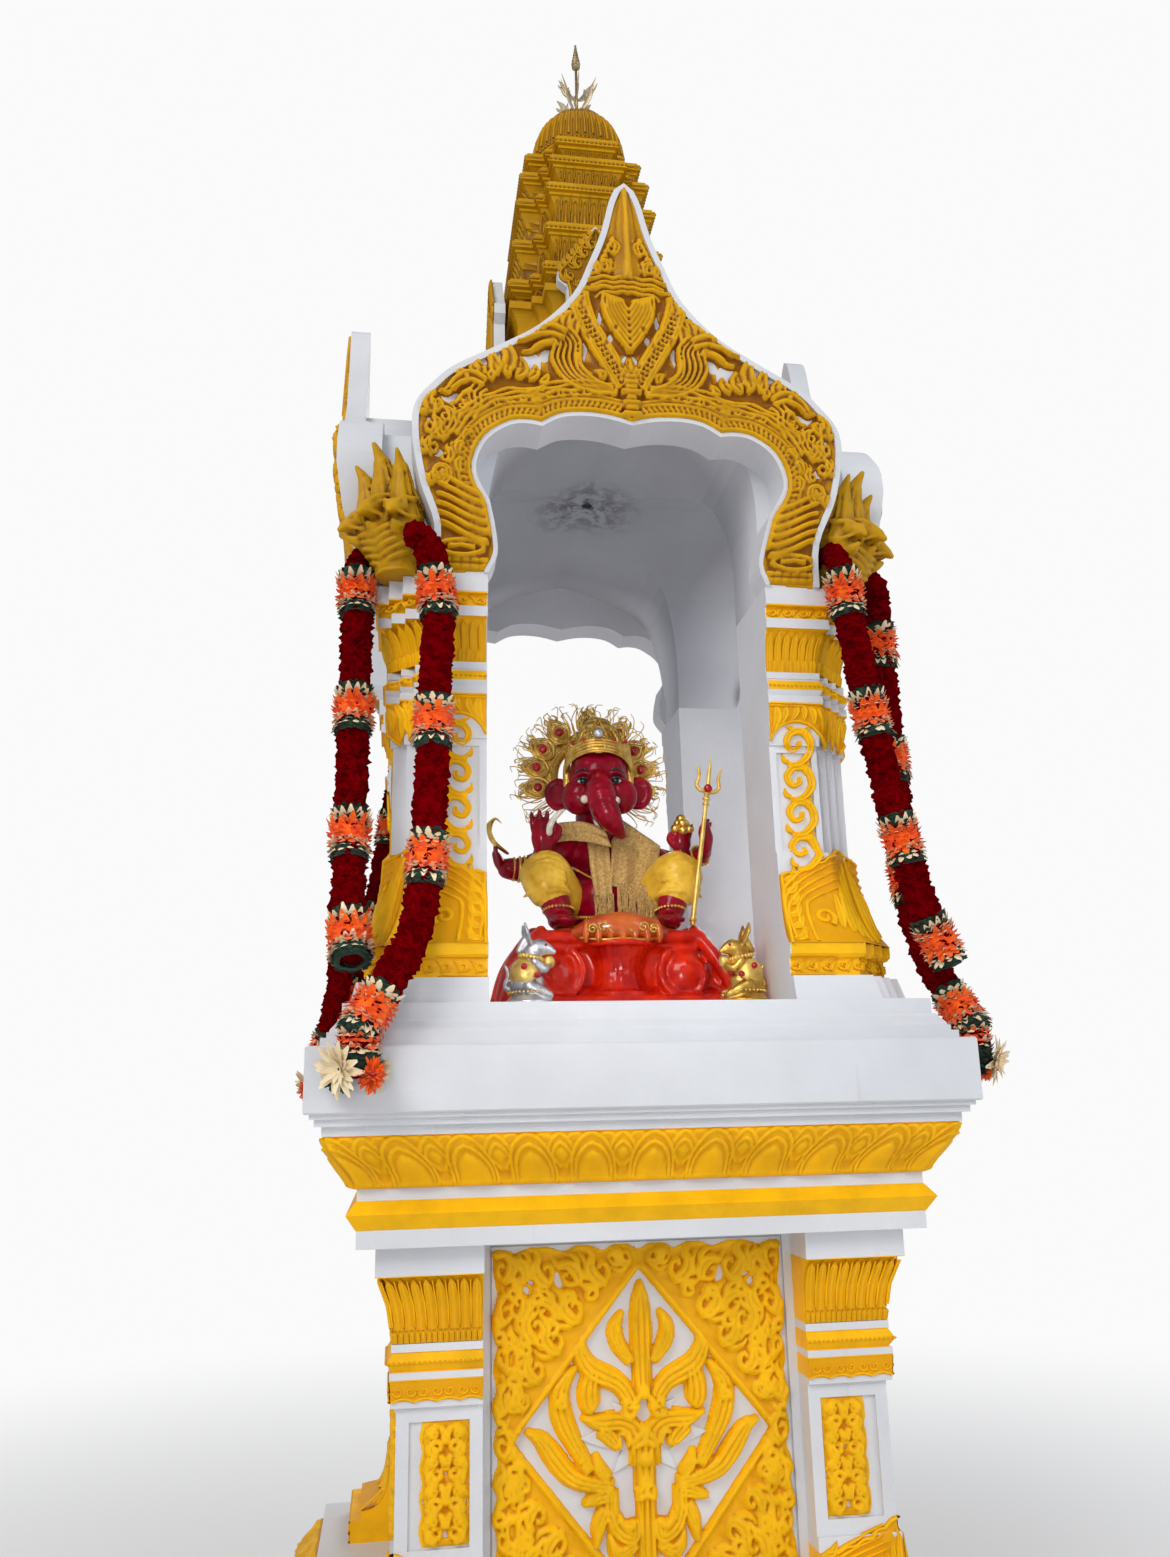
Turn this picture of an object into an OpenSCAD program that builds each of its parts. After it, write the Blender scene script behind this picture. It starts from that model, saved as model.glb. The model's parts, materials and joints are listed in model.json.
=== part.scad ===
// Spirit house of cast concrete with a four-sided arched chamber under a stepped tower,
// standing on a square moulded pedestal. All sizes are in millimetres.
// The front faces -Y and the origin is at the middle of the foot, on the ground.

/* [Pedestal] */
// Half width of the white foot of the pedestal
foot_half = 680; // [640:5:740]
// Height of the white foot block
foot_h = 120; // [80:5:160]
// Half width of the table slab
slab_half = 600; // [570:5:640]
// Thickness of the table slab
slab_t = 112; // [80:2:140]
// Height of the top of the table slab above the ground
slab_top = 1280; // [1200:10:1400]
// Half width over the corner piers of the pedestal
pier_half = 437; // [420:1:450]
// Distance of the inner side of a corner pier from the middle
pier_in = 290; // [270:1:310]
// Height of the pedestal corner piers with their bases and capitals
pier_h = 679; // [640:1:720]
// Height of the mouldings between the corner piers and the table slab
cornice_h = 222; // [200:1:250]
// Half width of the panelled wall between the corner piers
wall_half = 385; // [370:1:400]
// How far the main carving of wall and foot stands out
carving_t = 5; // [3:1:8]
// Depth of the sunk panels in piers and pillars
panel_sink = 6; // [3:1:10]

/* [Chamber] */
// Half width of the ledge on which the pillars stand
ledge_half = 543; // [530:1:560]
// Height of that ledge above the table slab
ledge_h = 75; // [55:1:95]
// Half width over the shafts of the pillars
pillar_half = 465; // [455:1:475]
// Half width of the openings between the pillars
opening_half = 285; // [275:1:295]
// Depth of one of the small steps at each pillar corner
redent = 27; // [22:1:30]
// Height of a pillar from the ledge to the top of its capital
pillar_h = 843; // [800:1:880]

/* [Gables] */
// Distance of the upper face of a gable from the middle
gable_face = 585; // [575:1:600]
// Thickness of the free top of a gable
gable_t = 40; // [30:1:50]
// Depth of the thick wall round the arch
arch_wall_t = 85; // [70:1:95]
// Width of the raised rim round a gable
rim_w = 13; // [8:1:18]
// How far the rim stands out
rim_t = 7; // [4:1:10]
// Height of the gable point above the pillar capitals
gable_h = 885; // [860:5:920]

/* [Tower] */
// Half width of the lowest tower cornice
tower_half = 206; // [195:1:215]
// How much each higher cornice is set in
tower_step = 12; // [9:1:14]
// Half width of the top dome
dome_r = 122; // [110:1:130]
// Height of the top dome
dome_h = 200; // [170:5:220]
// Height of the metal finial
finial_h = 250; // [220:5:280]

/* [Nagas] */
// Width of one naga head
naga_w = 46; // [40:1:52]
// Sideways distance of the outer naga heads from the middle one
naga_apart = 40; // [30:1:48]
// How much larger the middle naga head is
naga_mid = 1.14; // [1:0.01:1.2]

/* [Figures] */
// Half width of the throne foot
throne_half = 262; // [250:1:270]
// Height of the throne
throne_h = 195; // [180:1:205]
// Sideways place of the seated figure
figure_x = 22; // [10:1:30]
// Height of the small mice
mouse_h = 162; // [145:1:175]
// Length of the trident's shaft
trident_h = 326; // [300:1:360]

/* [Garlands] */
// Thickness of a flower strand
strand_d = 60; // [50:1:64]

/* [Hidden] */

white = "#e8ebf0";
gold_paint = "#f4b000";
far = 2000;
cap_z = slab_top + ledge_h + pillar_h;
cap_out = 41;
gable_foot_back = pillar_half - 21;
lamp_r = 14;
floor_z = slab_top + ledge_h;
apex_z = cap_z + gable_h;
pier_z = slab_top - slab_t - cornice_h - pier_h;
corner_turn = [0, 90, 180, 270];
foot_edge = -87;
gable_wide = pillar_half - 25;
roof_top = 585;
naga_at = pillar_half + 18;
seat_z = floor_z + throne_h;
// Sideways place of the head, which turns a little to one side
head_x = -18;
crown_h = 122;
// Height of the neck under the lowest tower cornice
first_neck = 66;
tier_z = [for (h = [987, 1112, 1242, 1337, 1412]) cap_z + h];
dome_turn = 84;
dome_top = tier_z[4] + 24 + (dome_h - 24) * sin(dome_turn);

// Points of a quarter-wave moulding from p to q, hollow at the bottom and full at the top
function cyma(p, q, n = 8) = [for (i = [0:n]) let (t = i / n)
    [p[0] + (q[0] - p[0]) * (1 - cos(180 * t)) / 2, p[1] + (q[1] - p[1]) * t]];

// Points of a hollow quarter curve from p to q that ends level
function cove(p, q, n = 6) = [for (i = [0:n]) let (t = 90 * i / n)
    [p[0] + (q[0] - p[0]) * (1 - cos(t)), p[1] + (q[1] - p[1]) * sin(t)]];

// Points of a flare that is wide at its foot p and upright at its top q
function cove_down(p, q, n = 7) = [for (i = [0:n]) let (t = 90 * i / n)
    [q[0] + (p[0] - q[0]) * pow(1 - sin(t), 1.4), p[1] + (q[1] - p[1]) * (1 - cos(t))]];

// Points of a flare that leaves p upright and widens towards q
function cove_up(p, q, n = 5) = [for (i = [0:n]) let (t = i / n)
    [p[0] + (q[0] - p[0]) * t * t, p[1] + (q[1] - p[1]) * t]];

// Points on a smooth curve through a list of points
function through(pts, n = 5) = [for (i = [0:len(pts) - 2]) for (k = [0:n - 1])
    let (a = pts[max(i - 1, 0)], b = pts[i], c = pts[i + 1], d = pts[min(i + 2, len(pts) - 1)],
        t = k / n)
    0.5 * (2 * b + (c - a) * t + (2 * a - 5 * b + 4 * c - d) * t * t
        + (3 * b - a - 3 * c + d) * t * t * t)];

function flip(pts) = [for (i = [len(pts) - 1:-1:0]) [-pts[i][0], pts[i][1]]];
function shift(pts, x) = [for (p = pts) [p[0] + x, p[1]]];
// Whole outline from its right half, whose edge starts half away from the middle
function whole(edge, half = 0) = concat(shift(edge, half), flip(shift(edge, half)));

// Outline in X and Z pushed out along Y
module along_y(pts, y0, y1)
    translate([0, y1, 0]) rotate([90, 0, 0]) linear_extrude(height = y1 - y0) polygon(pts);

// Outline in Y and Z pushed out along X
module along_x(pts, x0, x1)
    translate([x0, 0, 0]) rotate([90, 0, 90]) linear_extrude(height = x1 - x0) polygon(pts);

// Square block with a moulded edge that is mitred at its corners
module square_mould(half, prof) {
    intersection() {
        along_y(whole(prof, half), -far, far);
        along_x(whole(prof, half), -far, far);
    }
}

// Corner post with flat inner sides and moulded, stepped outer sides
module corner_mould(inner, half, steps, step, prof) {
    top = prof[len(prof) - 1][1];
    base = prof[0][1];
    for (i = [0:steps]) {
        a = half - i * step;
        b = half - (steps - i) * step;
        intersection() {
            along_y(concat([[inner, base]], shift(prof, a), [[inner, top]]), inner, far);
            along_x(concat([[inner, base]], shift(prof, b), [[inner, top]]), inner, far);
        }
    }
}

// Puts a corner piece, drawn at +X +Y, at corner 0 front left, 1 front right and so on
module at_corner(i) rotate([0, 0, 180 + 90 * i]) children();

// Puts a side piece, drawn at the front, on side 0 front, 1 right, 2 back, 3 left
module at_side(i) rotate([0, 0, 90 * i]) children();

// White foot, yellow hollow moulding with hanging leaves, and white steps below the piers
module pedestal_base() {
    cyma_z = foot_h + 30;
    cyma_top = pier_z - 32;
    curve = cyma([-22, cyma_z], [-80, cyma_top]);
    prof = concat([[0, 0], [0, foot_h], [-15, foot_h], [-15, cyma_z]], curve,
        [[foot_edge, cyma_top], [foot_edge, pier_z]]);
    raised = concat([[foot_edge, cyma_z]], shift(curve, carving_t), [[foot_edge, cyma_top]]);
    color(white) {
        square_mould(foot_half, prof);
        for (i = [0:3]) at_side(i) intersection() {
            square_mould(foot_half, raised);
            foot_leaves(cyma_z + 3, cyma_top - 2, -far, -foot_half - 1.3 * foot_edge);
        }
    }
}

// Row of leaves that hang from z1 to z0, pushed through from y0 to y1
module foot_leaves(z0, z1, y0, y1) {
    pitch = foot_half * 0.107;
    half = pitch * 0.3;
    tall = z1 - z0;
    leaf = [[-half, z1], [-half, z1 - tall * 0.5], [-half * 0.7, z1 - tall * 0.8], [0, z0],
        [half * 0.7, z1 - tall * 0.8], [half, z1 - tall * 0.5], [half, z1]];
    for (k = [-8:8]) along_y(shift(leaf, k * pitch), y0, y1);
}

// Core of the pedestal with a sunk panel on each side
module pedestal_wall() {
    panel_half = pier_in - 16;
    frame = 14;
    color(white) difference() {
        translate([-wall_half, -wall_half, pier_z]) cube([2 * wall_half, 2 * wall_half, pier_h]);
        for (i = [0:3]) at_side(i)
            translate([-panel_half, -wall_half - 1, pier_z + frame])
                cube([2 * panel_half, panel_sink + 1, pier_h - 2 * frame]);
        for (i = [0:3]) at_corner(i)
            translate([pier_in, pier_in, pier_z - 1]) cube([far, far, pier_h + 2]);
    }
    color(white) for (i = [0:3]) at_side(i) wall_carving();
}

// Raised ground round a lozenge, with a star of eight flames inside it
module wall_carving() {
    wide = 2 * (pier_in - 20);
    half_x = 0.618 * wall_half;
    half_z = 0.415 * pier_h;
    translate([0, panel_sink - wall_half + 1, pier_z + pier_h / 2]) rotate([90, 0, 0])
        linear_extrude(height = carving_t + 1) {
            difference() {
                square([wide, pier_h - 34], center = true);
                polygon([[half_x, 0], [0, half_z], [-half_x, 0], [0, -half_z]]);
            }
            for (k = [0:7]) rotate(45 * k) flame(k % 2 == 0 ? 0.3 * wall_half : 0.21 * wall_half);
        }
}

// Flat flame that points along +X
module flame(l)
    polygon([[0, -0.13 * l], [0.35 * l, -0.19 * l], [0.7 * l, -0.12 * l], [l, 0],
        [0.7 * l, 0.12 * l], [0.35 * l, 0.19 * l], [0, 0.13 * l]]);

// Edge of a pedestal pier, from its block and leaf base to its abacus
pier_prof = let (z = pier_z, t = pier_z + pier_h) concat(
    [[90, z], [90, z + 45], [68, z + 45], [68, z + 62], [62, z + 62]],
    cove_down([62, z + 62], [6, z + 175]),
    [[0, z + 175], [0, t - 261], [9, t - 261], [12, t - 219], [13, t - 219], [13, t - 206],
     [8, t - 204], [18, t - 190], [8, t - 174], [10, t - 174], [10, t - 161], [6, t - 161]],
    cove([6, t - 161], [33, t - 50]),
    [[40, t - 50], [40, t]]);

module pedestal_pier(i) {
    panel_a = pier_in + 22;
    panel_b = pier_half - 22;
    z0 = pier_z + 200;
    z1 = pier_z + pier_h - 285;
    color(white) at_corner(i) difference() {
        corner_mould(pier_in, pier_half, 0, 0, pier_prof);
        translate([pier_half - panel_sink, panel_a, z0])
            cube([far, panel_b - panel_a, z1 - z0]);
        translate([panel_a, pier_half - panel_sink, z0])
            cube([panel_b - panel_a, far, z1 - z0]);
    }
}

// White fillets, yellow beak band and yellow leaf moulding under the slab
module pedestal_cornice() {
    t = slab_top - slab_t;
    z = t - cornice_h;
    prof = concat([[-90, z], [-90, z + 30], [-88, z + 32], [-72, z + 56], [-88, z + 76],
        [-90, z + 78], [-90, z + 98], [-86, z + 98]],
        cyma([-86, z + 98], [-34, t - 36]),
        [[-30, t - 36], [-30, t - 20], [-18, t - 20], [-18, t - 8], [-10, t - 8], [-10, t]]);
    color(white) square_mould(slab_half, prof);
}

module table_slab() {
    z = slab_top - slab_t;
    color(white) square_mould(slab_half, [[-3, z], [0, z + 3], [0, slab_top - 3], [-3, slab_top]]);
}

module chamber_ledge() {
    z = slab_top;
    t = slab_top + ledge_h;
    color(white) square_mould(ledge_half, concat([[34, z], [34, z + 14], [24, z + 14], [24, z + 24]],
        cyma([20, z + 24], [6, t - 28], 5), [[0, t - 28], [0, t]]));
}

// Edge of a chamber pillar, from its block and leaf base to its capital
pillar_prof = let (z = floor_z, t = cap_z) concat(
    [[70, z], [58, z + 46], [40, z + 46], [40, z + 81], [46, z + 81], [51, z + 88], [51, z + 108]],
    cove_down([51, z + 108], [7, z + 292]),
    [[0, z + 292], [0, t - 331], [5, t - 331], [11, t - 245], [16, t - 245], [16, t - 227],
     [12, t - 227], [20, t - 208], [12, t - 191], [14, t - 191], [14, t - 177], [8, t - 177]],
    cove([8, t - 177], [30, t - 88]),
    [[35, t - 88], [35, t - 67], [30, t - 67], [30, t - 41], [cap_out, t - 41], [cap_out, t]]);

module pillar(i) {
    front_in = opening_half + 14;
    front_out = pillar_half - 3 * redent - 12;
    z0 = floor_z + 300;
    z1 = cap_z - 345;
    color(white) at_corner(i) difference() {
        corner_mould(opening_half, pillar_half, 3, redent, pillar_prof);
        translate([pillar_half - panel_sink, front_in, z0])
            cube([far, front_out - front_in, z1 - z0]);
        translate([front_in, pillar_half - panel_sink, z0])
            cube([front_out - front_in, far, z1 - z0]);
    }
}

// Right half of the gable outline, from its foot to its point, in X and Z above the capitals
gable_edge = concat(through([[gable_wide - 40, 0], [gable_wide - 47, 80], [gable_wide - 16, 165],
    [gable_wide, 260], [gable_wide - 6, 322], [gable_wide - 40, 370], [gable_wide - 83, 412],
    [0.6 * gable_wide, 468], [0.42 * gable_wide, 521], [116, 598], [80, 680], [53, 755],
    [34, gable_h - 52], [18, gable_h - 12]], 4), [[0, gable_h]]);

// Right half of the lobed arch, from its foot to its middle cusp, in X and Z above the capitals
arch_edge = concat(through([[opening_half, 0], [268, 34], [272, 75], [opening_half + 1, 132]], 3),
    through([[opening_half + 1, 132], [311, 175], [312, 210], [292, 252], [250, 283], [215, 290],
        [183, 286]], 3),
    through([[183, 286], [145, 308], [100, 315], [50, 312], [0, 300]], 3), [[0, 300]]);

// Half of the pointed inner vault, from its foot to its ridge, in X and Z above the capitals
vault_edge = concat(through([[opening_half, 0], [opening_half, 140], [272, 240], [235, 330],
    [120, 395], [0, 432]], 3), [[0, 432]]);

function grow(edge, d) = [for (i = [0:len(edge) - 1])
    let (a = edge[max(i - 1, 0)], b = edge[min(i + 1, len(edge) - 1)], v = b - a)
    edge[i] + (norm(v) > 0 ? d * [v[1], -v[0]] / norm(v) : [0, 0])];

// Side view of a gable: its lower part leans out from the capital, its top stands upright
gable_front_side = [[-pillar_half - cap_out, 0], [-gable_face + 40, 90], [-gable_face + 13, 180],
    [-gable_face, 270], [-gable_face, gable_h]];
gable_back_side = [[-gable_face + gable_t, gable_h], [-gable_face + gable_t, 520],
    [-gable_face + arch_wall_t, 470], [-gable_face + arch_wall_t, 240], [-gable_foot_back, 0]];

// Side view over the rims: the front stands out by rim_t
gable_side = concat([for (p = gable_front_side) [p[0] - rim_t, p[1]]], gable_back_side);

// Right half of a curve moved sideways by d, kept on the right of the middle
function beside(edge, d) = [for (p = grow(edge, d)) [max(p[0], 0), p[1]]];

// Sunk field between the outer rim and the arch rim
gable_field = let (below = -20, outer = beside(gable_edge, -rim_w),
    inner = beside(arch_edge, rim_w * 0.7), hole = concat([[inner[0][0], below]], inner))
    concat([[outer[0][0], below]], whole(outer), [[-outer[0][0], below]],
        [for (p = hole) [-p[0], p[1]]], [for (i = [len(hole) - 1:-1:0]) hole[i]]);

module gable(i) {
    front = concat([[-far, -20], gable_front_side[0] + [0, -20]], gable_front_side,
        [[-gable_face, far], [-far, far]]);
    color(white) at_side(i) translate([0, 0, cap_z]) difference() {
        intersection() {
            along_y(whole(gable_edge), -far, 0);
            along_x(gable_side, -far, far);
        }
        along_y(whole(concat([[opening_half, -20]], arch_edge)), -far - 1, 1);
        intersection() {
            along_y(gable_field, -far, 0);
            along_x(front, -far, far);
        }
    }
}

// White mass behind the gables with the crossing pointed vaults of the ceiling
module roof_vault() {
    out = gable_face - gable_t;
    in = gable_face - arch_wall_t;
    side = [[-gable_foot_back, 0], [-in, 240], [-in, 470], [-out, 520], [-out, roof_top]];
    roof_wide = gable_wide - 36;
    roof = concat(through([[roof_wide - 24, 0], [roof_wide - 32, 90], [roof_wide - 6, 200],
        [roof_wide, 280], [roof_wide - 24, 345], [roof_wide - 74, 400], [0.6 * roof_wide, 448],
        [0.41 * roof_wide, 495], [100, 560]], 3), [[92, roof_top]]);
    top_half = 168;
    corner_half = pillar_half - 65;
    color(white) translate([0, 0, cap_z]) difference() {
        union() {
            for (a = [0, 90]) rotate([0, 0, a]) intersection() {
                along_y(whole(roof), -out, out);
                along_x(concat(side, flip(side)), -far, far);
            }
            translate([-top_half, -top_half, 300]) cube([2 * top_half, 2 * top_half, roof_top - 300]);
            translate([-corner_half, -corner_half, 0]) cube([2 * corner_half, 2 * corner_half, 30]);
        }
        for (a = [0, 90]) rotate([0, 0, a])
            translate([0, 0, -0.01]) along_y(whole(vault_edge), -far, far);
        cylinder(h = 470, r = lamp_r);
    }
}

// One naga neck and head with open jaws and a flame crest, facing +X
naga_side = concat(
    through([[26, 0], [46, 34], [50, 60], [56, 74], [70, 80]], 4),
    [[70, 80], [72, 88], [52, 94], [54, 100]],
    through([[54, 100], [74, 108], [76, 118], [62, 126], [60, 146], [66, 180], [86, 230]], 4),
    through([[86, 230], [60, 208], [40, 178], [20, 140], [2, 96], [-12, 62], [-28, 34],
        [-60, 20], [-68, 0]], 4), [[-68, 0]]);

module naga(i) {
    fan = 20;
    color(gold_paint) at_corner(i) translate([naga_at, naga_at, cap_z]) rotate([0, 0, 45]) {
        scale([naga_mid, naga_mid, naga_mid]) naga_head();
        for (s = [-1, 1]) translate([0, s * naga_apart, 0]) rotate([0, 0, s * fan]) naga_head();
    }
}

module naga_head()
    translate([0, naga_w / 2, 0]) rotate([90, 0, 0]) linear_extrude(height = naga_w)
        polygon(naga_side);

// Tower: cross-shaped plan with a small step in each corner
module tower_plan(half, bay, prof) {
    sq = half - 0.55 * (half - bay);
    corner = sq - 10;
    square_mould(corner, prof);
    for (a = [0, 90]) rotate([0, 0, a]) intersection() {
        along_y(whole(prof, half), -far, far);
        along_x(whole(prof, bay), -far, far);
    }
}

function tier_half(k) = tower_half - k * tower_step - (k == 4 ? 4 : 0);
function tier_bay(k) = tier_half(k) * [0.617, 0.606, 0.62, 0.59, 0.54][k];

// One tower tier: hollow neck, then a cornice of three fillets with its top at tier_z
module tower_tier(k) {
    z0 = k == 0 ? tier_z[0] - first_neck : tier_z[k - 1];
    t = tier_z[k];
    h = t - z0 - 36;
    prof = concat([[-34, z0], [-34, z0 + 0.25 * h]],
        cove_up([-34, z0 + 0.25 * h], [-12, t - 36]),
        [[-8, t - 36], [-8, t - 26], [0, t - 26], [0, t - 10], [-6, t - 10], [-6, t]]);
    color(gold_paint) tower_plan(tier_half(k), tier_bay(k), prof);
}

module tower_body() {
    z0 = cap_z + roof_top;
    t = tier_z[0] - first_neck;
    prof = concat([[4, z0], [4, z0 + 40], [-8, z0 + 40], [-8, z0 + 60], [-26, z0 + 80],
        [-26, t - 60]], cove_up([-26, t - 60], [-10, t - 20]), [[-4, t - 20], [-4, t]]);
    color(gold_paint) tower_plan(tier_half(0), tier_bay(0), prof);
}

// Small pointed niche fronts on the four sides of the tower
module tower_gables() {
    z0 = cap_z + roof_top;
    out = tower_half + 32;
    edge = concat([[82, 0], [82, 90], [74, 100], [74, 300], [96, 318], [96, 345]],
        through([[96, 345], [72, 372], [48, 410], [26, 440], [8, 478]], 3), [[0, 480]]);
    niche = concat([[40, 40], [40, 270]], through([[40, 270], [36, 310], [20, 345]], 3), [[0, 368]]);
    color(white) for (i = [0:3]) at_side(i) translate([0, 0, z0]) difference() {
        along_y(whole(edge), -out, -tower_half - 4);
        along_y(whole(niche), -out - 1, -out + 12);
    }
}

module tower_dome() {
    z = tier_z[4];
    curve = [for (i = [0:12]) let (t = dome_turn * i / 12) [dome_r * cos(t), 24 + (dome_h - 24) * sin(t)]];
    color(gold_paint) translate([0, 0, z]) rotate_extrude($fn = 64)
        polygon(concat([[0, 0], [dome_r - 8, 0], [dome_r - 8, 14], [dome_r, 20]], curve,
            [[0, curve[12][1]]]));
}

// Metal finial: rod with two rings of curved blades and a turned point
module finial() {
    blade = concat(through([[4, 18], [34, 34], [56, 62], [68, 104]], 4),
        through([[68, 104], [50, 88], [30, 72], [4, 60]], 4), [[4, 60]]);
    color("#b08d57") translate([0, 0, dome_top]) {
        cylinder(h = finial_h - 70, r = 4, $fn = 24);
        cylinder(h = 14, r1 = 12, r2 = 6, $fn = 24);
        translate([0, 0, finial_h - 84]) rotate_extrude($fn = 24)
            polygon([[0, 0], [6, 0], [11, 16], [11, 22], [7, 36], [8, 40], [5, 54], [5, 60],
                [2, 80], [0, 90]]);
        for (a = corner_turn) rotate([90, 0, a]) translate([0, 0, -1.5]) {
            linear_extrude(height = 3) polygon(blade);
            translate([0, 62, 0]) linear_extrude(height = 3) polygon(0.62 * blade);
        }
    }
}

// Moulded throne with a waisted middle
module throne() {
    prof = concat([[0, floor_z], [0, floor_z + 26], [-14, floor_z + 34]],
        through([[-14, floor_z + 34], [-52, floor_z + 70], [-62, floor_z + 110],
            [-50, floor_z + 150], [-58, floor_z + throne_h]], 3),
        [[-58, floor_z + throne_h]]);
    color("#c8261c") translate([figure_x, 0, 0]) intersection() {
        along_y(whole(prof, throne_half), -far, far);
        along_x(whole(prof, throne_half - 40), -far, far);
    }
}

// Rounded limb between two balls
module limb(a, ra, b, rb) hull() {
    translate(a) sphere(r = ra, $fn = 14);
    translate(b) sphere(r = rb, $fn = 14);
}

// Round belly and chest of the seated figure
module torso(grow = 0) hull() {
    translate([0, 24, 62]) sphere(r = 104 + grow, $fn = 20);
    translate([0, 26, 190]) sphere(r = 76 + grow, $fn = 20);
}

// Two bent legs, two front arms and two back arms
module limbs(grow = 0) {
    for (s = [-1, 1]) {
        limb([s * 70, 10, 55], 60 + grow, [s * 150, -92, 122], 56 + grow);
        limb([s * 150, -92, 120], 52 + grow, [s * 120, -122, 24], 34 + grow);
        limb([s * 88, 24, 195], 42 + grow, [s * 150, -20, 150], 32 + grow);
        limb([s * 150, -20, 150], 32 + grow, [s * 152, -84, 200], 34 + grow);
    }
    limb([-88, 30, 190], 36 + grow, [-236, 30, 145], 24 + grow);
    limb([80, 30, 190], 36 + grow, [206, -126, 192], 28 + grow);
}

module statue_body() {
    color("#a01030") translate([figure_x, 0, seat_z]) difference() {
        union() {
            torso();
            limbs();
        }
        translate([-far, -far, -far]) cube([2 * far, 2 * far, far]);
    }
}

module skull(grow = 0) translate([head_x, -30, 336]) sphere(r = 80 + grow, $fn = 24);

module statue_head() {
    color("#b01238") translate([figure_x, 0, seat_z]) difference() {
        union() {
            skull();
            limb([head_x, -92, 326], 42, [head_x + 10, -122, 276], 35);
            limb([head_x + 10, -122, 276], 35, [head_x + 40, -118, 220], 24);
            for (s = [-1, 1]) limb([head_x + s * 80, -14, 318], 20, [head_x + s * 106, 2, 312], 32);
        }
        torso(0.3);
    }
}

// Disc with a flame edge behind the head
module halo() {
    edge = [for (i = [0:36]) let (a = -42 + 264 * i / 36, r = i % 2 == 0 ? 192 : 170)
        [-32 + r * cos(a), 372 + r * sin(a)]];
    along_y(edge, 40, 62);
}

module statue_crown() {
    color("#caa53a") translate([figure_x, 0, seat_z]) difference() {
        union() {
            halo();
            translate([head_x, -26, 384]) cylinder(h = crown_h / 2, r1 = 74, r2 = 46, $fn = 32);
            translate([head_x, -26, 384 + crown_h / 2])
                cylinder(h = crown_h / 2, r1 = 46, r2 = 10, $fn = 32);
        }
        skull(0.3);
        torso(0.3);
    }
}

// Shawl of two panels that lies on the chest and belly
module statue_shawl() {
    left = concat(through([[-92, 232], [-40, 238], [10, 200], [14, 120], [20, 30]], 3), [[20, 30]],
        through([[-30, 30], [-36, 110], [-44, 180], [-92, 190]], 3), [[-92, 190]]);
    right = [[28, 214], [72, 232], [96, 200], [92, 120], [84, 20], [24, 40], [20, 150]];
    cloth = 9;
    color("#c9a24d") translate([figure_x, 0, seat_z]) difference() {
        intersection() {
            torso(cloth);
            union() {
                along_y(left, -far, 0);
                along_y(right, -far, 0);
            }
        }
        torso(0.3);
        limbs(0.3);
    }
}

module statue_trident() {
    color("#d8b040") translate([figure_x + 164, -160, seat_z + 1]) rotate([0, 9, 0]) {
        cylinder(h = trident_h, r = 5, $fn = 20);
        translate([0, 2, trident_h - 20]) rotate([90, 0, 0]) linear_extrude(height = 5)
            polygon(concat(through([[0, 0], [24, 6], [24, 32], [30, 52]], 3), [[30, 52], [16, 30],
                [12, 14], [4, 14], [4, 50], [0, 78], [-4, 50], [-4, 14], [-12, 14], [-16, 30],
                [-30, 52]], through([[-30, 52], [-24, 32], [-24, 6], [0, 0]], 3)));
    }
}

// Small crouching mouse on a round foot
module mouse(x, shade) {
    k = mouse_h / 162;
    color(shade) translate([x, -372, floor_z]) scale([k, k, k]) {
        cylinder(h = 16, r = 50, $fn = 32);
        translate([0, 0, 16]) cylinder(h = 20, r1 = 46, r2 = 36, $fn = 32);
        hull() {
            translate([0, 4, 62]) sphere(r = 36, $fn = 14);
            translate([0, 0, 92]) sphere(r = 26, $fn = 14);
        }
        limb([0, -6, 118], 22, [x < 0 ? 18 : -18, -30, 112], 10);
        for (s = [-1, 1]) translate([s * 19, 2, 142]) rotate([90, 0, 0])
            cylinder(h = 8, r = 16, center = true, $fn = 20);
    }
}

// Tube of flowers along a route, with a ring of points square to the way it runs
function unit(v) = v / norm(v);
module strand(route, r, sides = 10) {
    n = len(route);
    ring = [for (i = [0:n - 1]) let (d = unit(route[min(i + 1, n - 1)] - route[max(i - 1, 0)]),
        u = unit(cross(d, [0.31, -0.27, 0.05])), v = cross(d, u))
        for (j = [0:sides - 1]) route[i] + r * (u * cos(360 * j / sides) + v * sin(360 * j / sides))];
    ends = [[for (j = [0:sides - 1]) j], [for (j = [sides - 1:-1:0]) (n - 1) * sides + j]];
    walls = [for (i = [0:n - 2]) for (j = [0:sides - 1]) let (k = (j + 1) % sides)
        [i * sides + j, (i + 1) * sides + j, (i + 1) * sides + k, i * sides + k]];
    polyhedron(points = ring, faces = concat(ends, walls), convexity = 6);
}

// Route of a garland from its tassel, up the front of the pillar, round the naga necks and down
// the side, measured from the foot of the nagas
garland_route = [[-29, -151, -973], [-23, -149, -893], [17, -129, -818], [58, -113, -738],
    [81, -101, -618], [89, -94, -458], [93, -91, -278], [98, -90, -118], [81, -85, 12],
    [59, -73, 50], [51, -32, 72], [49, 18, 80], [37, 37, 82], [-26, 51, 75],
    [-57, 50, 46], [-60, 44, -10], [-57, 31, -118], [-57, -12, -420], [-55, -60, -650],
    [-45, -109, -768]];

module garland(i) {
    color("#8a0a18") at_side(i) translate([-naga_at, -naga_at, cap_z])
        strand(garland_route, strand_d / 2);
}

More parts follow.
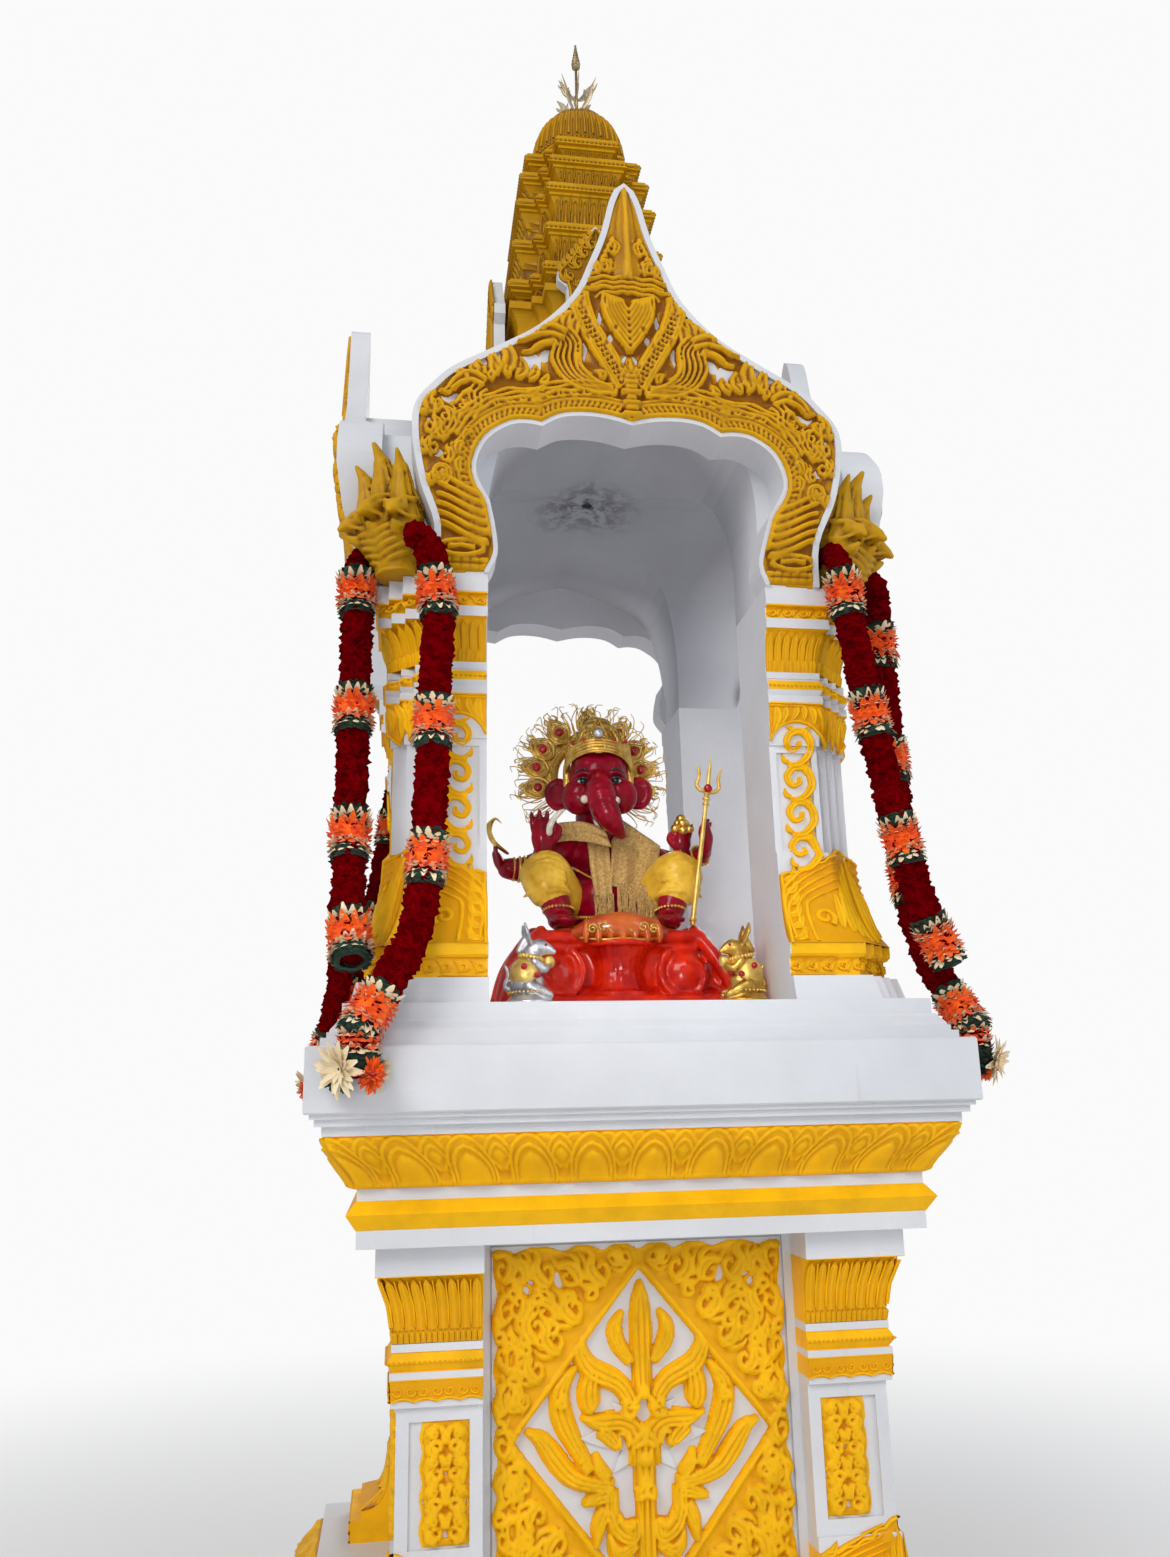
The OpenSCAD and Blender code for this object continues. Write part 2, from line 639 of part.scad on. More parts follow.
pedestal_base();
pedestal_wall();
pedestal_pier(0);  // pedestal_pier_front_left
pedestal_pier(1);  // pedestal_pier_front_right
pedestal_pier(2);  // pedestal_pier_back_right
pedestal_pier(3);  // pedestal_pier_back_left
pedestal_cornice();
table_slab();
chamber_ledge();
pillar(0);  // pillar_front_left
pillar(1);  // pillar_front_right
pillar(2);  // pillar_back_right
pillar(3);  // pillar_back_left
gable(0);  // gable_front
gable(1);  // gable_right
gable(2);  // gable_back
gable(3);  // gable_left
roof_vault();
naga(0);  // naga_front_left
naga(1);  // naga_front_right
naga(2);  // naga_back_right
naga(3);  // naga_back_left
tower_body();
tower_gables();
tower_tier(0);  // tower_tier_1
tower_tier(1);  // tower_tier_2
tower_tier(2);  // tower_tier_3
tower_tier(3);  // tower_tier_4
tower_tier(4);  // tower_tier_5
tower_dome();
finial();
throne();
statue_body();
statue_head();
statue_crown();
statue_shawl();
statue_trident();
mouse(-195, "#c8ccd2");  // mouse_silver
mouse(232, "#d0a840");  // mouse_gold
garland(0);  // garland_front_left
garland(1);  // garland_front_right
garland(2);  // garland_back_right
garland(3);  // garland_back_left
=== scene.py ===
"""Looks of a cast concrete spirit house with painted relief, a seated figure and garlands."""

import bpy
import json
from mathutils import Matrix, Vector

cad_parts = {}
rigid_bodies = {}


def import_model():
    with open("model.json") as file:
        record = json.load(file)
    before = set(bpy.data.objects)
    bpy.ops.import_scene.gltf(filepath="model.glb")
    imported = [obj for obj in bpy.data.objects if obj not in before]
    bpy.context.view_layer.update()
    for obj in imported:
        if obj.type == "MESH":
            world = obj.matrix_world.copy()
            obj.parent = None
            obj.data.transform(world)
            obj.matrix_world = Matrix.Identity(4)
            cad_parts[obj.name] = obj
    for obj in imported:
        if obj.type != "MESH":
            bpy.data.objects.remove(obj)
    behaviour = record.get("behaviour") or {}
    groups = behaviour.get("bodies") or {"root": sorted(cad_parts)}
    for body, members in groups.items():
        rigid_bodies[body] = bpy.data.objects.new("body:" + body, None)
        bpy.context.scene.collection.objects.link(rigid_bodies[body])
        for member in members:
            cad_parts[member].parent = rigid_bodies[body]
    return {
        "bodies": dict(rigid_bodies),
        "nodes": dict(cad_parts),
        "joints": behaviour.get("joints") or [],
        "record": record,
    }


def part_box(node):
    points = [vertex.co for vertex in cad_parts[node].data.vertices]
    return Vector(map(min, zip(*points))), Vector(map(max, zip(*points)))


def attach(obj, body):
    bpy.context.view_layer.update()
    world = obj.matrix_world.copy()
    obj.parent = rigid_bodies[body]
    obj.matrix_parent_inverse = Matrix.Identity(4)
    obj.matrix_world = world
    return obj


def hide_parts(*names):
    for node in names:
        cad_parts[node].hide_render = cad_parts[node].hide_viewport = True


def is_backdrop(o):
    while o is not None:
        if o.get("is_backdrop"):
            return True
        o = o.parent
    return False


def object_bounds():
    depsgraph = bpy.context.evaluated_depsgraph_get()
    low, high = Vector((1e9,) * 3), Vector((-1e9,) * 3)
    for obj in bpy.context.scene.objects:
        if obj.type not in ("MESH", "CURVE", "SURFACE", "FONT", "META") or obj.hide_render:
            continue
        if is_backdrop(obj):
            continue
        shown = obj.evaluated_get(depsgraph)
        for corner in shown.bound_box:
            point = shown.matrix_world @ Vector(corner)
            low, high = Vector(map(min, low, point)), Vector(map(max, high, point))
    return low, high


bl_info = {
    "name": "Spirit House",
    "version": (1, 0, 0),
    "blender": (4, 5, 0),
    "location": "3D View > Sidebar > Spirit House",
    "description": "Adds carved relief, figures, garlands and a stage to a spirit house frame",
    "category": "Add Mesh",
}

import json
import math

import bpy
import numpy as np
from mathutils import Matrix, Vector

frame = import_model()

# Sizes without a unit in their name are in millimetres, as in the frame's source
MM = 0.001
# Height of the carving that the relief's own numbers are meant for, in metres
CARVING = 0.008
# Heights: top of the slab, top of the pillars, floor of the chamber, foot of the piers
SLAB = 1280.0
CAP = 2198.0
FLOOR = 1355.0
PIER_FOOT = 267.0
# Distances of carved faces from the middle: pillar, pier, sunk pier panel, sunk wall panel
PILLAR_FACE = 465.0
PIER_FACE = 437.0
PANEL_FACE = 431.0
WALL_FACE = 379.0
# Cuts across a carved stroke: places from edge to edge, and the height there
ROUND = (np.array([-1, -0.62, 0, 0.62, 1.0]), np.array([0, 0.78, 1, 0.78, 0]))
GROOVED = (
    np.array([-1, -0.72, -0.36, 0, 0.36, 0.72, 1.0]),
    np.array([0, 1, 0.9, 0.5, 0.9, 1, 0]),
)
RIDGED = (np.array([-1, -0.5, 0, 0.5, 1.0]), np.array([0, 0.4, 1, 0.4, 0]))


def catmull(points, n=6):
    """Smooth curve through points, n steps between two of them."""
    p = np.asarray(points, float)
    p = np.vstack([2 * p[0] - p[1], p, 2 * p[-1] - p[-2]])
    out = []
    for i in range(1, len(p) - 2):
        a, b, c, d = p[i - 1], p[i], p[i + 1], p[i + 2]
        for k in range(n):
            t = k / n
            out.append(
                0.5
                * (
                    2 * b
                    + (c - a) * t
                    + (2 * a - 5 * b + 4 * c - d) * t * t
                    + (3 * b - a - 3 * c + d) * t**3
                )
            )
    out.append(p[-2])
    return np.array(out)


def spaced(path, step):
    """The same path with points about step apart."""
    path = np.asarray(path, float)
    run = np.concatenate([[0], np.cumsum(np.linalg.norm(np.diff(path, axis=0), axis=1))])
    at = np.linspace(0, run[-1], max(2, int(math.ceil(run[-1] / step)) + 1))
    return np.stack([np.interp(at, run, path[:, k]) for k in range(path.shape[1])], axis=1)


def normals2d(path):
    """Unit vectors to the left of the way a flat path runs."""
    d = np.gradient(np.asarray(path, float), axis=0)
    d /= np.maximum(np.linalg.norm(d, axis=1), 1e-9)[:, None]
    return np.stack([-d[:, 1], d[:, 0]], axis=1)


def offset(path, far):
    """The path moved sideways by far, to its left."""
    return path + normals2d(path) * np.reshape(far, (-1, 1))


def flame_width(n, root=0.35, full=0.3):
    """Width of a flame along its length: narrow root, full belly, pointed tip."""
    t = np.linspace(0, 1, n)
    rise = root + (1 - root) * np.sin(np.clip(t / full, 0, 1) * math.pi / 2)
    fall = np.clip((1 - t) / (1 - full), 0, 1) ** 0.85
    return np.where(t < full, rise, fall)


class Relief:
    """Carved strokes, beads and sheets, kept as points (u, v, h) in millimetres."""

    def __init__(self, bold=1.0):
        self.points = []
        self.faces = []
        self.count = 0
        self.bold = bold

    def add(self, points, faces):
        """Takes an array of points and a list of faces that count from 0."""
        points = np.asarray(points, float).reshape(-1, 3)
        start = self.count
        self.points.append(points)
        self.faces.extend(tuple(i + start for i in f) for f in faces)
        self.count += len(points)

    def grid(self, points, wrap=False):
        """Takes rows of points (n, m, 3) and joins them with quads."""
        n, m = points.shape[:2]
        faces = []
        for i in range(n - 1):
            for j in range(m if wrap else m - 1):
                k = (j + 1) % m
                faces.append((i * m + j, i * m + k, (i + 1) * m + k, (i + 1) * m + j))
        self.add(points, faces)

    def stroke(self, path, half, height, lift=0.0, cut=ROUND):
        """Raised band along a flat path. half and height may change along it."""
        path = np.asarray(path, float)
        n = len(path)
        half = np.broadcast_to(np.asarray(half, float), (n,)) * self.bold
        height = np.broadcast_to(np.asarray(height, float), (n,))
        across, up = cut
        side = normals2d(path)
        flat = path[:, None, :] + side[:, None, :] * (half[:, None] * across)[:, :, None]
        rise = lift + height[:, None] * up
        self.grid(np.concatenate([flat, rise[:, :, None]], axis=2)[:, ::-1])

    def flame(self, base, tip, width, bend=0.25, height=7.0, lift=0.0, cut=GROOVED, hook=0.0):
        """Flame leaf from base to tip. bend swings its middle to the left, hook its tip."""
        a, b = np.array(base, float), np.array(tip, float)
        d = b - a
        left = np.array([-d[1], d[0]])
        path = catmull(
            [a, a + 0.35 * d + bend * left, a + 0.75 * d + bend * 0.6 * left, b + hook * left], 4
        )
        size = flame_width(len(path))
        self.stroke(path, 0.5 * width * size, height * np.minimum(1, size + 0.25), lift, cut)

    def curl(self, centre, radius, start, turns, width, height=6.0, lift=0.0, cut=ROUND):
        """Spiral scroll that winds in to its centre. Negative turns go clockwise."""
        n = max(8, int(abs(turns) * 14))
        t = np.linspace(0, 1, n)
        a = math.radians(start) + 2 * math.pi * turns * t
        r = radius * (1 - 0.8 * t)
        path = np.stack([centre[0] + r * np.cos(a), centre[1] + r * np.sin(a)], axis=1)
        self.stroke(path, 0.5 * width * (1 - 0.45 * t), height, lift, cut)

    def bead(self, u, v, radius, height=None, lift=0.0, sides=8):
        """Round bead."""
        height = radius if height is None else height
        rings = [(1.0, 0.0), (0.8, 0.62), (0.4, 0.93)]
        a = np.linspace(0, 2 * math.pi, sides, endpoint=False)
        pts = [
            np.stack([u + radius * r * np.cos(a), v + radius * r * np.sin(a),
                      np.full(sides, lift + height * h)], axis=1)
            for r, h in rings
        ]
        top = np.array([[u, v, lift + height]])
        faces = []
        for i in range(2):
            for j in range(sides):
                k = (j + 1) % sides
                faces.append((i * sides + j, i * sides + k, (i + 1) * sides + k, (i + 1) * sides + j))
        faces += [(2 * sides + j, 2 * sides + (j + 1) % sides, 3 * sides) for j in range(sides)]
        self.add(np.vstack(pts + [top]), faces)

    def petal(self, u, v, width, tall, height=6.0, lift=0.0, rows=7, down=False):
        """Upright lotus petal with a rounded top, a raised rim and a middle rib."""
        t = np.linspace(0, 1, rows)
        half = 0.5 * width * np.sqrt(np.clip(1 - np.clip((t - 0.45) / 0.55, 0, 1) ** 2.2, 0, 1))
        across = np.array([-1, -0.8, -0.45, 0, 0.45, 0.8, 1.0])
        up = np.array([0.1, 1, 0.45, 0.85, 0.45, 1, 0.1])
        sign = -1 if down else 1
        pts = np.zeros((rows, 7, 3))
        pts[:, :, 0] = u + half[:, None] * across
        pts[:, :, 1] = v + sign * (t * tall)[:, None] + 0 * across
        end = np.where(t > 0.97, 0.35, 1.0)
        pts[:, :, 2] = lift + height * up * (0.55 + 0.45 * t)[:, None] * end[:, None]
        self.grid(pts[:, ::-1] if down else pts)

    def kanok(self, base, angle, size, hand=1, height=7.0, lift=0.0):
        """Flame motif: a hooked main leaf, a curl at its root and two side leaves."""
        c, s = math.cos(math.radians(angle)), math.sin(math.radians(angle))

        def at(x, y):
            x = x * hand
            return (base[0] + size * (x * s + y * c), base[1] + size * (-x * c + y * s))

        main = catmull([at(0, 0), at(0.2, 0.28), at(0.2, 0.58), at(0.02, 0.8), at(0.1, 1.08)], 4)
        size_at = flame_width(len(main), 0.5, 0.35)
        self.stroke(main, 0.15 * size * size_at, height * np.minimum(1, size_at + 0.3), lift, GROOVED)
        out = catmull([at(0.22, 0.3), at(0.42, 0.42), at(0.46, 0.66), at(0.36, 0.86)], 3)
        self.stroke(out, 0.09 * size * flame_width(len(out)), height * 0.85, lift)
        low = catmull([at(0.1, 0.05), at(0.4, 0.1), at(0.58, 0.3), at(0.62, 0.52)], 3)
        self.stroke(low, 0.09 * size * flame_width(len(low)), height * 0.75, lift)
        back = catmull([at(0.0, 0.1), at(-0.16, 0.2), at(-0.2, 0.42), at(-0.08, 0.52), at(0.0, 0.42)], 3)
        self.stroke(back, 0.07 * size * np.linspace(1, 0.6, len(back)), height * 0.8, lift)

    def mirrored(self):
        """Adds the same relief on the other side of u = 0."""
        points = np.vstack(self.points)
        faces = list(self.faces)
        points[:, 0] *= -1
        self.add(points, [f[::-1] for f in faces])
        return self

    def take(self, other, du=0.0, dv=0.0, flip=False):
        """Adds a copy of another relief."""
        points = np.vstack(other.points).copy()
        if flip:
            points[:, 0] *= -1
        points[:, 0] += du
        points[:, 1] += dv
        self.add(points, [f[::-1] for f in other.faces] if flip else other.faces)

    def mesh(self, name, place):
        """Mesh of the relief. place turns (u, v, h) columns into X, Y and Z columns."""
        pts = np.vstack(self.points)
        x, y, z = place(pts[:, 0], pts[:, 1], pts[:, 2])
        co = np.stack([x, y, z], axis=1) * MM
        return new_mesh(name, co, self.faces, height=pts[:, 2])


class Solid:
    """Closed rounded shapes in millimetres that are later fused or shown as they are."""

    def __init__(self):
        self.points = []
        self.faces = []
        self.count = 0

    def add(self, points, faces):
        points = np.asarray(points, float).reshape(-1, 3)
        self.points.append(points)
        self.faces.extend(tuple(i + self.count for i in f) for f in faces)
        self.count += len(points)

    def rings(self, rings):
        """Joins rings of points and closes both ends with a fan."""
        rings = np.asarray(rings, float)
        n, m = rings.shape[:2]
        pts = np.vstack([rings.reshape(-1, 3), rings[0].mean(axis=0), rings[-1].mean(axis=0)])
        faces = []
        for i in range(n - 1):
            for j in range(m):
                k = (j + 1) % m
                faces.append((i * m + j, i * m + k, (i + 1) * m + k, (i + 1) * m + j))
        for j in range(m):
            k = (j + 1) % m
            faces.append((k, j, n * m))
            faces.append(((n - 1) * m + j, (n - 1) * m + k, n * m + 1))
        self.add(pts, faces)

    def tube(self, path, radii, sides=12, steps=4, flat=1.0, up=(0.3, 0.2, 1.0), smooth=True):
        """Round limb along a path. flat narrows it along the direction nearest to up."""
        path = np.asarray(path, float)
        radii = np.broadcast_to(np.asarray(radii, float), (len(path),))
        if smooth and len(path) > 2:
            both = catmull(np.column_stack([path, radii]), steps)
            path, radii = both[:, :3], np.maximum(both[:, 3], 0.3)
        d = np.gradient(path, axis=0)
        d /= np.maximum(np.linalg.norm(d, axis=1), 1e-9)[:, None]
        side = np.cross(d, np.asarray(up, float))
        side /= np.maximum(np.linalg.norm(side, axis=1), 1e-9)[:, None]
        high = np.cross(side, d)
        a = np.linspace(0, 2 * math.pi, sides, endpoint=False)
        rings = []
        ends = [(0, -0.86, 0.5), (0, -0.5, 0.86)] + [(i, 0, 1) for i in range(len(path))]
        ends += [(len(path) - 1, 0.5, 0.86), (len(path) - 1, 0.86, 0.5)]
        for i, along, wide in ends:
            r = radii[i]
            rings.append(
                path[i] + d[i] * along * r
                + wide * r * (np.cos(a)[:, None] * side[i] + flat * np.sin(a)[:, None] * high[i])
            )
        self.rings(rings)
        return path, radii, side, high

    def ribs(self, tube, angles, r=3.0, start=0.0, end=1.0):
        """Thin ridges along a tube that this class has made."""
        path, radii, side, high = tube
        n = len(path)
        lo, hi = int(start * (n - 1)), max(int(end * (n - 1)) + 1, int(start * (n - 1)) + 2)
        for angle in angles:
            c, q = math.cos(math.radians(angle)), math.sin(math.radians(angle))
            line = path + (radii * 0.97)[:, None] * (c * side + q * high)
            self.tube(line[lo:hi], r, 6, smooth=False)

    def ball(self, centre, radii, rows=12, sides=20, turn=None):
        """Ball or egg. turn is an optional rotation matrix."""
        radii = np.broadcast_to(np.asarray(radii, float), (3,))
        rings = []
        for t in np.linspace(0.06, 0.94, rows):
            z, r = -math.cos(math.pi * t), math.sin(math.pi * t)
            a = np.linspace(0, 2 * math.pi, sides, endpoint=False)
            rings.append(np.stack([r * np.cos(a), r * np.sin(a), np.full(sides, z)], 1) * radii)
        rings = np.array(rings)
        if turn is not None:
            rings = rings @ np.array(turn).T
        self.rings(rings + np.asarray(centre, float))

    def ring(self, centre, radius, r, normal=(0, 0, 1), sides=8, around=28, beads=0):
        """Round ring, or a ring of beads."""
        z = Vector(normal).normalized()
        x = z.orthogonal().normalized()
        y = z.cross(x)
        x, y = np.array(x), np.array(y)
        if beads:
            for a in np.linspace(0, 2 * math.pi, beads, endpoint=False):
                self.ball(centre + radius * (math.cos(a) * x + math.sin(a) * y), r, 5, 8)
            return
        a = np.linspace(0, 2 * math.pi, around + 1)
        path = np.asarray(centre, float) + radius * (np.cos(a)[:, None] * x + np.sin(a)[:, None] * y)
        self.tube(path, r, sides, smooth=False, up=tuple(z))

    def placed(self, turn, about, shift):
        """Turns everything round an upright line by an angle in degrees, then shifts it."""
        c, q = math.cos(math.radians(turn)), math.sin(math.radians(turn))
        for p in self.points:
            x, y = p[:, 0] - about[0], p[:, 1] - about[1]
            p[:, 0] = about[0] + x * c - y * q + shift[0]
            p[:, 1] = about[1] + x * q + y * c + shift[1]
            p[:, 2] += shift[2]
        return self

    def lathe(self, centre, profile, sides=32, ripple=0, deep=0.0):
        """Turned shape from (radius, height) pairs, with ripple flutes of that depth round it."""
        a = np.linspace(0, 2 * math.pi, sides, endpoint=False)
        wave = 1 + deep * np.cos(ripple * a)
        rings = [
            np.stack([r * wave * np.cos(a), r * wave * np.sin(a), np.full(sides, z)], 1)
            for r, z in profile
        ]
        self.rings(np.array(rings) + np.asarray(centre, float))

    def block(self, lo, hi, top=1.0):
        """Box whose upper face may be smaller or larger."""
        (x0, y0, z0), (x1, y1, z1) = lo, hi
        mx, my = (x0 + x1) / 2, (y0 + y1) / 2
        low = [(x0, y0, z0), (x1, y0, z0), (x1, y1, z0), (x0, y1, z0)]
        high = [(mx + (x - mx) * top, my + (y - my) * top, z1) for x, y, _ in low]
        self.add(low + high, [(3, 2, 1, 0), (4, 5, 6, 7), (0, 1, 5, 4), (1, 2, 6, 5), (2, 3, 7, 6),
            (3, 0, 4, 7)])

    def mesh(self, name, at=(0, 0, 0)):
        co = (np.vstack(self.points) + np.asarray(at, float)) * MM
        return new_mesh(name, co, self.faces)

    def fused(self, name, at=(0, 0, 0), voxel=3.0, relax=2, keep=0.3):
        """One smooth skin over all the shapes."""
        mesh = self.mesh(name + "_raw", at)
        obj = bpy.data.objects.new(name + "_raw", mesh)
        bpy.context.scene.collection.objects.link(obj)
        skin = obj.modifiers.new("skin", "REMESH")
        skin.mode = "VOXEL"
        skin.voxel_size = voxel * MM
        skin.use_smooth_shade = True
        if relax:
            soft = obj.modifiers.new("soft", "SMOOTH")
            soft.iterations = relax
            soft.factor = 0.5
        seen = obj.evaluated_get(bpy.context.evaluated_depsgraph_get())
        out = bpy.data.meshes.new_from_object(seen)
        out.name = name
        bpy.data.objects.remove(obj)
        bpy.data.meshes.remove(mesh)
        return thinned(out, keep)


def new_mesh(name, co, faces, height=None, smooth=True):
    """Mesh from points in metres. height, in millimetres, is kept for the painted shade in the hollows."""
    mesh = bpy.data.meshes.new(name)
    mesh.from_pydata([tuple(p) for p in np.asarray(co).tolist()], [], faces)
    if height is not None:
        # The relief attribute drives painted shade: low values darken the yellow paint
        layer = mesh.attributes.new("relief", "FLOAT", "POINT")
        layer.data.foreach_set("value", np.asarray(height, np.float32))
    mesh.polygons.foreach_set("use_smooth", [smooth] * len(mesh.polygons))
    mesh.update()
    return mesh


def thinned(mesh, keep):
    """The same mesh with fewer faces where it is flat."""
    obj = bpy.data.objects.new("thinning", mesh)
    bpy.context.scene.collection.objects.link(obj)
    fewer = obj.modifiers.new("fewer", "DECIMATE")
    fewer.ratio = keep
    out = bpy.data.meshes.new_from_object(obj.evaluated_get(bpy.context.evaluated_depsgraph_get()))
    name = mesh.name
    bpy.data.objects.remove(obj)
    bpy.data.meshes.remove(mesh)
    out.name = name
    return out


def blurred(field, times):
    """A field softened by a small box average."""
    for _ in range(times):
        for axis in (0, 1):
            field = 0.25 * (np.roll(field, 1, axis) + 2 * field + np.roll(field, -1, axis))
    return field


def pressed(relief, lo, shape, cell, flat=False):
    """Highest point of a relief over each cell of a field that starts at lo."""
    field = np.zeros(shape)
    points = np.vstack(relief.points)
    quads = points[np.array([f if len(f) == 4 else (*f, f[2]) for f in relief.faces])]
    reach = np.maximum(np.linalg.norm(quads[:, 2, :2] - quads[:, 0, :2], axis=1),
                       np.linalg.norm(quads[:, 3, :2] - quads[:, 1, :2], axis=1))
    for least, most, many in ((0, 6, 6), (6, 15, 13), (15, 999, 34)):
        some = quads[(reach >= least) & (reach < most)]
        for s in np.linspace(0, 1, many):
            for t in np.linspace(0, 1, many):
                p = (1 - s) * ((1 - t) * some[:, 0] + t * some[:, 1]) + s * ((1 - t) * some[:,
                    3] + t * some[:, 2])
                at = np.round((p[:, :2] - lo) / cell).astype(int)
                inside = ((at >= 0) & (at < shape)).all(axis=1)
                at = at[inside]
                np.maximum.at(field, (at[:, 0], at[:, 1]), 1.0 if flat else p[inside, 2])
    return field


def cast_mesh(name, carving, ground, gaps, place, lift=2.4, sink=2.0, step=3.0, keep=0.4, deep=1.5, mean=4.3,
    gain=1.4):
    """One cast sheet. Its ground ends softly and dips under the white paint outside and in the gaps."""
    cell = step / 2
    area = np.vstack(ground.points)[:, :2]
    lo = area.min(axis=0) - 5 * step
    shape = tuple(np.ceil((area.max(axis=0) + 5 * step - lo) / cell).astype(int))
    mask = pressed(ground, lo, shape, cell, True)
    limit = np.clip(blurred(mask, 3) * 4 - 1.2, 0, 1)
    u, v = np.meshgrid(lo[0] + cell * np.arange(shape[0]), lo[1] + cell * np.arange(shape[1]), indexing="ij")
    for gu, gv, wide, tall, tilt in gaps:
        c, q = math.cos(math.radians(tilt)), math.sin(math.radians(tilt))
        for hand in (-1, 1):
            du, dv = hand * u - gu, v - gv
            mask[((du * c + dv * q) / wide) ** 2 + ((dv * c - du * q) / tall) ** 2 < 1] = 0
    base = np.clip((blurred(mask, 2) - 0.5) * 3.6, -1, 1)
    base = np.where(base > 0, base * lift, base * sink)
    high = base + limit * deep * blurred(pressed(carving, lo, shape, cell), 1)
    # Painted shade: the value is low where the carving sinks below its softened surroundings, so grooves
    # darken; mean sets its overall level and gain its depth
    cavity_shade = mean + gain * (high - blurred(high, 12))
    high, cavity_shade, u, v = (a[::2, ::2] for a in (high, cavity_shade, u, v))
    top = np.maximum.reduce([high[:-1, :-1], high[1:, :-1], high[:-1, 1:], high[1:, 1:]])
    i, j = np.nonzero(top > -0.9 * sink)
    n = high.shape[1]
    quads = np.stack([i * n + j, (i + 1) * n + j, (i + 1) * n + j + 1, i * n + j + 1], axis=1)
    used, faces = np.unique(quads, return_inverse=True)
    x, y, z = place(u.ravel()[used], v.ravel()[used], high.ravel()[used])
    co = np.stack([x, y, z], axis=1) * MM
    return thinned(new_mesh(name, co, faces.reshape(-1, 4).tolist(), cavity_shade.ravel()[used]), keep)


def new_object(name, mesh, material, turn=0.0):
    """Object that rides on the frame, turned about the upright middle axis by turn degrees."""
    obj = bpy.data.objects.new(name, mesh)
    bpy.context.scene.collection.objects.link(obj)
    obj.rotation_euler.z = math.radians(turn)
    if not mesh.materials:
        mesh.materials.append(material)
    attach(obj, "root")
    return obj


def four_sides(name, mesh, material):
    """One mesh shown on the front, right, back and left."""
    for i, side in enumerate(("front", "right", "back", "left")):
        new_object(f"{name}_{side}", mesh, material, 90 * i)


def upright(depth_at, base=0.0):
    """Places (u, v, h) on a front face whose distance from the middle is depth_at(v)."""
    return lambda u, v, h: (u, -(depth_at(v) + h), base + v)


# Materials


def node_tree(name):
    """New material, its node tree and its principled node."""
    material = bpy.data.materials.new(name)
    material.use_nodes = True
    tree = material.node_tree
    return material, tree, tree.nodes["Principled BSDF"]


def ramp(tree, source, stops, interpolation="LINEAR"):
    """Colour ramp between stops of (place, colour)."""
    node = tree.nodes.new("ShaderNodeValToRGB")
    node.color_ramp.interpolation = interpolation
    elements = node.color_ramp.elements
    while len(elements) > 1:
        elements.remove(elements[-1])
    elements[0].position = stops[0][0]
    elements[0].color = (*stops[0][1], 1)
    for place, colour in stops[1:]:
        element = elements.new(place)
        element.color = (*colour, 1)
    tree.links.new(source, node.inputs[0])
    return node


def noise(tree, scale, detail=4.0, rough=0.55, stretch=None):
    """Noise texture over object coordinates."""
    coords = tree.nodes.new("ShaderNodeTexCoord")
    node = tree.nodes.new("ShaderNodeTexNoise")
    node.inputs["Scale"].default_value = scale
    node.inputs["Detail"].default_value = detail
    node.inputs["Roughness"].default_value = rough
    if stretch is None:
        tree.links.new(coords.outputs["Object"], node.inputs["Vector"])
    else:
        mapping = tree.nodes.new("ShaderNodeMapping")
        mapping.inputs["Scale"].default_value = stretch
        tree.links.new(coords.outputs["Object"], mapping.inputs["Vector"])
        tree.links.new(mapping.outputs["Vector"], node.inputs["Vector"])
    return node


def blend_colour(tree, factor, a, b, mode="MIX"):
    """Mixes two colours by a factor."""
    node = tree.nodes.new("ShaderNodeMix")
    node.data_type = "RGBA"
    node.blend_type = mode
    for value, place in ((factor, 0), (a, 6), (b, 7)):
        if hasattr(value, "is_linked"):
            tree.links.new(value, node.inputs[place])
        elif place == 0:
            node.inputs[0].default_value = value
        else:
            node.inputs[place].default_value = (*value, 1)
    return node.outputs[2]


def bump(tree, bsdf, heights):
    """Chains bump nodes from (height output, strength, distance in metres)."""
    last = None
    for source, strength, distance in heights:
        node = tree.nodes.new("ShaderNodeBump")
        node.inputs["Strength"].default_value = strength
        node.inputs["Distance"].default_value = distance
        tree.links.new(source, node.inputs["Height"])
        if last is not None:
            tree.links.new(last.outputs["Normal"], node.inputs["Normal"])
        last = node
    tree.links.new(last.outputs["Normal"], bsdf.inputs["Normal"])


def white_colour(tree, tint):
    """Painted concrete: clean white with soft grey stains and faint vertical runs."""
    stain = noise(tree, 2.4, 6, 0.6)
    stain_and_vault_shade = tuple(c * 0.86 for c in tint)
    body = ramp(tree, stain.outputs["Fac"], [(0.3, stain_and_vault_shade), (0.62, tint)])
    run = noise(tree, 9.0, 5, 0.6, (3.0, 3.0, 0.25))
    grime = ramp(tree, run.outputs["Fac"], [(0.66, (1, 1, 1)), (0.86, (0.72, 0.71, 0.68))])
    return blend_colour(tree, 0.55, body.outputs[0], grime.outputs[0], "MULTIPLY")


def yellow_colour(tree, tint, shade, relief=True):
    """Yellow paint worn in patches, with painted shade in its hollows."""
    patch = noise(tree, 14.0, 5, 0.6)
    worn = ramp(tree, patch.outputs["Fac"], [(0.32, tuple(c * 0.82 for c in tint)), (0.6, tint)])
    if not relief:
        return worn.outputs[0]
    # Painted shade: where the relief attribute is low, in grooves and hollows, the colour turns to the shade
    # colour
    layer = tree.nodes.new("ShaderNodeAttribute")
    layer.attribute_name = "relief"
    hollow = tree.nodes.new("ShaderNodeMapRange")
    hollow.inputs["From Min"].default_value = 0.4
    hollow.inputs["From Max"].default_value = 5.0
    tree.links.new(layer.outputs["Fac"], hollow.inputs["Value"])
    return blend_colour(tree, hollow.outputs["Result"], shade, worn.outputs[0])


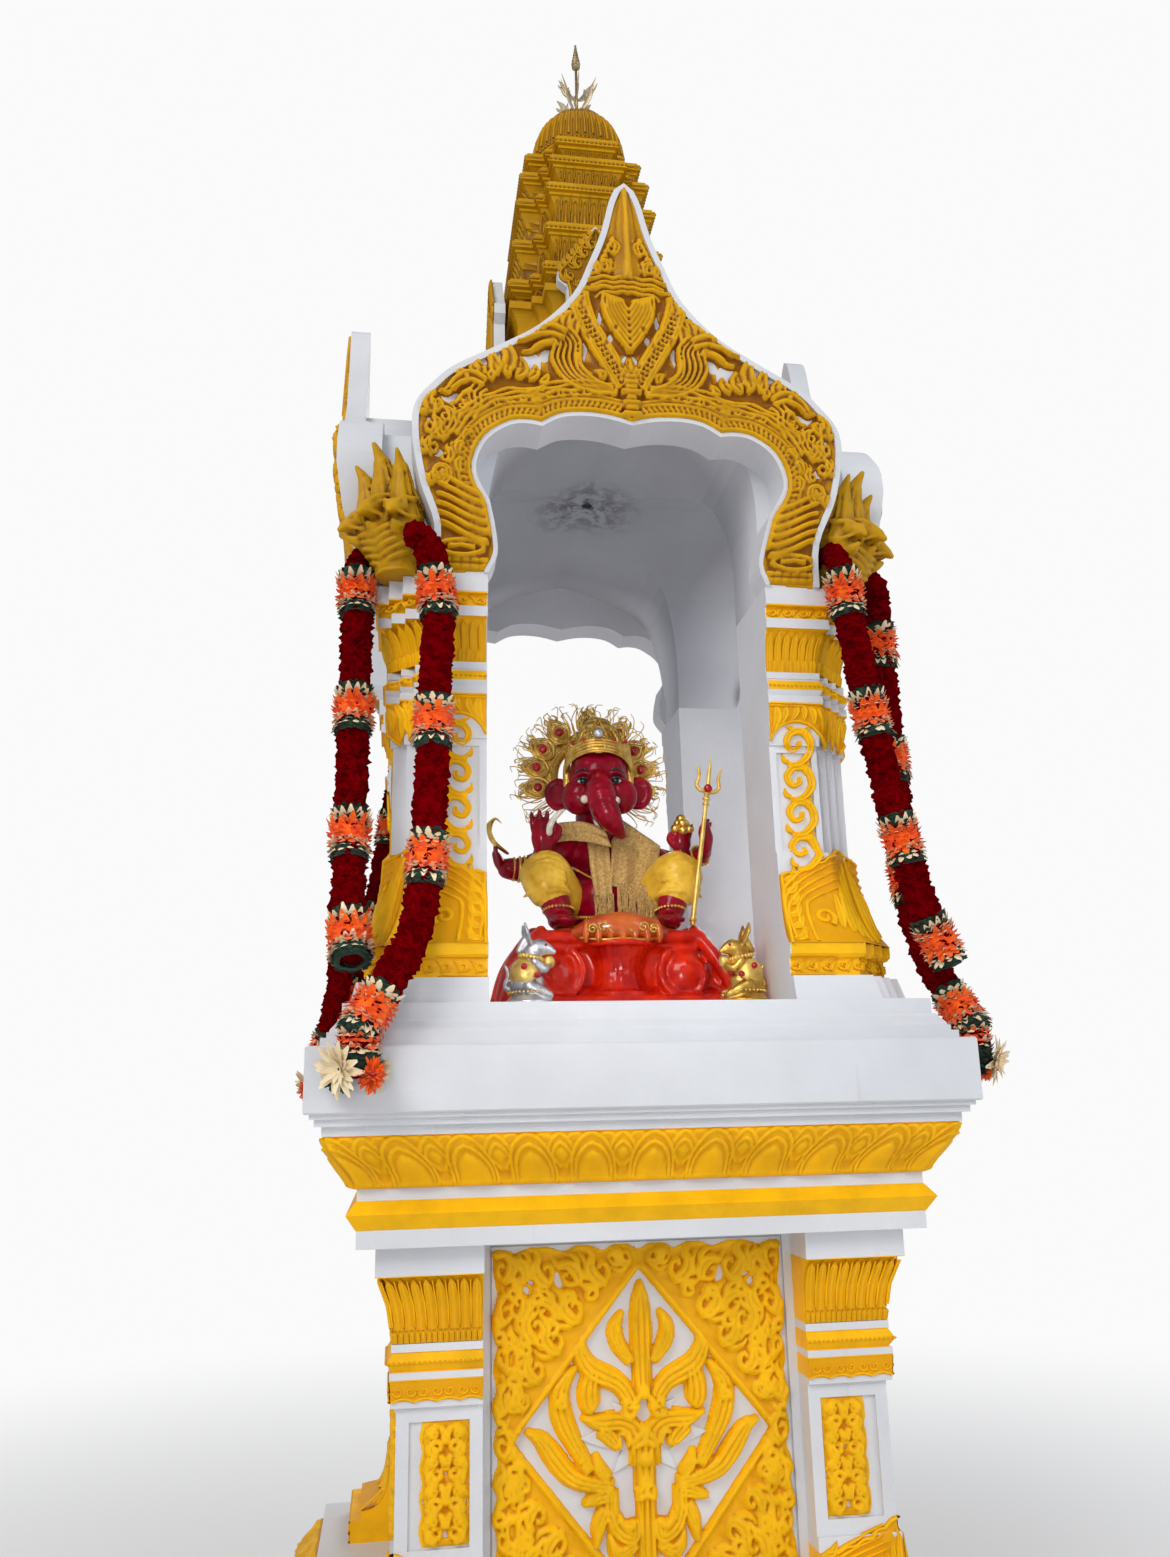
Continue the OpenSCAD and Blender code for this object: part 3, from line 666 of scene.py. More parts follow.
def paint_bumps(tree, bsdf, strength=0.5):
    """Bumps of trowelled plaster with a fine grain."""
    grain = noise(tree, 260.0, 3, 0.6)
    trowel = noise(tree, 22.0, 4, 0.5)
    bump(tree, bsdf, [(trowel.outputs["Fac"], strength * 0.5, 0.004),
        (grain.outputs["Fac"], strength, 0.0008)])


def rough_from(tree, bsdf, low, high, scale=30.0):
    """Roughness that varies between low and high."""
    node = noise(tree, scale, 3)
    span = tree.nodes.new("ShaderNodeMapRange")
    span.inputs["To Min"].default_value = low
    span.inputs["To Max"].default_value = high
    tree.links.new(node.outputs["Fac"], span.inputs["Value"])
    tree.links.new(span.outputs["Result"], bsdf.inputs["Roughness"])


def make_white(tint):
    """White paint, stained and worn."""
    material, tree, bsdf = node_tree("white_paint")
    tree.links.new(white_colour(tree, tint), bsdf.inputs["Base Color"])
    bsdf.inputs["Specular IOR Level"].default_value = 0.3
    rough_from(tree, bsdf, 0.35, 0.6)
    paint_bumps(tree, bsdf)
    return material


def make_roof(tint):
    """White paint with painted shade under the vaults, and smudges round the lamp hole."""
    material, tree, bsdf = node_tree("vault_paint_with_painted_shade")
    coords = tree.nodes.new("ShaderNodeTexCoord")
    parts = tree.nodes.new("ShaderNodeSeparateXYZ")
    tree.links.new(coords.outputs["Object"], parts.inputs[0])
    flat = tree.nodes.new("ShaderNodeCombineXYZ")
    for axis in ("X", "Y"):
        tree.links.new(parts.outputs[axis], flat.inputs[axis])
    far = tree.nodes.new("ShaderNodeVectorMath")
    far.operation = "LENGTH"
    tree.links.new(flat.outputs[0], far.inputs[0])
    # Painted shade: the white is darker inside the chamber, under the vaults, and lightens outside it
    stain_and_vault_shade = ramp(tree, far.outputs["Value"],
        [(0.0, (0.52, 0.525, 0.55)), (0.40, (0.60, 0.605, 0.63)), (0.52, (1, 1, 1))])
    patch = noise(tree, 26.0, 5, 0.7)
    near = ramp(tree, far.outputs["Value"], [(0.03, (1, 1, 1)), (0.16, (0, 0, 0))])
    dirt = ramp(tree, patch.outputs["Fac"], [(0.45, (0, 0, 0)), (0.58, (1, 1, 1))])
    spots = blend_colour(tree, 1.0, near.outputs[0], dirt.outputs[0], "MULTIPLY")
    paint = blend_colour(tree, 1.0, white_colour(tree, tint), stain_and_vault_shade.outputs[0], "MULTIPLY")
    tree.links.new(blend_colour(tree, spots, paint, (0.10, 0.10, 0.11)), bsdf.inputs["Base Color"])
    bsdf.inputs["Specular IOR Level"].default_value = 0.2
    rough_from(tree, bsdf, 0.45, 0.65)
    paint_bumps(tree, bsdf)
    return material


def make_yellow(name, tint, shade, relief=True):
    """Yellow paint with painted shade in its hollows."""
    material, tree, bsdf = node_tree(name)
    tree.links.new(yellow_colour(tree, tint, shade, relief), bsdf.inputs["Base Color"])
    bsdf.inputs["Specular IOR Level"].default_value = 0.16
    rough_from(tree, bsdf, 0.3, 0.55)
    paint_bumps(tree, bsdf, 0.7)
    return material


def make_sculpted(name, tint, shade):
    """Yellow paint for a round form, with painted shade where its surface is hollow."""
    material, tree, bsdf = node_tree(name)
    worn = yellow_colour(tree, tint, shade, relief=False)
    geometry = tree.nodes.new("ShaderNodeNewGeometry")
    # Painted shade: pointiness darkens the paint where the surface is hollow
    hollow = ramp(tree, geometry.outputs["Pointiness"], [(0.45, (0, 0, 0)), (0.515, (1, 1, 1))])
    tree.links.new(blend_colour(tree, hollow.outputs[0], shade, worn), bsdf.inputs["Base Color"])
    bsdf.inputs["Specular IOR Level"].default_value = 0.16
    rough_from(tree, bsdf, 0.3, 0.55)
    paint_bumps(tree, bsdf, 0.7)
    return material


def make_banded(name, tint, yellow, shade, bands, inner=None):
    """White paint with yellow bands between heights in millimetres.

    Faces nearer than inner to a middle plane stay white.
    """
    material, tree, bsdf = node_tree(name)
    white = white_colour(tree, tint)
    gold = yellow_colour(tree, yellow, shade, relief=False)
    coords = tree.nodes.new("ShaderNodeTexCoord")
    parts = tree.nodes.new("ShaderNodeSeparateXYZ")
    tree.links.new(coords.outputs["Object"], parts.inputs[0])
    low = min(b[0] for b in bands) - 50
    high = max(b[1] for b in bands) + 50
    span = tree.nodes.new("ShaderNodeMapRange")
    span.inputs["From Min"].default_value = low * MM
    span.inputs["From Max"].default_value = high * MM
    tree.links.new(parts.outputs["Z"], span.inputs["Value"])
    stops = [(0.0, (0, 0, 0))]
    for a, b in sorted(bands):
        stops.append(((a - low) / (high - low), (1, 1, 1)))
        stops.append(((b - low) / (high - low), (0, 0, 0)))
    mask = ramp(tree, span.outputs["Result"], stops, "CONSTANT").outputs[0]
    if inner is not None:
        sizes = []
        for axis in ("X", "Y"):
            size = tree.nodes.new("ShaderNodeMath")
            size.operation = "ABSOLUTE"
            tree.links.new(parts.outputs[axis], size.inputs[0])
            sizes.append(size)
        least = tree.nodes.new("ShaderNodeMath")
        least.operation = "MINIMUM"
        tree.links.new(sizes[0].outputs[0], least.inputs[0])
        tree.links.new(sizes[1].outputs[0], least.inputs[1])
        outside = tree.nodes.new("ShaderNodeMath")
        outside.operation = "GREATER_THAN"
        outside.inputs[1].default_value = (inner + 1.5) * MM
        tree.links.new(least.outputs[0], outside.inputs[0])
        both = tree.nodes.new("ShaderNodeMath")
        both.operation = "MULTIPLY"
        tree.links.new(mask, both.inputs[0])
        tree.links.new(outside.outputs[0], both.inputs[1])
        mask = both.outputs[0]
    tree.links.new(blend_colour(tree, mask, white, gold), bsdf.inputs["Base Color"])
    bsdf.inputs["Specular IOR Level"].default_value = 0.2
    rough_from(tree, bsdf, 0.32, 0.55)
    paint_bumps(tree, bsdf, 0.6)
    return material


def make_gloss(name, light, dark, coat=1.0, rough=0.18, scale=18.0):
    """Glossy lacquer that turns darker in patches."""
    material, tree, bsdf = node_tree(name)
    patch = noise(tree, scale, 4, 0.6)
    colour = ramp(tree, patch.outputs["Fac"], [(0.35, dark), (0.65, light)])
    tree.links.new(colour.outputs[0], bsdf.inputs["Base Color"])
    bsdf.inputs["Coat Weight"].default_value = coat
    bsdf.inputs["Specular IOR Level"].default_value = 0.12
    bsdf.inputs["Coat Roughness"].default_value = 0.06
    rough_from(tree, bsdf, rough, rough + 0.2)
    ripple = noise(tree, 60.0, 3)
    bump(tree, bsdf, [(ripple.outputs["Fac"], 0.25, 0.002)])
    return material


def make_metal(name, light, dark, rough=0.25, grain=120.0, metallic=1.0, depth=0.5):
    """Polished or aged metal that turns darker in patches."""
    material, tree, bsdf = node_tree(name)
    patch = noise(tree, 40.0, 5, 0.7)
    colour = ramp(tree, patch.outputs["Fac"], [(0.34, dark), (0.6, light)])
    tree.links.new(colour.outputs[0], bsdf.inputs["Base Color"])
    bsdf.inputs["Metallic"].default_value = metallic
    rough_from(tree, bsdf, rough, rough + 0.25)
    chased = noise(tree, grain, 4, 0.7)
    bump(tree, bsdf, [(chased.outputs["Fac"], depth, 0.0015)])
    return material


def make_cloth(name, light, dark, scale=500.0, sheen=0.4, rough=0.85, metallic=0.0):
    """Cloth or petals with a fine weave."""
    material, tree, bsdf = node_tree(name)
    patch = noise(tree, scale * 0.12, 4, 0.7)
    colour = ramp(tree, patch.outputs["Fac"], [(0.3, dark), (0.66, light)])
    tree.links.new(colour.outputs[0], bsdf.inputs["Base Color"])
    bsdf.inputs["Metallic"].default_value = metallic
    bsdf.inputs["Sheen Weight"].default_value = sheen
    bsdf.inputs["Specular IOR Level"].default_value = 0.2
    rough_from(tree, bsdf, rough - 0.15, rough, 80.0)
    weave = noise(tree, scale, 2)
    bump(tree, bsdf, [(weave.outputs["Fac"], 0.6, 0.001)])
    return material


MATERIALS = {}


class SpiritHouseColours(bpy.types.PropertyGroup):
    white: bpy.props.FloatVectorProperty(
        name="White", description="Colour of the white paint", subtype="COLOR",
        default=(0.72, 0.735, 0.77), min=0.0, max=1.0,
    )
    yellow: bpy.props.FloatVectorProperty(
        name="Yellow", description="Colour of the yellow paint", subtype="COLOR",
        default=(1.0, 0.53, 0.003), min=0.0, max=1.0,
    )
    # Painted shade: the darker yellow that the paint takes in the hollows of the carving
    yellow_painted_shade: bpy.props.FloatVectorProperty(
        name="Yellow in hollows", description="Colour of the yellow paint in deep carving",
        subtype="COLOR", default=(0.70, 0.29, 0.002), min=0.0, max=1.0,
    )
    crimson: bpy.props.FloatVectorProperty(
        name="Crimson", description="Colour of the seated figure", subtype="COLOR",
        default=(0.34, 0.0, 0.016), min=0.0, max=1.0,
    )


class SpiritHouseSizes(bpy.types.PropertyGroup):
    carving: bpy.props.FloatProperty(
        name="Carving depth", description="Height of the carved flames over their ground",
        default=0.008, min=0.003, max=0.015, unit="LENGTH",
    )
    leaf_pitch: bpy.props.FloatProperty(
        name="Cornice leaf pitch", description="Distance between two leaves of the cornice",
        default=0.109, min=0.05, max=0.2, unit="LENGTH",
    )
    flower_pitch: bpy.props.FloatProperty(
        name="Flower pitch", description="Distance between two flower rings of a garland",
        default=0.258, min=0.15, max=0.4, unit="LENGTH",
    )


def settings():
    """The scene's sizes and colours."""
    return bpy.context.scene.spirit_house_sizes, bpy.context.scene.spirit_house_colours


class SPIRIT_OT_paint(bpy.types.Operator):
    """Makes the materials and paints the frame"""

    bl_idname = "spirit_house.paint"
    bl_label = "Paint the Frame"

    def execute(self, context):
        _, colours = settings()
        white, yellow = tuple(colours.white), tuple(colours.yellow)
        shade = tuple(colours.yellow_painted_shade)
        crimson = tuple(colours.crimson)
        MATERIALS["white"] = make_white(white)
        # The yellow paint; its second colour is painted shade in the carving's hollows
        MATERIALS["yellow"] = make_yellow("yellow_paint", yellow, shade)
        # Ochre on the gables; its second colour is painted shade in the carving's hollows
        MATERIALS["ochre"] = make_yellow("ochre_paint", (0.76, 0.385, 0.003), (0.26, 0.09, 0.001))
        # Ochre darkened as painted shade over the whole tower; its second colour is deeper painted shade in
        # the hollows
        MATERIALS["tower"] = make_yellow("shaded_ochre_tower", (0.60, 0.30, 0.003), (0.20, 0.08, 0.002))
        # The tower's darkened ochre, as painted shade, on the frame's tower and naga parts, without hollows
        MATERIALS["plain"] = make_yellow("shaded_ochre_plain", (0.60, 0.31, 0.004), shade, False)
        MATERIALS["crimson"] = make_gloss("crimson_lacquer", crimson, tuple(c * 0.45 for c in crimson), 0.25,
            0.1)
        MATERIALS["red"] = make_gloss("orange_red_lacquer", (0.80, 0.026, 0.003), (0.46, 0.004, 0.002), 0.45)
        MATERIALS["gold"] = make_metal("gold_plate", (0.88, 0.58, 0.15), (0.48, 0.26, 0.03), 0.22, 220.0)
        MATERIALS["silver"] = make_metal("silver_paint", (0.78, 0.79, 0.82), (0.42, 0.43, 0.46), 0.25, 150.0)
        MATERIALS["bronze"] = make_metal("bronze", (0.50, 0.38, 0.20), (0.16, 0.12, 0.07), 0.4, 90.0)
        MATERIALS["brass"] = make_metal("pale_brass", (0.72, 0.60, 0.42), (0.36, 0.27, 0.15), 0.35, 90.0, 0.8)
        # Ochre darkened as painted shade on the nagas, with deeper painted shade where the surface is hollow
        MATERIALS["naga"] = make_sculpted("naga_paint_with_painted_shade", (0.60, 0.31, 0.003), (0.14, 0.05, 0.001))
        MATERIALS["brightgold"] = make_metal("bright_gold", (0.95, 0.70, 0.22), (0.70, 0.42, 0.08), 0.28,
            160.0, 0.75)
        MATERIALS["amber"] = make_gloss("orange_lacquer", (0.66, 0.14, 0.012), (0.48, 0.05, 0.006), 1.0, 0.2)
        MATERIALS["jewel"] = make_gloss("red_jewel", (0.55, 0.0, 0.012), (0.30, 0.0, 0.006), 1.0, 0.05)
        MATERIALS["satin"] = make_gloss("yellow_satin", (0.92, 0.57, 0.06), (0.56, 0.29, 0.012), 0.3, 0.3)
        MATERIALS["sequin"] = make_cloth("gold_sequins", (0.78, 0.52, 0.19), (0.34, 0.18, 0.04), 1500.0, 0.2,
            0.6, 0.35)
        MATERIALS["plush"] = make_cloth("red_plush", (0.18, 0.0, 0.002), (0.065, 0.0, 0.001), 420.0, 0.0, 1.0)
        MATERIALS["plush"].node_tree.nodes["Principled BSDF"].inputs["Specular IOR Level"].default_value = 0.0
        MATERIALS["leaf"] = make_cloth("dark_leaves", (0.022, 0.06, 0.035), (0.006, 0.018, 0.012), 300.0, 0.1,
            0.8)
        MATERIALS["orange"] = make_cloth("orange_petals", (1.0, 0.17, 0.006), (0.85, 0.07, 0.004), 300.0, 0.2,
            0.85)
        MATERIALS["cream"] = make_cloth("cream_petals", (0.93, 0.84, 0.60), (0.84, 0.62, 0.36), 300.0, 0.2,
            0.85)
        MATERIALS["ivory"] = make_gloss("ivory", (0.82, 0.76, 0.66), (0.62, 0.55, 0.46), 0.6, 0.25)
        MATERIALS["dark"] = make_gloss("dark_eye", (0.012, 0.008, 0.012), (0.004, 0.003, 0.004), 1.0, 0.08)
        bands = {
            "pedestal_base": ([(150, 235)], None),
            "pedestal_cornice": ([(SLAB - 304, SLAB - 256), (SLAB - 236, SLAB - 148)], None),
            "pedestal_pier": (
                [(PIER_FOOT, PIER_FOOT + 150), (SLAB - 586, SLAB - 551), (SLAB - 540, SLAB - 508),
                 (SLAB - 495, SLAB - 384)], None),
            "pillar": (
                [(FLOOR + 46, FLOOR + 246), (CAP - 275, CAP - 245), (CAP - 218, CAP - 196),
                 (CAP - 177, CAP - 88), (CAP - 67, CAP - 41)], 285),
        }
        made = {}
        for name, node in frame["nodes"].items():
            key = next((k for k in bands if name.startswith(k)), None)
            if key and key not in made:
                heights, inner = bands[key]
                made[key] = make_banded(key, white, yellow, shade, heights, inner)
            if key:
                paint = made[key]
            elif name.startswith(("tower_tier", "tower_body", "tower_dome", "naga")):
                paint = MATERIALS["plain"]
            elif name.startswith("garland"):
                paint = MATERIALS["plush"]
            elif name in ("statue_body", "statue_head"):
                paint = MATERIALS["crimson"]
            elif name == "throne":
                paint = MATERIALS["red"]
            elif name in ("statue_crown", "statue_trident", "mouse_gold"):
                paint = MATERIALS["gold"]
            elif name == "mouse_silver":
                paint = MATERIALS["silver"]
            elif name == "finial":
                paint = MATERIALS["bronze"]
            elif name in ("roof", "roof_vault", "chamber_roof"):
                paint = make_roof(white)
            elif name == "statue_shawl":
                paint = MATERIALS["sequin"]
            else:
                paint = MATERIALS["white"]
            node.data.materials.clear()
            node.data.materials.append(paint)
        return {"FINISHED"}


# Gables

GABLE_EDGE = catmull(
    [(400, 0), (393, 80), (424, 165), (440, 260), (434, 322), (400, 370), (357, 412), (264, 468),
     (186, 521), (116, 598), (80, 680), (53, 755), (34, 833), (18, 873), (0, 885)], 6)
ARCH_EDGE = np.vstack([
    catmull([(285, 0), (268, 34), (272, 75), (286, 132)], 6)[:-1],
    catmull([(286, 132), (311, 175), (312, 210), (292, 252), (250, 283), (215, 290), (183, 286)], 5)[:-1],
    catmull([(183, 286), (145, 308), (100, 315), (50, 312), (0, 300)], 6),
])


# White gaps in the carving: middle, half width, half height and tilt in degrees
GABLE_GAPS = (
    (202, 436, 17, 30, -18), (172, 452, 12, 18, 30), (262, 452, 8, 24, 30), (94, 470, 7, 40, 12),
    (118, 590, 5, 20, 0),
    (356, 338, 30, 13, 14), (392, 222, 16, 9, 20), (11, 446, 8, 20, 20), (58, 556, 5, 38, 12),
    (40, 500, 6, 30, 28),
    (330, 243, 8, 12, 0), (300, 420, 7, 14, 20), (406, 300, 6, 16, 10), (228, 420, 8, 12, 0),
    (64, 700, 5, 14, 12),
)


def gable_depth(v):
    """Distance of a gable's face from the middle, which grows with its height."""
    return np.interp(v, [0, 90, 180, 270], [506, 545, 572, 585])


def gable_ground():
    """Both halves of the yellow ground of a gable, between its arch and its rim."""
    r = Relief()
    inner = spaced(offset(ARCH_EDGE, -9.5), 6)
    inner[:, 0] = np.maximum(inner[:, 0], 0)
    outer = spaced(offset(GABLE_EDGE, 13.0), 6)
    outer[:, 0] = np.maximum(outer[:, 0], 0)
    n, m = 170, 26
    a = np.stack([np.interp(np.linspace(0, 1, n), np.linspace(0, 1, len(inner)), inner[:, i])
        for i in (0, 1)], 1)
    b = np.stack([np.interp(np.linspace(0, 1, n), np.linspace(0, 1, len(outer)), outer[:, i])
        for i in (0, 1)], 1)
    t = np.linspace(0, 1, m)[None, :, None]
    sheet = a[:, None, :] * (1 - t) + b[:, None, :] * t
    r.grid(np.concatenate([sheet, np.ones((n, m, 1))], axis=2))
    return r.mirrored()


def gable_relief(k):
    """Both halves of the carving of a gable, in millimetres over the capitals."""
    r = Relief(1.3)
    # border that follows the arch
    for far, half, high in ((14, 4.4, 8.0), (36, 4.2, 7.5), (45, 3.4, 7.0)):
        path = spaced(offset(ARCH_EDGE, -far), 8)
        path = path[(path[:, 0] > 0) & (path[:, 1] > 60)]
        r.stroke(path, half, high * k)
    row = spaced(offset(ARCH_EDGE, -25), 11.5)
    side = normals2d(row)
    for p, s in zip(row, side):
        if p[1] > 70 and p[0] > 24:
            d = np.array([-s[1], s[0]])
            q = catmull([p - s * 6 - d * 4, p, p + s * 6 + d * 4], 2)
            r.stroke(q, [2.0, 4.0, 4.4, 4.0, 2.0], 7.5 * k)
    # lantern pendant at the middle cusp
    for v, half, high in ((290, 9, 9), (306, 15, 12), (321, 19, 14), (335, 12, 13), (347, 17, 13),
                          (359, 10, 12), (372, 21, 13), (383, 12, 12), (395, 15, 12), (408, 9, 11)):
        r.stroke([(-0.01, v), (half * 0.5, v + 0.5), (half, v + 2)], [6, 6, 4.5], high * k)
    r.flame((0, 412), (0, 462), 15, 0, 10 * k, 0, RIDGED)
    r.flame((2, 312), (0, 280), 18, 0, 12 * k, 0, RIDGED)
    # plain spear keystone
    t = np.linspace(0, 1, 14)
    half = np.interp(t, [0, 0.05, 0.3, 0.7, 1], [27, 32, 24, 16, 5])
    v = 640 + t * 232
    spear = np.zeros((14, 4, 3))
    spear[:, :, 0] = half[:, None] * np.array([0, 0.35, 0.9, 1.0])
    spear[:, :, 1] = v[:, None] + np.array([0, 0, 3, 4])
    spear[:, :, 2] = np.array([16, 9, 4, 0]) * (1 - 0.4 * t)[:, None] * k
    r.grid(spear)
    # twisted ribbons under the keystone
    for v, half, far in ((644, 4.6, 92), (632, 4.2, 78), (620, 4.6, 96), (609, 3.4, 66)):
        u = np.linspace(0, far, 22)
        path = np.stack([u, v + 2.2 * np.sin(u / 6.5) - (u / far) ** 3 * 10], 1)
        r.stroke(path, half * (1 - 0.5 * (u / far) ** 4), 9 * k)
    for u, v, a, size in ((42, 656, 70, 40), (62, 650, 50, 40), (88, 636, 40, 36), (100, 612, 10, 34),
        (30, 700, 90, 44)):
        r.kanok((u, v), a, size, -1, 9 * k)
    for v in range(668, 740, 14):
        r.curl((0.8 * (740 - v) * 0.5 + 30, v), 6, 90, 1.1, 4.6, 8 * k)
    # shield with nested chevrons
    for i in range(7):
        drop = 134 - i * 17.5
        wide = 52 - i * 6.6
        top = 602 - i * 1.5
        path = catmull([(wide, top), (wide * 0.98, top - drop * 0.32), (wide * 0.55, top - drop * 0.68),
                        (0.01, top - drop)], 6)
        r.stroke(path, [4.6] * len(path), (12 - i * 0.5) * k)
    # two necks beside the shield, scaled between double rims
    neck = catmull([(104, 612), (102, 580), (88, 530), (62, 480), (38, 436), (18, 398), (10, 376)], 8)
    for far, half in ((19, 4.2), (-19, 4.2), (12, 2.6), (-12, 2.6)):
        r.stroke(offset(neck, far * 0.94)[2:-3], half, 10 * k)
    for i, (p, s) in enumerate(zip(spaced(neck, 12)[1:-1], normals2d(spaced(neck, 12))[1:-1])):
        for j in (-0.5, 0.5) if i % 2 else (-1, 0, 1):
            c = p + s * j * 8
            r.curl(c, 5.4, 20, 0.62, 4.4, 8 * k)
    r.flame((22, 398), (4, 462), 15, 0.1, 9 * k)
    r.flame((58, 398), (74, 424), 16, 0.2, 9 * k)
    # upper naga: striped neck, head facing out, crest along the rim
    body = catmull([(40, 374), (84, 384), (118, 408), (132, 444), (128, 478), (146, 500)], 7)
    grow = np.interp(np.linspace(0, 1, len(body)), [0, 0.3, 0.6, 1], [7, 20, 30, 20])
    for side in (-1.0, -0.6, -0.2, 0.2, 0.6, 1.0):
        line = body + normals2d(body) * (grow * side)[:, None]
        r.stroke(line, 3.6 if abs(side) == 1 else 2.6, (10.5 if abs(side) == 1 else 8.5) * k)
    steps = spaced(body, 8)
    for p, s in zip(steps[7:-2], normals2d(steps)[7:-2]):
        r.stroke([p + s * 20, p + s * 27], 2.2, 9 * k)
    head = catmull([(134, 494), (166, 504), (198, 494), (222, 478), (242, 474)], 6)
    r.stroke(head, 15 * flame_width(len(head), 0.8, 0.3), 14 * k, 0, GROOVED)
    r.stroke(catmull([(152, 480), (182, 472), (204, 456), (220, 452)], 5), np.linspace(9, 3, 16), 11 * k)
    r.bead(178, 504, 7, 18 * k)
    for u, v, du, dv in ((128, 500, -14, 62), (140, 512, -2, 44), (156, 514, 12, 28), (176, 512, 24, 10),
                         (112, 496, -20, 60), (96, 560, -6, 36)):
        r.flame((u, v), (u + du, v + dv), 20, -0.16, 10 * k, 0, GROOVED, 0.06)
    for u, v, rad in ((150, 530, 8), (128, 548, 8), (196, 506, 6)):
        r.curl((u, v), rad, 200, -1.2, 5, 9 * k)
    # flames between the two heads
    for base, tip, wide, bend in (((258, 396), (266, 486), 32, 0.16), ((234, 390), (226, 444), 24, 0.2),
                                  ((282, 390), (292, 456), 26, 0.14), ((210, 388), (196, 430), 20, 0.2),
                                  ((188, 382), (170, 408), 15, 0.2), ((306, 386), (322, 432), 20, 0.14),
                                  ((246, 392), (246, 424), 14, -0.2), ((270, 392), (276, 430), 14, -0.2)):
        r.flame(base, tip, wide, bend, 11 * k)
    for far, half in ((56, 4.6), (66, 3.8), (76, 3.2)):
        path = spaced(offset(ARCH_EDGE, -far), 9)
        path = path[(path[:, 0] > 22) & (path[:, 1] > 250)]
        wave = np.sin(np.arange(len(path)) * 0.9) * 2.0
        r.stroke(path + normals2d(path) * wave[:, None], half, 9 * k)
    for u in range(40, 300, 26):
        r.curl((u, 372 - 0.00055 * u * u), 9, 200, 1.1, 5.5, 9 * k)
    # lower naga head
    body = catmull([(300, 368), (318, 350), (316, 322), (330, 296)][::-1], 6)
    for side in (-1, 0, 1):
        r.stroke(offset(body, 11 * side), 3.2, 9 * k)
    head = catmull([(298, 372), (326, 384), (352, 372), (372, 350), (388, 350)], 6)
    r.stroke(head, 13 * flame_width(len(head), 0.8, 0.3), 13 * k, 0, GROOVED)
    r.stroke(catmull([(324, 356), (344, 342), (354, 328), (366, 322)], 5), np.linspace(7, 2.5, 16), 10 * k)
    r.bead(334, 382, 6, 16 * k)
    for u, v, du, dv in ((296, 384, 4, 40), (312, 394, 12, 26), (334, 392, 22, 12), (284, 380, -10, 30)):
        r.flame((u, v), (u + du, v + dv), 16, -0.16, 10 * k)
    # kanok flames on the bulge
    for u, v, a, size, hand in (
        (392, 298, 84, 62, 1), (368, 280, 70, 44, -1), (404, 252, 96, 52, -1), (376, 244, 84, 46, 1),
        (350, 276, 110, 40, 1), (400, 214, 90, 44, 1), (372, 196, 88, 40, -1), (350, 214, 120, 38, 1),
        (344, 178, 100, 40, 1), (410, 300, 100, 40, -1), (340, 244, 140, 34, 1), (336, 312, 60, 30, -1)):
        r.kanok((u, v), a, size, hand, 10 * k)
    r.curl((384, 176), 20, 250, -1.4, 10, 10 * k, 0, GROOVED)
    for i in range(5):
        r.flame((404 - 8 * i, 152 + 3 * i), (412 - 9 * i, 178 + 3 * i), 12, -0.1, 9 * k)
    # foot: long parallel flames over an oval scroll and a plain end band
    for i in range(6):
        v = 66 + i * 17
        path = catmull([(392 - i * 1.2, v + 24), (366, v + 16), (330, v - 2), (300, v - 12), (288, v - 10)],
            4)
        path[:, 0] = np.maximum(path[:, 0], 284 - 4)
        r.stroke(path, 6.2 * flame_width(len(path), 0.5, 0.3)[::-1] + 1.6, 10 * k)
    oval = [(340 + 44 * math.cos(a), 42 + 13 * math.sin(a)) for a in np.linspace(0.2, 6.0, 26)]
    r.stroke(oval, 4.2, 9 * k)
    r.stroke([(312, 42), (340, 46), (366, 43)], 4.2, 9 * k)
    for v, high in ((22, 6), (12, 3.5)):
        r.stroke([(286, v), (340, v), (394, v)], 3.6, high * k)
    return r.mirrored()


class SPIRIT_OT_gables(bpy.types.Operator):
    """Carves the four gables"""

    bl_idname = "spirit_house.gables"
    bl_label = "Carve the Gables"

    def execute(self, context):
        sizes, _ = settings()
        relief = gable_relief(sizes.carving / CARVING)
        ground = gable_ground()
        # mean and gain set the carving's painted shade: a low mean darkens it all, a high gain darkens its
        # grooves
        mesh = cast_mesh("gable_carving", relief, ground, GABLE_GAPS, upright(gable_depth, CAP), mean=3.0,
            gain=1.7)
        four_sides("gable_carving", mesh, MATERIALS["ochre"])
        return {"FINISHED"}


# Pillars and pedestal

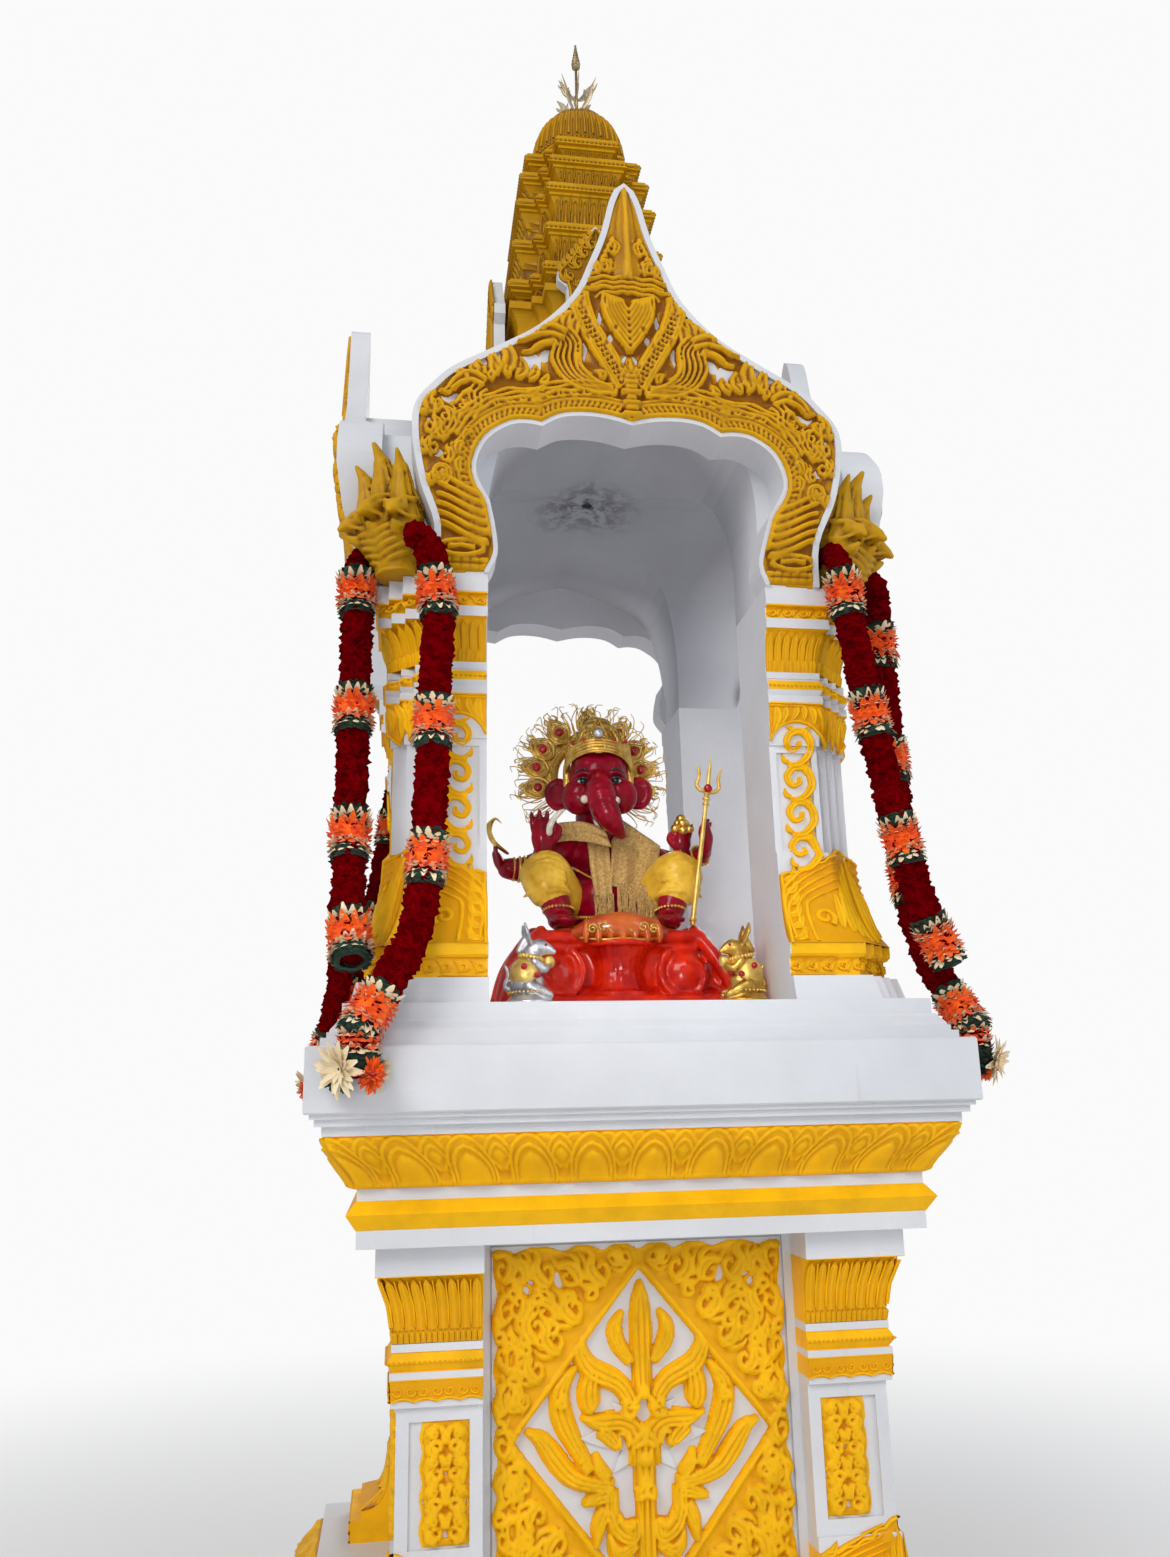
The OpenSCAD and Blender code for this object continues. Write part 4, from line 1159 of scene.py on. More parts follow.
PILLAR_PROFILE = (
    (0, 70), (46, 58), (46.1, 40), (81, 40), (81.1, 46), (88, 51), (108, 51), (125, 41), (150, 31),
    (180, 22.5), (215, 15.5), (250, 10.5), (292, 7), (292.1, 0), (512, 0), (512.1, 5), (598, 11),
    (598.1, 16), (616, 16), (616.1, 12), (635, 20), (652, 12), (666, 14), (666.1, 8), (700, 10),
    (725, 15), (745, 24), (755, 30), (755.1, 35), (776, 35), (776.1, 30), (802, 30), (802.1, 41),
    (843, 41),
)
PIER_PROFILE = (
    (0, 90), (45, 90), (45.1, 68), (62, 68), (62.1, 62), (65, 45.4), (73, 31.2), (87, 20.3), (104, 12.6),
    (126, 8.2), (150, 6.3), (175, 6), (175.1, 0), (418, 0), (418.1, 9), (460, 12), (473, 13), (475, 8),
    (489, 18),
    (505, 8), (518, 10), (518.1, 6), (560, 9), (590, 16), (612, 25), (629, 33), (629.1, 40),
    (679, 40),
)


def corner_place(profile, half, inner, reach, base, wrap=True):
    """Places relief on the outer face of a corner post.

    u runs from the inner edge to reach. Past the flat face it wraps over the stepped corner, or
    keeps to the front when wrap is off.
    """
    at, out = zip(*profile)
    flat = half if reach <= half and not wrap else 2 * reach - half

    def place(u, v, h):
        p = np.interp(v, at, out)
        x = inner + (u - inner) * (reach - inner + p) / (reach - inner)
        edge = flat + p
        over = np.clip(x - edge, 0, None) if wrap else 0 * x
        lean = np.where(over > 0, 0.7, 0.0)
        return x + h * lean, -(half + p - over + h * np.where(over > 0, 0.7, 1.0)), base + v

    return place


def both_hands(name, relief, place, material):
    """One relief on the eight outer faces of four corner posts."""
    pts = np.vstack(relief.points)
    x, y, z = place(pts[:, 0], pts[:, 1], pts[:, 2])
    co = np.stack([x, y, z], axis=1) * MM
    n = len(co)
    other = co * np.array([-1, 1, 1])
    faces = list(relief.faces) + [tuple(i + n for i in f[::-1]) for f in relief.faces]
    mesh = thinned(new_mesh(name, np.vstack([co, other]), faces, height=np.tile(pts[:, 2], 2)), 0.75)
    for i, side in enumerate(("front", "right", "back", "left")):
        new_object(f"{name}_{side}", mesh, material, 90 * i)


def leaf_foot(r, lo, hi, low, inner_top, peak, k):
    """Corner leaf on the foot of a post: a sheet with a slanting flame edge and fanned carving."""
    n = 26
    s = np.linspace(0, 1, n)
    u = lo + (hi - lo) * s
    top = inner_top + (peak - inner_top) * s**1.6 + 5 * np.abs(np.sin(s * 15))
    rows = np.linspace(0, 1, 9)
    pts = np.zeros((9, n, 3))
    pts[:, :, 0] = u
    pts[:, :, 1] = low + (top - low) * rows[:, None]
    pts[:, :, 2] = 2.0
    r.grid(pts)
    side = np.zeros((2, 14, 3))
    side[:, :, 0] = lo
    side[:, :, 1] = np.linspace(low, inner_top, 14)
    side[0, :, 2] = 2.0
    side[1, :, 2] = -16.0
    r.grid(side)
    edge = np.stack([u, top - 3], 1)
    r.stroke(edge, 3.0, 8 * k)
    wide, tall = hi - lo, peak - low
    r.stroke([(lo + 3, low), (lo + 3, (low + inner_top) / 2), (lo + 3, inner_top)], 2.8, 7 * k)
    c = (lo + 0.48 * wide, low + 0.27 * tall)
    r.curl(c, 0.13 * wide, -60, 1.3, 0.09 * wide, 8 * k)
    for i in range(5):
        f = 0.2 + 0.12 * i
        path = catmull([
            (c[0] - f * wide * 0.9, low + 4 + 3 * i), (c[0] - f * wide * 0.95, c[1] + 0.1 * tall),
            (c[0] - f * wide * 0.35, c[1] + (0.1 + f * 0.5) * tall),
            (c[0] + 0.34 * wide, c[1] + (0.18 + f * 0.72) * tall)], 5)
        path[:, 0] = np.clip(path[:, 0], lo + 3, hi - 3)
        path[:, 1] = np.clip(path[:, 1], low + 2, peak)
        r.stroke(path, 3.6 * flame_width(len(path), 0.6, 0.4) + 0.8, 7.5 * k)
    for i in range(4):
        x = hi - 4 - i * 0.1 * wide
        r.flame((x - 2, low + 6 + 8 * i), (x + 1, peak - 10 - i * 0.13 * tall), 0.12 * wide, 0.05 - 0.03 * i,
            8 * k)
    for i in range(6):
        r.flame((lo + 6, low + 0.12 * tall * i + 8), (lo + 0.2 * wide, low + 0.12 * tall * i + 0.2 * tall),
            0.12 * wide, -0.25, 7 * k)


def pillar_relief(k):
    """Carving of one outer face of a pillar, in millimetres over the chamber floor."""
    r = Relief()
    leaf_foot(r, 286, 424, 108, 246, 304, k)
    # carved strip under the leaf
    for u in range(296, 420, 24):
        r.curl((u, 66), 9, 200, 1.1, 5, 5 * k)
        r.flame((u + 6, 54), (u + 16, 78), 8, 0.2, 5 * k)
    for v in (50, 84):
        r.stroke([(286, v), (350, v), (424, v)], 2.4, 4 * k)
    # collar with hanging leaves
    arch = catmull([(286, 520), (296, 540), (314, 556), (340, 562), (364, 556), (384, 538), (404, 512)], 4)
    n = len(arch)
    rows = np.linspace(0, 1, 5)[:, None]
    pts = np.zeros((5, n, 3))
    pts[:, :, 0] = arch[:, 0]
    pts[:, :, 1] = arch[:, 1] + (598 - arch[:, 1]) * rows
    pts[:, :, 2] = 2.0
    r.grid(pts)
    r.stroke(arch, 3.0, 7 * k)
    for base, tip, wide in (((300, 592), (288, 532), 20), ((318, 592), (304, 550), 16),
        ((340, 594), (328, 562), 15),
                            ((352, 594), (352, 560), 14), ((366, 592), (374, 552), 16),
                            ((384, 592), (392, 534), 18),
                            ((402, 594), (406, 518), 18), ((418, 594), (420, 512), 16)):
        r.flame(base, tip, wide, 0.12, 7 * k)
    r.stroke([(286, 594), (350, 594), (424, 594)], 2.6, 7 * k)
    # bead band and lotus capital
    for i in range(17):
        r.bead(289 + 8.1 * i, 636, 3.3, 3.4 * k, 0, 6)
    for i in range(9):
        u = 294 + 15.6 * i
        r.petal(u, 667, 15.2, 84, 5.5 * k)
        r.petal(u + 7.8, 667, 11, 30, 8 * k, 0, 5)
    for i in range(5):
        r.curl((297 + 28 * i, 789), 8, 180, 1.2, 5, 5 * k)
        r.flame((304 + 28 * i, 782), (318 + 28 * i, 798), 8, 0.2, 5 * k)
    return r


def vine_relief(k):
    """Four broad scrolls from the foot leaf up to the collar of a pillar."""
    r = Relief()
    for i in range(4):
        v = 262 + i * 72
        stem = catmull([(322, v - 6), (350, v), (371, v + 26), (362, v + 58), (336, v + 62), (320, v + 44),
                        (328, v + 26), (344, v + 30), (345, v + 42)], 5)
        t = np.linspace(0, 1, len(stem))
        r.stroke(stem, np.interp(t, [0, 0.25, 0.6, 1], [5, 8.5, 7, 4.5]), 9 * k, 0, GROOVED)
        r.flame((362, v + 46), (374, v + 76), 12, 0.3, 8 * k)
        r.flame((326, v + 2), (314, v + 20), 11, 0.3, 8 * k)
        r.flame((334, v + 62), (318, v + 72), 10, -0.2, 8 * k)
    return r


def pier_relief(k):
    """Carving of one outer face of a pedestal pier, in millimetres over its foot."""
    r = Relief()
    leaf_foot(r, 292, 436, 62, 150, 196, k)
    for u in range(300, 430, 26):
        r.curl((u, 24), 9, 200, 1.1, 5, 5 * k)
        r.flame((u + 6, 12), (u + 18, 38), 9, 0.2, 5 * k)
    for v in (4, 42):
        r.stroke([(291, v), (360, v), (436, v)], 2.4, 4 * k)
    across = np.linspace(0, 1, 37)
    scallop = np.stack([291 + 145 * across, 428 + 5 * np.abs(np.sin(across * 4 * math.pi))], 1)
    n = len(scallop)
    rows = np.linspace(0, 1, 4)[:, None]
    pts = np.zeros((4, n, 3))
    pts[:, :, 0] = scallop[:, 0]
    pts[:, :, 1] = scallop[:, 1] + (460 - scallop[:, 1]) * rows
    pts[:, :, 2] = 2.0
    r.grid(pts)
    r.stroke(scallop, 2.6, 5 * k)
    for i in range(7):
        r.curl((302 + 20.5 * i, 444), 8.5, 180 if i % 2 else 0, 1.1 if i % 2 else -1.1, 4.4, 5 * k)
    for i in range(19):
        r.bead(294 + 7.8 * i, 489, 3.0, 3.2 * k, 0, 6)
    for i in range(8):
        u = 300.5 + 18.2 * i
        r.petal(u, 540, 17.6, 86, 6 * k, 0, 8)
        r.stroke([(u + 9.1, 545), (u + 9.1, 580), (u + 9.1, 622)], [1, 2.2, 1.2], 7 * k)
    for i in range(16):
        r.petal(295 + 9.3 * i, 519, 8.8, 20, 7 * k, 0, 5)
    return r


PANEL_GAPS = ((363.5, 318, 22, 8, 0), (363.5, 224, 22, 8, 0), (330, 271, 5, 9, 0), (397, 271, 5, 9, 0),
              (330, 364, 5, 8, 0), (397, 364, 5, 8, 0))


def pier_panel(k):
    """Ground and ornament of the sunk panel of a pier. Its edges are wavy."""
    mid, low, top = 363.5, 204.0, 398.0
    v = np.linspace(low, top, 60)
    wave = 38 + 5 * np.abs(np.sin((v - low) * math.pi / 47))
    ground = Relief()
    sheet = np.ones((60, 24, 3))
    sheet[:, :, 0] = mid + wave[:, None] * np.linspace(-1, 1, 24)
    sheet[:, :, 1] = v[:, None]
    ground.grid(sheet)
    half = Relief(1.35)
    for v in (208, 252, 296, 340):
        half.curl((15, v + 14), 13, -90, 1.3, 8, 8 * k, 0, GROOVED)
        half.curl((19, v + 36), 10, 120, -1.2, 7, 8 * k)
        half.flame((28, v), (37, v + 28), 14, 0.2, 8 * k)
        half.flame((27, v + 44), (38, v + 24), 13, -0.2, 8 * k)
        half.flame((3, v + 20), (14, v + 48), 12, 0.2, 9 * k)
    for v in (271, 364):
        half.bead(0, v, 8, 9 * k)
    r = Relief()
    for flip in (False, True):
        r.take(half, mid, 0, flip)
    both = []
    for part in (r, ground):
        other = Relief()
        other.take(part)
        other.take(part, 0, 0, True)
        both.append(other)
    return both


WALL_MID = 339.5
WALL_HALF = (269.0, 321.5)
LOZENGE = (234.0, 278.0)
WALL_GAPS = ((204, 339.5 + 250, 9, 16, 20), (204, 339.5 - 250, 9, 16, -20), (236, 339.5 + 136, 6, 14, 0),
             (236, 339.5 - 136, 6, 14, 0), (150, 339.5 + 262, 6, 13, -20), (150, 339.5 - 262, 6, 13, 20))
# Leaves inside the white lozenge, as rows of (u, height over the middle, half of the width)
LOZENGE_LEAVES = (
    ((56, -78, 9), (100, -72, 12), (136, -56, 15), (163, -25, 16), (184, 2, 12), (211, 17, 2)),
    ((98, -52, 10), (124, -10, 13), (142, 25, 17), (150, 55, 17), (146, 85, 13), (122, 116, 3)),
    ((24, 34, 10), (24, 58, 13), (44, 86, 15), (76, 102, 17), (98, 116, 16), (112, 142, 12), (106, 166, 3)),
    ((92, 108, 12), (98, 76, 18), (96, 52, 16), (92, 42, 5)),
    ((112, 34, 2), (78, 24, 13), (46, 24, 15), (22, 14, 17), (12, -14, 17), (12, -48, 16)),
    ((78, 14, 14), (56, -6, 12), (46, -20, 4)),
    ((88, -24, 2), (82, -48, 10), (66, -66, 9)),
    ((112, -104, 3), (86, -94, 12), (62, -88, 12)),
    ((62, -84, 11), (62, -118, 12), (50, -146, 14), (26, -158, 13), (22, -132, 10)),
    ((90, -170, 3), (84, -138, 11), (72, -112, 11)),
    ((0, 60, 14), (0, 120, 16), (0, 176, 18), (0, 222, 14), (0, 256, 2)),
    ((20, 120, 8), (42, 150, 12), (48, 178, 11), (34, 206, 2)),
    ((0, -20, 18), (0, -110, 16), (0, -176, 17), (0, -222, 14), (0, -254, 2)),
    ((20, -168, 9), (44, -184, 12), (58, -176, 10), (66, -152, 2)),
)


def wall_ground():
    """Yellow ground of the wall panel: the field round the white lozenge and the leafy lozenge in it."""
    r = Relief()
    turn = np.linspace(0, 2 * math.pi, 241)
    c, q = np.cos(turn), np.sin(turn)
    edge = 1 / (np.abs(c) / LOZENGE[0] + np.abs(q) / LOZENGE[1])
    frame = 1 / np.maximum(np.abs(c) / WALL_HALF[0], np.abs(q) / WALL_HALF[1])
    frame = frame * (1 - 0.03 * np.abs(np.sin(turn * 15)) ** 3)
    reach = edge + (np.maximum(frame, edge) - edge) * np.linspace(0, 1, 40)[:, None]
    r.grid(np.stack([reach * c, WALL_MID + reach * q, np.ones_like(reach)], axis=2))
    for leaf in LOZENGE_LEAVES:
        line = catmull([(u, WALL_MID + v, w) for u, v, w in leaf], 6)
        for hand in (-1, 1):
            r.stroke(line[:, :2] * (hand, 1), line[:, 2] + 2.5, 1)
    return r


def wall_relief(k):
    """Carving of the wall panel: scrolls and flames outside and inside a white lozenge."""
    r = Relief(1.2)
    (wide, tall), (half_u, half_v) = WALL_HALF, LOZENGE
    for y in (WALL_MID - tall + 5, WALL_MID + tall - 5):
        r.stroke([(0, y), (130, y), (wide - 4, y)], 3.6, 5 * k)
    r.stroke(spaced([(half_u + 8, WALL_MID), (4, WALL_MID + half_v + 6)], 12), 3.4, 5.5 * k)
    r.stroke(spaced([(half_u + 8, WALL_MID), (4, WALL_MID - half_v - 6)], 12), 3.4, 5.5 * k)
    for i in range(9):
        y = WALL_MID + (i - 4) * 72
        hand = 1 if i % 2 else -1
        r.kanok((wide - 20, y - 26), 92, 62, hand, 9 * k)
        r.curl((wide - 24 - 12 * hand, y + 30), 15, 90, 1.25 * hand, 10, 8 * k, 0, GROOVED)
    for sign in (-1, 1):
        for u, dv, a, size, hand in (
            (16, 296, 40, 46, 1), (62, 262, 64, 70, 1), (112, 262, 40, 66, -1), (166, 262, 70, 68, 1),
            (212, 268, 60, 60, -1),
            (112, 200, 60, 66, 1), (152, 208, 30, 62, -1), (148, 150, 62, 62, 1), (190, 168, 80, 66, 1),
            (226, 206, 96, 60, -1),
            (186, 104, 70, 56, 1), (222, 116, 96, 56, 1), (214, 58, 80, 50, 1), (242, 66, 100, 44, -1),
            (240, 150, 90, 46, -1)):
            r.kanok((u, WALL_MID + sign * (dv - 8)), a * sign, size, hand * sign, 9.5 * k)
        for u, dv, rad, start, turns in ((92, 238, 15, 40, 1.2), (134, 232, 13, 200, -1.2),
            (188, 236, 15, 90, -1.2),
                                         (164, 182, 14, 40, 1.2), (212, 148, 13, 0, 1.2),
                                         (40, 300, 11, 0, 1.2)):
            r.curl((u, WALL_MID + sign * dv), rad, start * sign, turns * sign, 9, 9 * k, 0, GROOVED)
    for leaf in LOZENGE_LEAVES:
        line = catmull([(u, WALL_MID + v, w) for u, v, w in leaf], 6)
        size = line[:, 2]
        r.stroke(line[:, :2], size / r.bold, (3 + 0.16 * size) * k)
        for far in (-0.62, 0.0, 0.62):
            groove = offset(line[:, :2], far * size)
            r.stroke(groove, 0.13 * size, (6 + 0.22 * size) * k)
    for u, v, rad, start, turns in ((24, 44, 17, 90, -1.2), (40, -8, 13, 60, 1.1), (34, -134, 14, 0, 1.2),
        (150, 62, 11, 90, 1.1)):
        r.curl((u, WALL_MID + v), rad, start, turns, 9, 11 * k, 0, GROOVED)
    for v in (-84, 0, 60):
        r.flame((24, WALL_MID + v - 14), (0.1, WALL_MID + v + 34), 20, 0.2, 12 * k)
    r.bead(0, WALL_MID - 36, 14, 14 * k, 0, 12)
    return r.mirrored()


def leaf_row(half, base, tall, pitch, k, down=False):
    """Row of broad leaves, each of nested arches round a dome, with tips of two rows behind them."""
    r = Relief()
    count = int(round(half / pitch))
    step = half / count
    sign = -1 if down else 1
    t = np.linspace(0, 1, 13)
    s = np.linspace(-1, 1, 9)

    def layer(u, wide, low, top, edge, dome, rim):
        across = wide * step * np.clip(1 - t**3, 0, 1) ** 0.7
        if low > 0:
            across = across * np.clip(0.25 + 1.6 * t, 0, 1)
        up = base + sign * tall * (low + (top - low) * t)
        pts = np.zeros((13, 9, 3))
        pts[:, :, 0] = u + across[:, None] * s
        pts[:, :, 1] = up[:, None]
        pts[:, :, 2] = k * (edge + dome * (1 - s**2) * np.sin(math.pi * np.clip(0.12 + 0.8 * t, 0, 1))[:,
            None])
        r.grid(pts[:, ::-1] if down else pts)
        if rim:
            path = np.concatenate([np.stack([u - across, up], 1), np.stack([u + across, up], 1)[-2::-1]])
            r.stroke(path, 0.022 * step, k * rim)

    for i in range(4 * count + 1):
        u = 0.25 * i * step
        if i % 4 == 0:
            layer(u, 0.37, 0, 1.0, 2.4, 0.4, 4.6)
            layer(u, 0.31, 0, 0.78, 3.6, 0.4, 6.0)
            layer(u, 0.255, 0, 0.62, 4.6, 4.2, 0)
        elif i % 4 == 2:
            layer(u, 0.25, 0.02, 1.0, 0.8, 0.5, 2.6)
            layer(u, 0.17, 0.3, 0.8, 1.6, 0.6, 3.6)
            layer(u, 0.11, 0.45, 0.68, 2.4, 1.8, 0)
        else:
            layer(u, 0.13, 0.75, 0.99, 0.2, 0.6, 1.5)
    return r


class SPIRIT_OT_posts(bpy.types.Operator):
    """Carves the pillars, the piers, the walls and the mouldings of the pedestal"""

    bl_idname = "spirit_house.posts"
    bl_label = "Carve Pillars and Pedestal"

    def execute(self, context):
        sizes, _ = settings()
        k = sizes.carving / CARVING
        yellow = MATERIALS["yellow"]
        place = corner_place(PILLAR_PROFILE, PILLAR_FACE, 285, 424.5, FLOOR)
        both_hands("pillar_carving", pillar_relief(k), place, yellow)
        at, out = zip(*PILLAR_PROFILE)

        def on_shaft(u, v, h):
            sunk = np.clip(np.minimum(v - 294, 510 - v) / 6, 0, 1)
            return u, -(PILLAR_FACE + (1 - sunk) * np.interp(v, at, out) - 6 * sunk + h), FLOOR + v

        both_hands("pillar_vine", vine_relief(k), on_shaft, yellow)
        place = corner_place(PIER_PROFILE, PIER_FACE, 290, PIER_FACE, PIER_FOOT, wrap=False)
        both_hands("pier_carving", pier_relief(k), place, yellow)
        carving, ground = pier_panel(k)
        mesh = cast_mesh("pier_panel", carving, ground, PANEL_GAPS,
                         lambda u, v, h: (u - 11 * np.sign(u), -(PANEL_FACE + h), PIER_FOOT + v), 2.6, 2.0,
                         2.6)
        four_sides("pier_panel", mesh, yellow)
        mesh = cast_mesh("wall_carving", wall_relief(k), wall_ground(), WALL_GAPS,
                         lambda u, v, h: (u, -(WALL_FACE + h), PIER_FOOT + v), 6.2, 2.0, 2.9, 0.33, 1.5, 5.0)
        four_sides("wall_carving", mesh, yellow)
        t = np.linspace(0, 1, 9)
        heights = -236 + 88 * t
        outs = -86 + 52 * (1 - np.cos(math.pi * t)) / 2
        row = leaf_row(545, -234, 84, sizes.leaf_pitch / MM, k)

        def cornice(u, v, h):
            out = np.interp(v, heights, outs)
            side = 600 + out + 0.5 * h
            return np.clip(u * (600 + out) / 545.0 * 0.99, -side, side), -(600 + out + h), SLAB + v

        # The last two numbers set the painted shade: a lower level darkens the leaves under the cove, and
        # their grooves darken more
        mesh = cast_mesh("cornice_leaves", row.mirrored(), strip(548, -234, -151), (), cornice, 0.8, 1.5, 2.6,
            0.3, 2.0, 3.5, 1.8)
        four_sides("cornice_leaves", mesh, yellow)
        foot = leaf_row(640, 84, 82, sizes.leaf_pitch / MM, k, True)
        fh = np.linspace(150, 235, 9)
        fo = -22 - 58 * (1 - np.cos(math.pi * t)) / 2

        def flare(u, v, h):
            out = np.interp(150 + v, fh, fo)
            side = 680 + out + 0.5 * h
            return np.clip(u * (680 + out) / 640.0 * 0.99, -side, side), -(680 + out + h), 150 + v

        # The last two numbers set the painted shade of these leaves and their grooves
        mesh = cast_mesh("foot_leaves", foot.mirrored(), strip(640, 3, 84), (), flare, 0.8, 1.5, 3.2, 0.25,
            2.0, 3.5, 1.8)
        four_sides("foot_leaves", mesh, yellow)
        return {"FINISHED"}


def strip(half, low, top):
    """Plain ground of a moulding."""
    r = Relief()
    u, v = np.meshgrid(np.linspace(-half, half, 120), np.linspace(low, top, 12), indexing="ij")
    r.grid(np.stack([u, v, np.ones_like(u)], axis=2))
    return r


def naga_solid():
    """Three hooded heads side by side on one throat, with tall crests. They face along -Y."""
    s = Solid()
    rise = np.array([1.0, 14, 32, 54, 78, 104])
    back = np.array([32.0, 31, 26, 14, 0, -8])
    wide = np.array([42.0, 45, 54, 64, 70, 62])
    deep = np.array([42.0, 44, 48, 50, 46, 34])
    turn = np.linspace(0, 2 * math.pi, 28, endpoint=False)
    s.rings(np.stack([np.outer(wide, np.sin(turn)), back[:, None] - np.outer(deep, np.cos(turn)),
                      rise[:, None] + 0 * turn], axis=2))

    def on_throat(a, up, out=0.0):
        x = (np.interp(up, rise, wide) + out) * math.sin(a)
        return (x, np.interp(up, rise, back) - (np.interp(up, rise, deep) + out) * math.cos(a), up)

    for up, r in ((5, 4.5), (14, 3.0)):
        s.tube([on_throat(a, up) for a in np.linspace(-1.9, 1.9, 24)], r, 8, smooth=False)
    for low, tilt in ((18, 16), (30, 18), (43, 19), (57, 19), (71, 18)):
        for side in (-1, 1):
            line = [on_throat(side * a, low + tilt * a) for a in np.linspace(0.02, 1.6, 10)]
            s.tube(line, [3, 4, 4.4, 4.4, 4.2, 4, 3.6, 3, 2, 1], 8, smooth=False)
    for hand in (-1, 0, 1):
        k = 1.12 if hand == 0 else 1.0
        t = math.radians(22 * hand)
        c, q = math.cos(t), math.sin(t)

        def at(out, side, up):
            x, y = side * k + 42 * hand, -out * k
            return (42 * hand + (x - 42 * hand) * c - y * q, (x - 42 * hand) * q + y * c, up * k)

        s.tube([at(-16, 0, 62), at(2, 0, 88), at(8, 0, 118)], [32 * k, 35 * k, 34 * k], 18)
        # jaws: a beak that turns down over a short lower jaw
        s.tube([at(0, 0, 112), at(32, 0, 114), at(56, 0, 106), at(70, 0, 94)],
            [33 * k, 25 * k, 16 * k, 7 * k], 16, 4, 0.9)
        s.tube([at(14, 0, 78), at(36, 0, 76), at(50, 0, 80)], [20 * k, 12 * k, 5 * k], 14)
        for side in (-1, 1):
            s.ball(at(42, side * 19, 119), (7.5, 7.5, 6.5), 8, 12)
            s.tube([at(62, side * 8, 116), at(46, side * 20, 129), at(20, side * 30, 136),
                at(-4, side * 32, 150)], [2.5, 4.6, 5.5, 2], 10)
            s.tube([at(62, side * 9, 98), at(40, side * 20, 95), at(16, side * 31, 98),
                at(-8, side * 34, 112)], [2, 3.6, 4.6, 3], 8)
        # crest: broad at its foot with a hollow back edge, and its tip leans out
        horn = s.tube([at(-16, 0, 112), at(-2, 0, 138), at(8, 0, 164), at(13, 0, 190), at(22, 0, 216),
            at(40, 0, 240)],
                      [46 * k, 37 * k, 28 * k, 21 * k, 14 * k, 5 * k], 20, flat=0.78, up=(c, q, 0))
        s.ribs(horn, range(0, 360, 30), 2.0, 0.0, 0.8)
    return s


class SPIRIT_OT_nagas(bpy.types.Operator):
    """Sculpts the naga clusters on the corners"""

    bl_idname = "spirit_house.nagas"
    bl_label = "Sculpt the Nagas"

    def execute(self, context):
        mesh = naga_solid().fused("naga", (0, 0, 0), 3.0, 1, keep=0.2)
        co = np.zeros(len(mesh.vertices) * 3)
        mesh.vertices.foreach_get("co", co)
        co = co.reshape(-1, 3)
        turn = math.radians(-45)
        spot = np.array([-NAGA_AT, -NAGA_AT, CAP]) * MM
        flat = co.copy()
        flat[:, 0] = co[:, 0] * math.cos(turn) - co[:, 1] * math.sin(turn)
        flat[:, 1] = co[:, 0] * math.sin(turn) + co[:, 1] * math.cos(turn)
        mesh.vertices.foreach_set("co", (flat + spot).ravel())
        mesh.update()
        for i, corner in enumerate(("front_left", "front_right", "back_right", "back_left")):
            obj = new_object(f"naga_heads_{corner}", mesh, MATERIALS["naga"], 90 * i)
            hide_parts(f"naga_{corner}")
        return {"FINISHED"}


# From the tassel up the front, round the naga and down the side, from the foot of the naga
NAGA_AT = 483.0
GARLAND_ROUTE = (
    (-29, -151, -973), (-23, -149, -893), (17, -129, -818), (58, -113, -738), (81, -101, -618),
    (89, -94, -458), (93, -91, -278), (98, -90, -118), (81, -85, 12), (59, -73, 50),
    (51, -32, 72), (49, 18, 80), (37, 37, 82), (-26, 51, 75), (-57, 50, 46),
    (-60, 44, -10), (-57, 31, -118), (-57, -12, -420), (-55, -60, -650), (-45, -109, -768),
)


def petals(solid_or_relief, centre, along, far, length, width, count, rise, rng, rows=3):
    """Ring of thin petals round a line through centre."""
    z = Vector(along).normalized()
    x = z.orthogonal().normalized()
    y = z.cross(x)
    x, y, z = np.array(x), np.array(y), np.array(z)
    for i in range(count):
        a = 2 * math.pi * (i + rng.uniform(-0.3, 0.3)) / count
        out = math.cos(a) * x + math.sin(a) * y
        across = -math.sin(a) * x + math.cos(a) * y
        tall = length * rng.uniform(0.8, 1.1)
        lean = rise + rng.uniform(-0.25, 0.25)
        t = np.linspace(0, 1, rows + 1)
        line = np.asarray(centre) + far * out + np.outer(t * tall, out) + np.outer(t**1.5 * tall * lean, z)
        half = 0.5 * width * np.sin(math.pi * (0.2 + 0.72 * t))
        cup = 0.25 * width * np.sin(math.pi * t)
        left = line - np.outer(half, across) + np.outer(cup, z)
        right = line + np.outer(half, across) + np.outer(cup, z)
        pts = np.empty((rows + 1, 3, 3))
        pts[:, 0], pts[:, 1], pts[:, 2] = left, line, right
        solid_or_relief.grid(pts)


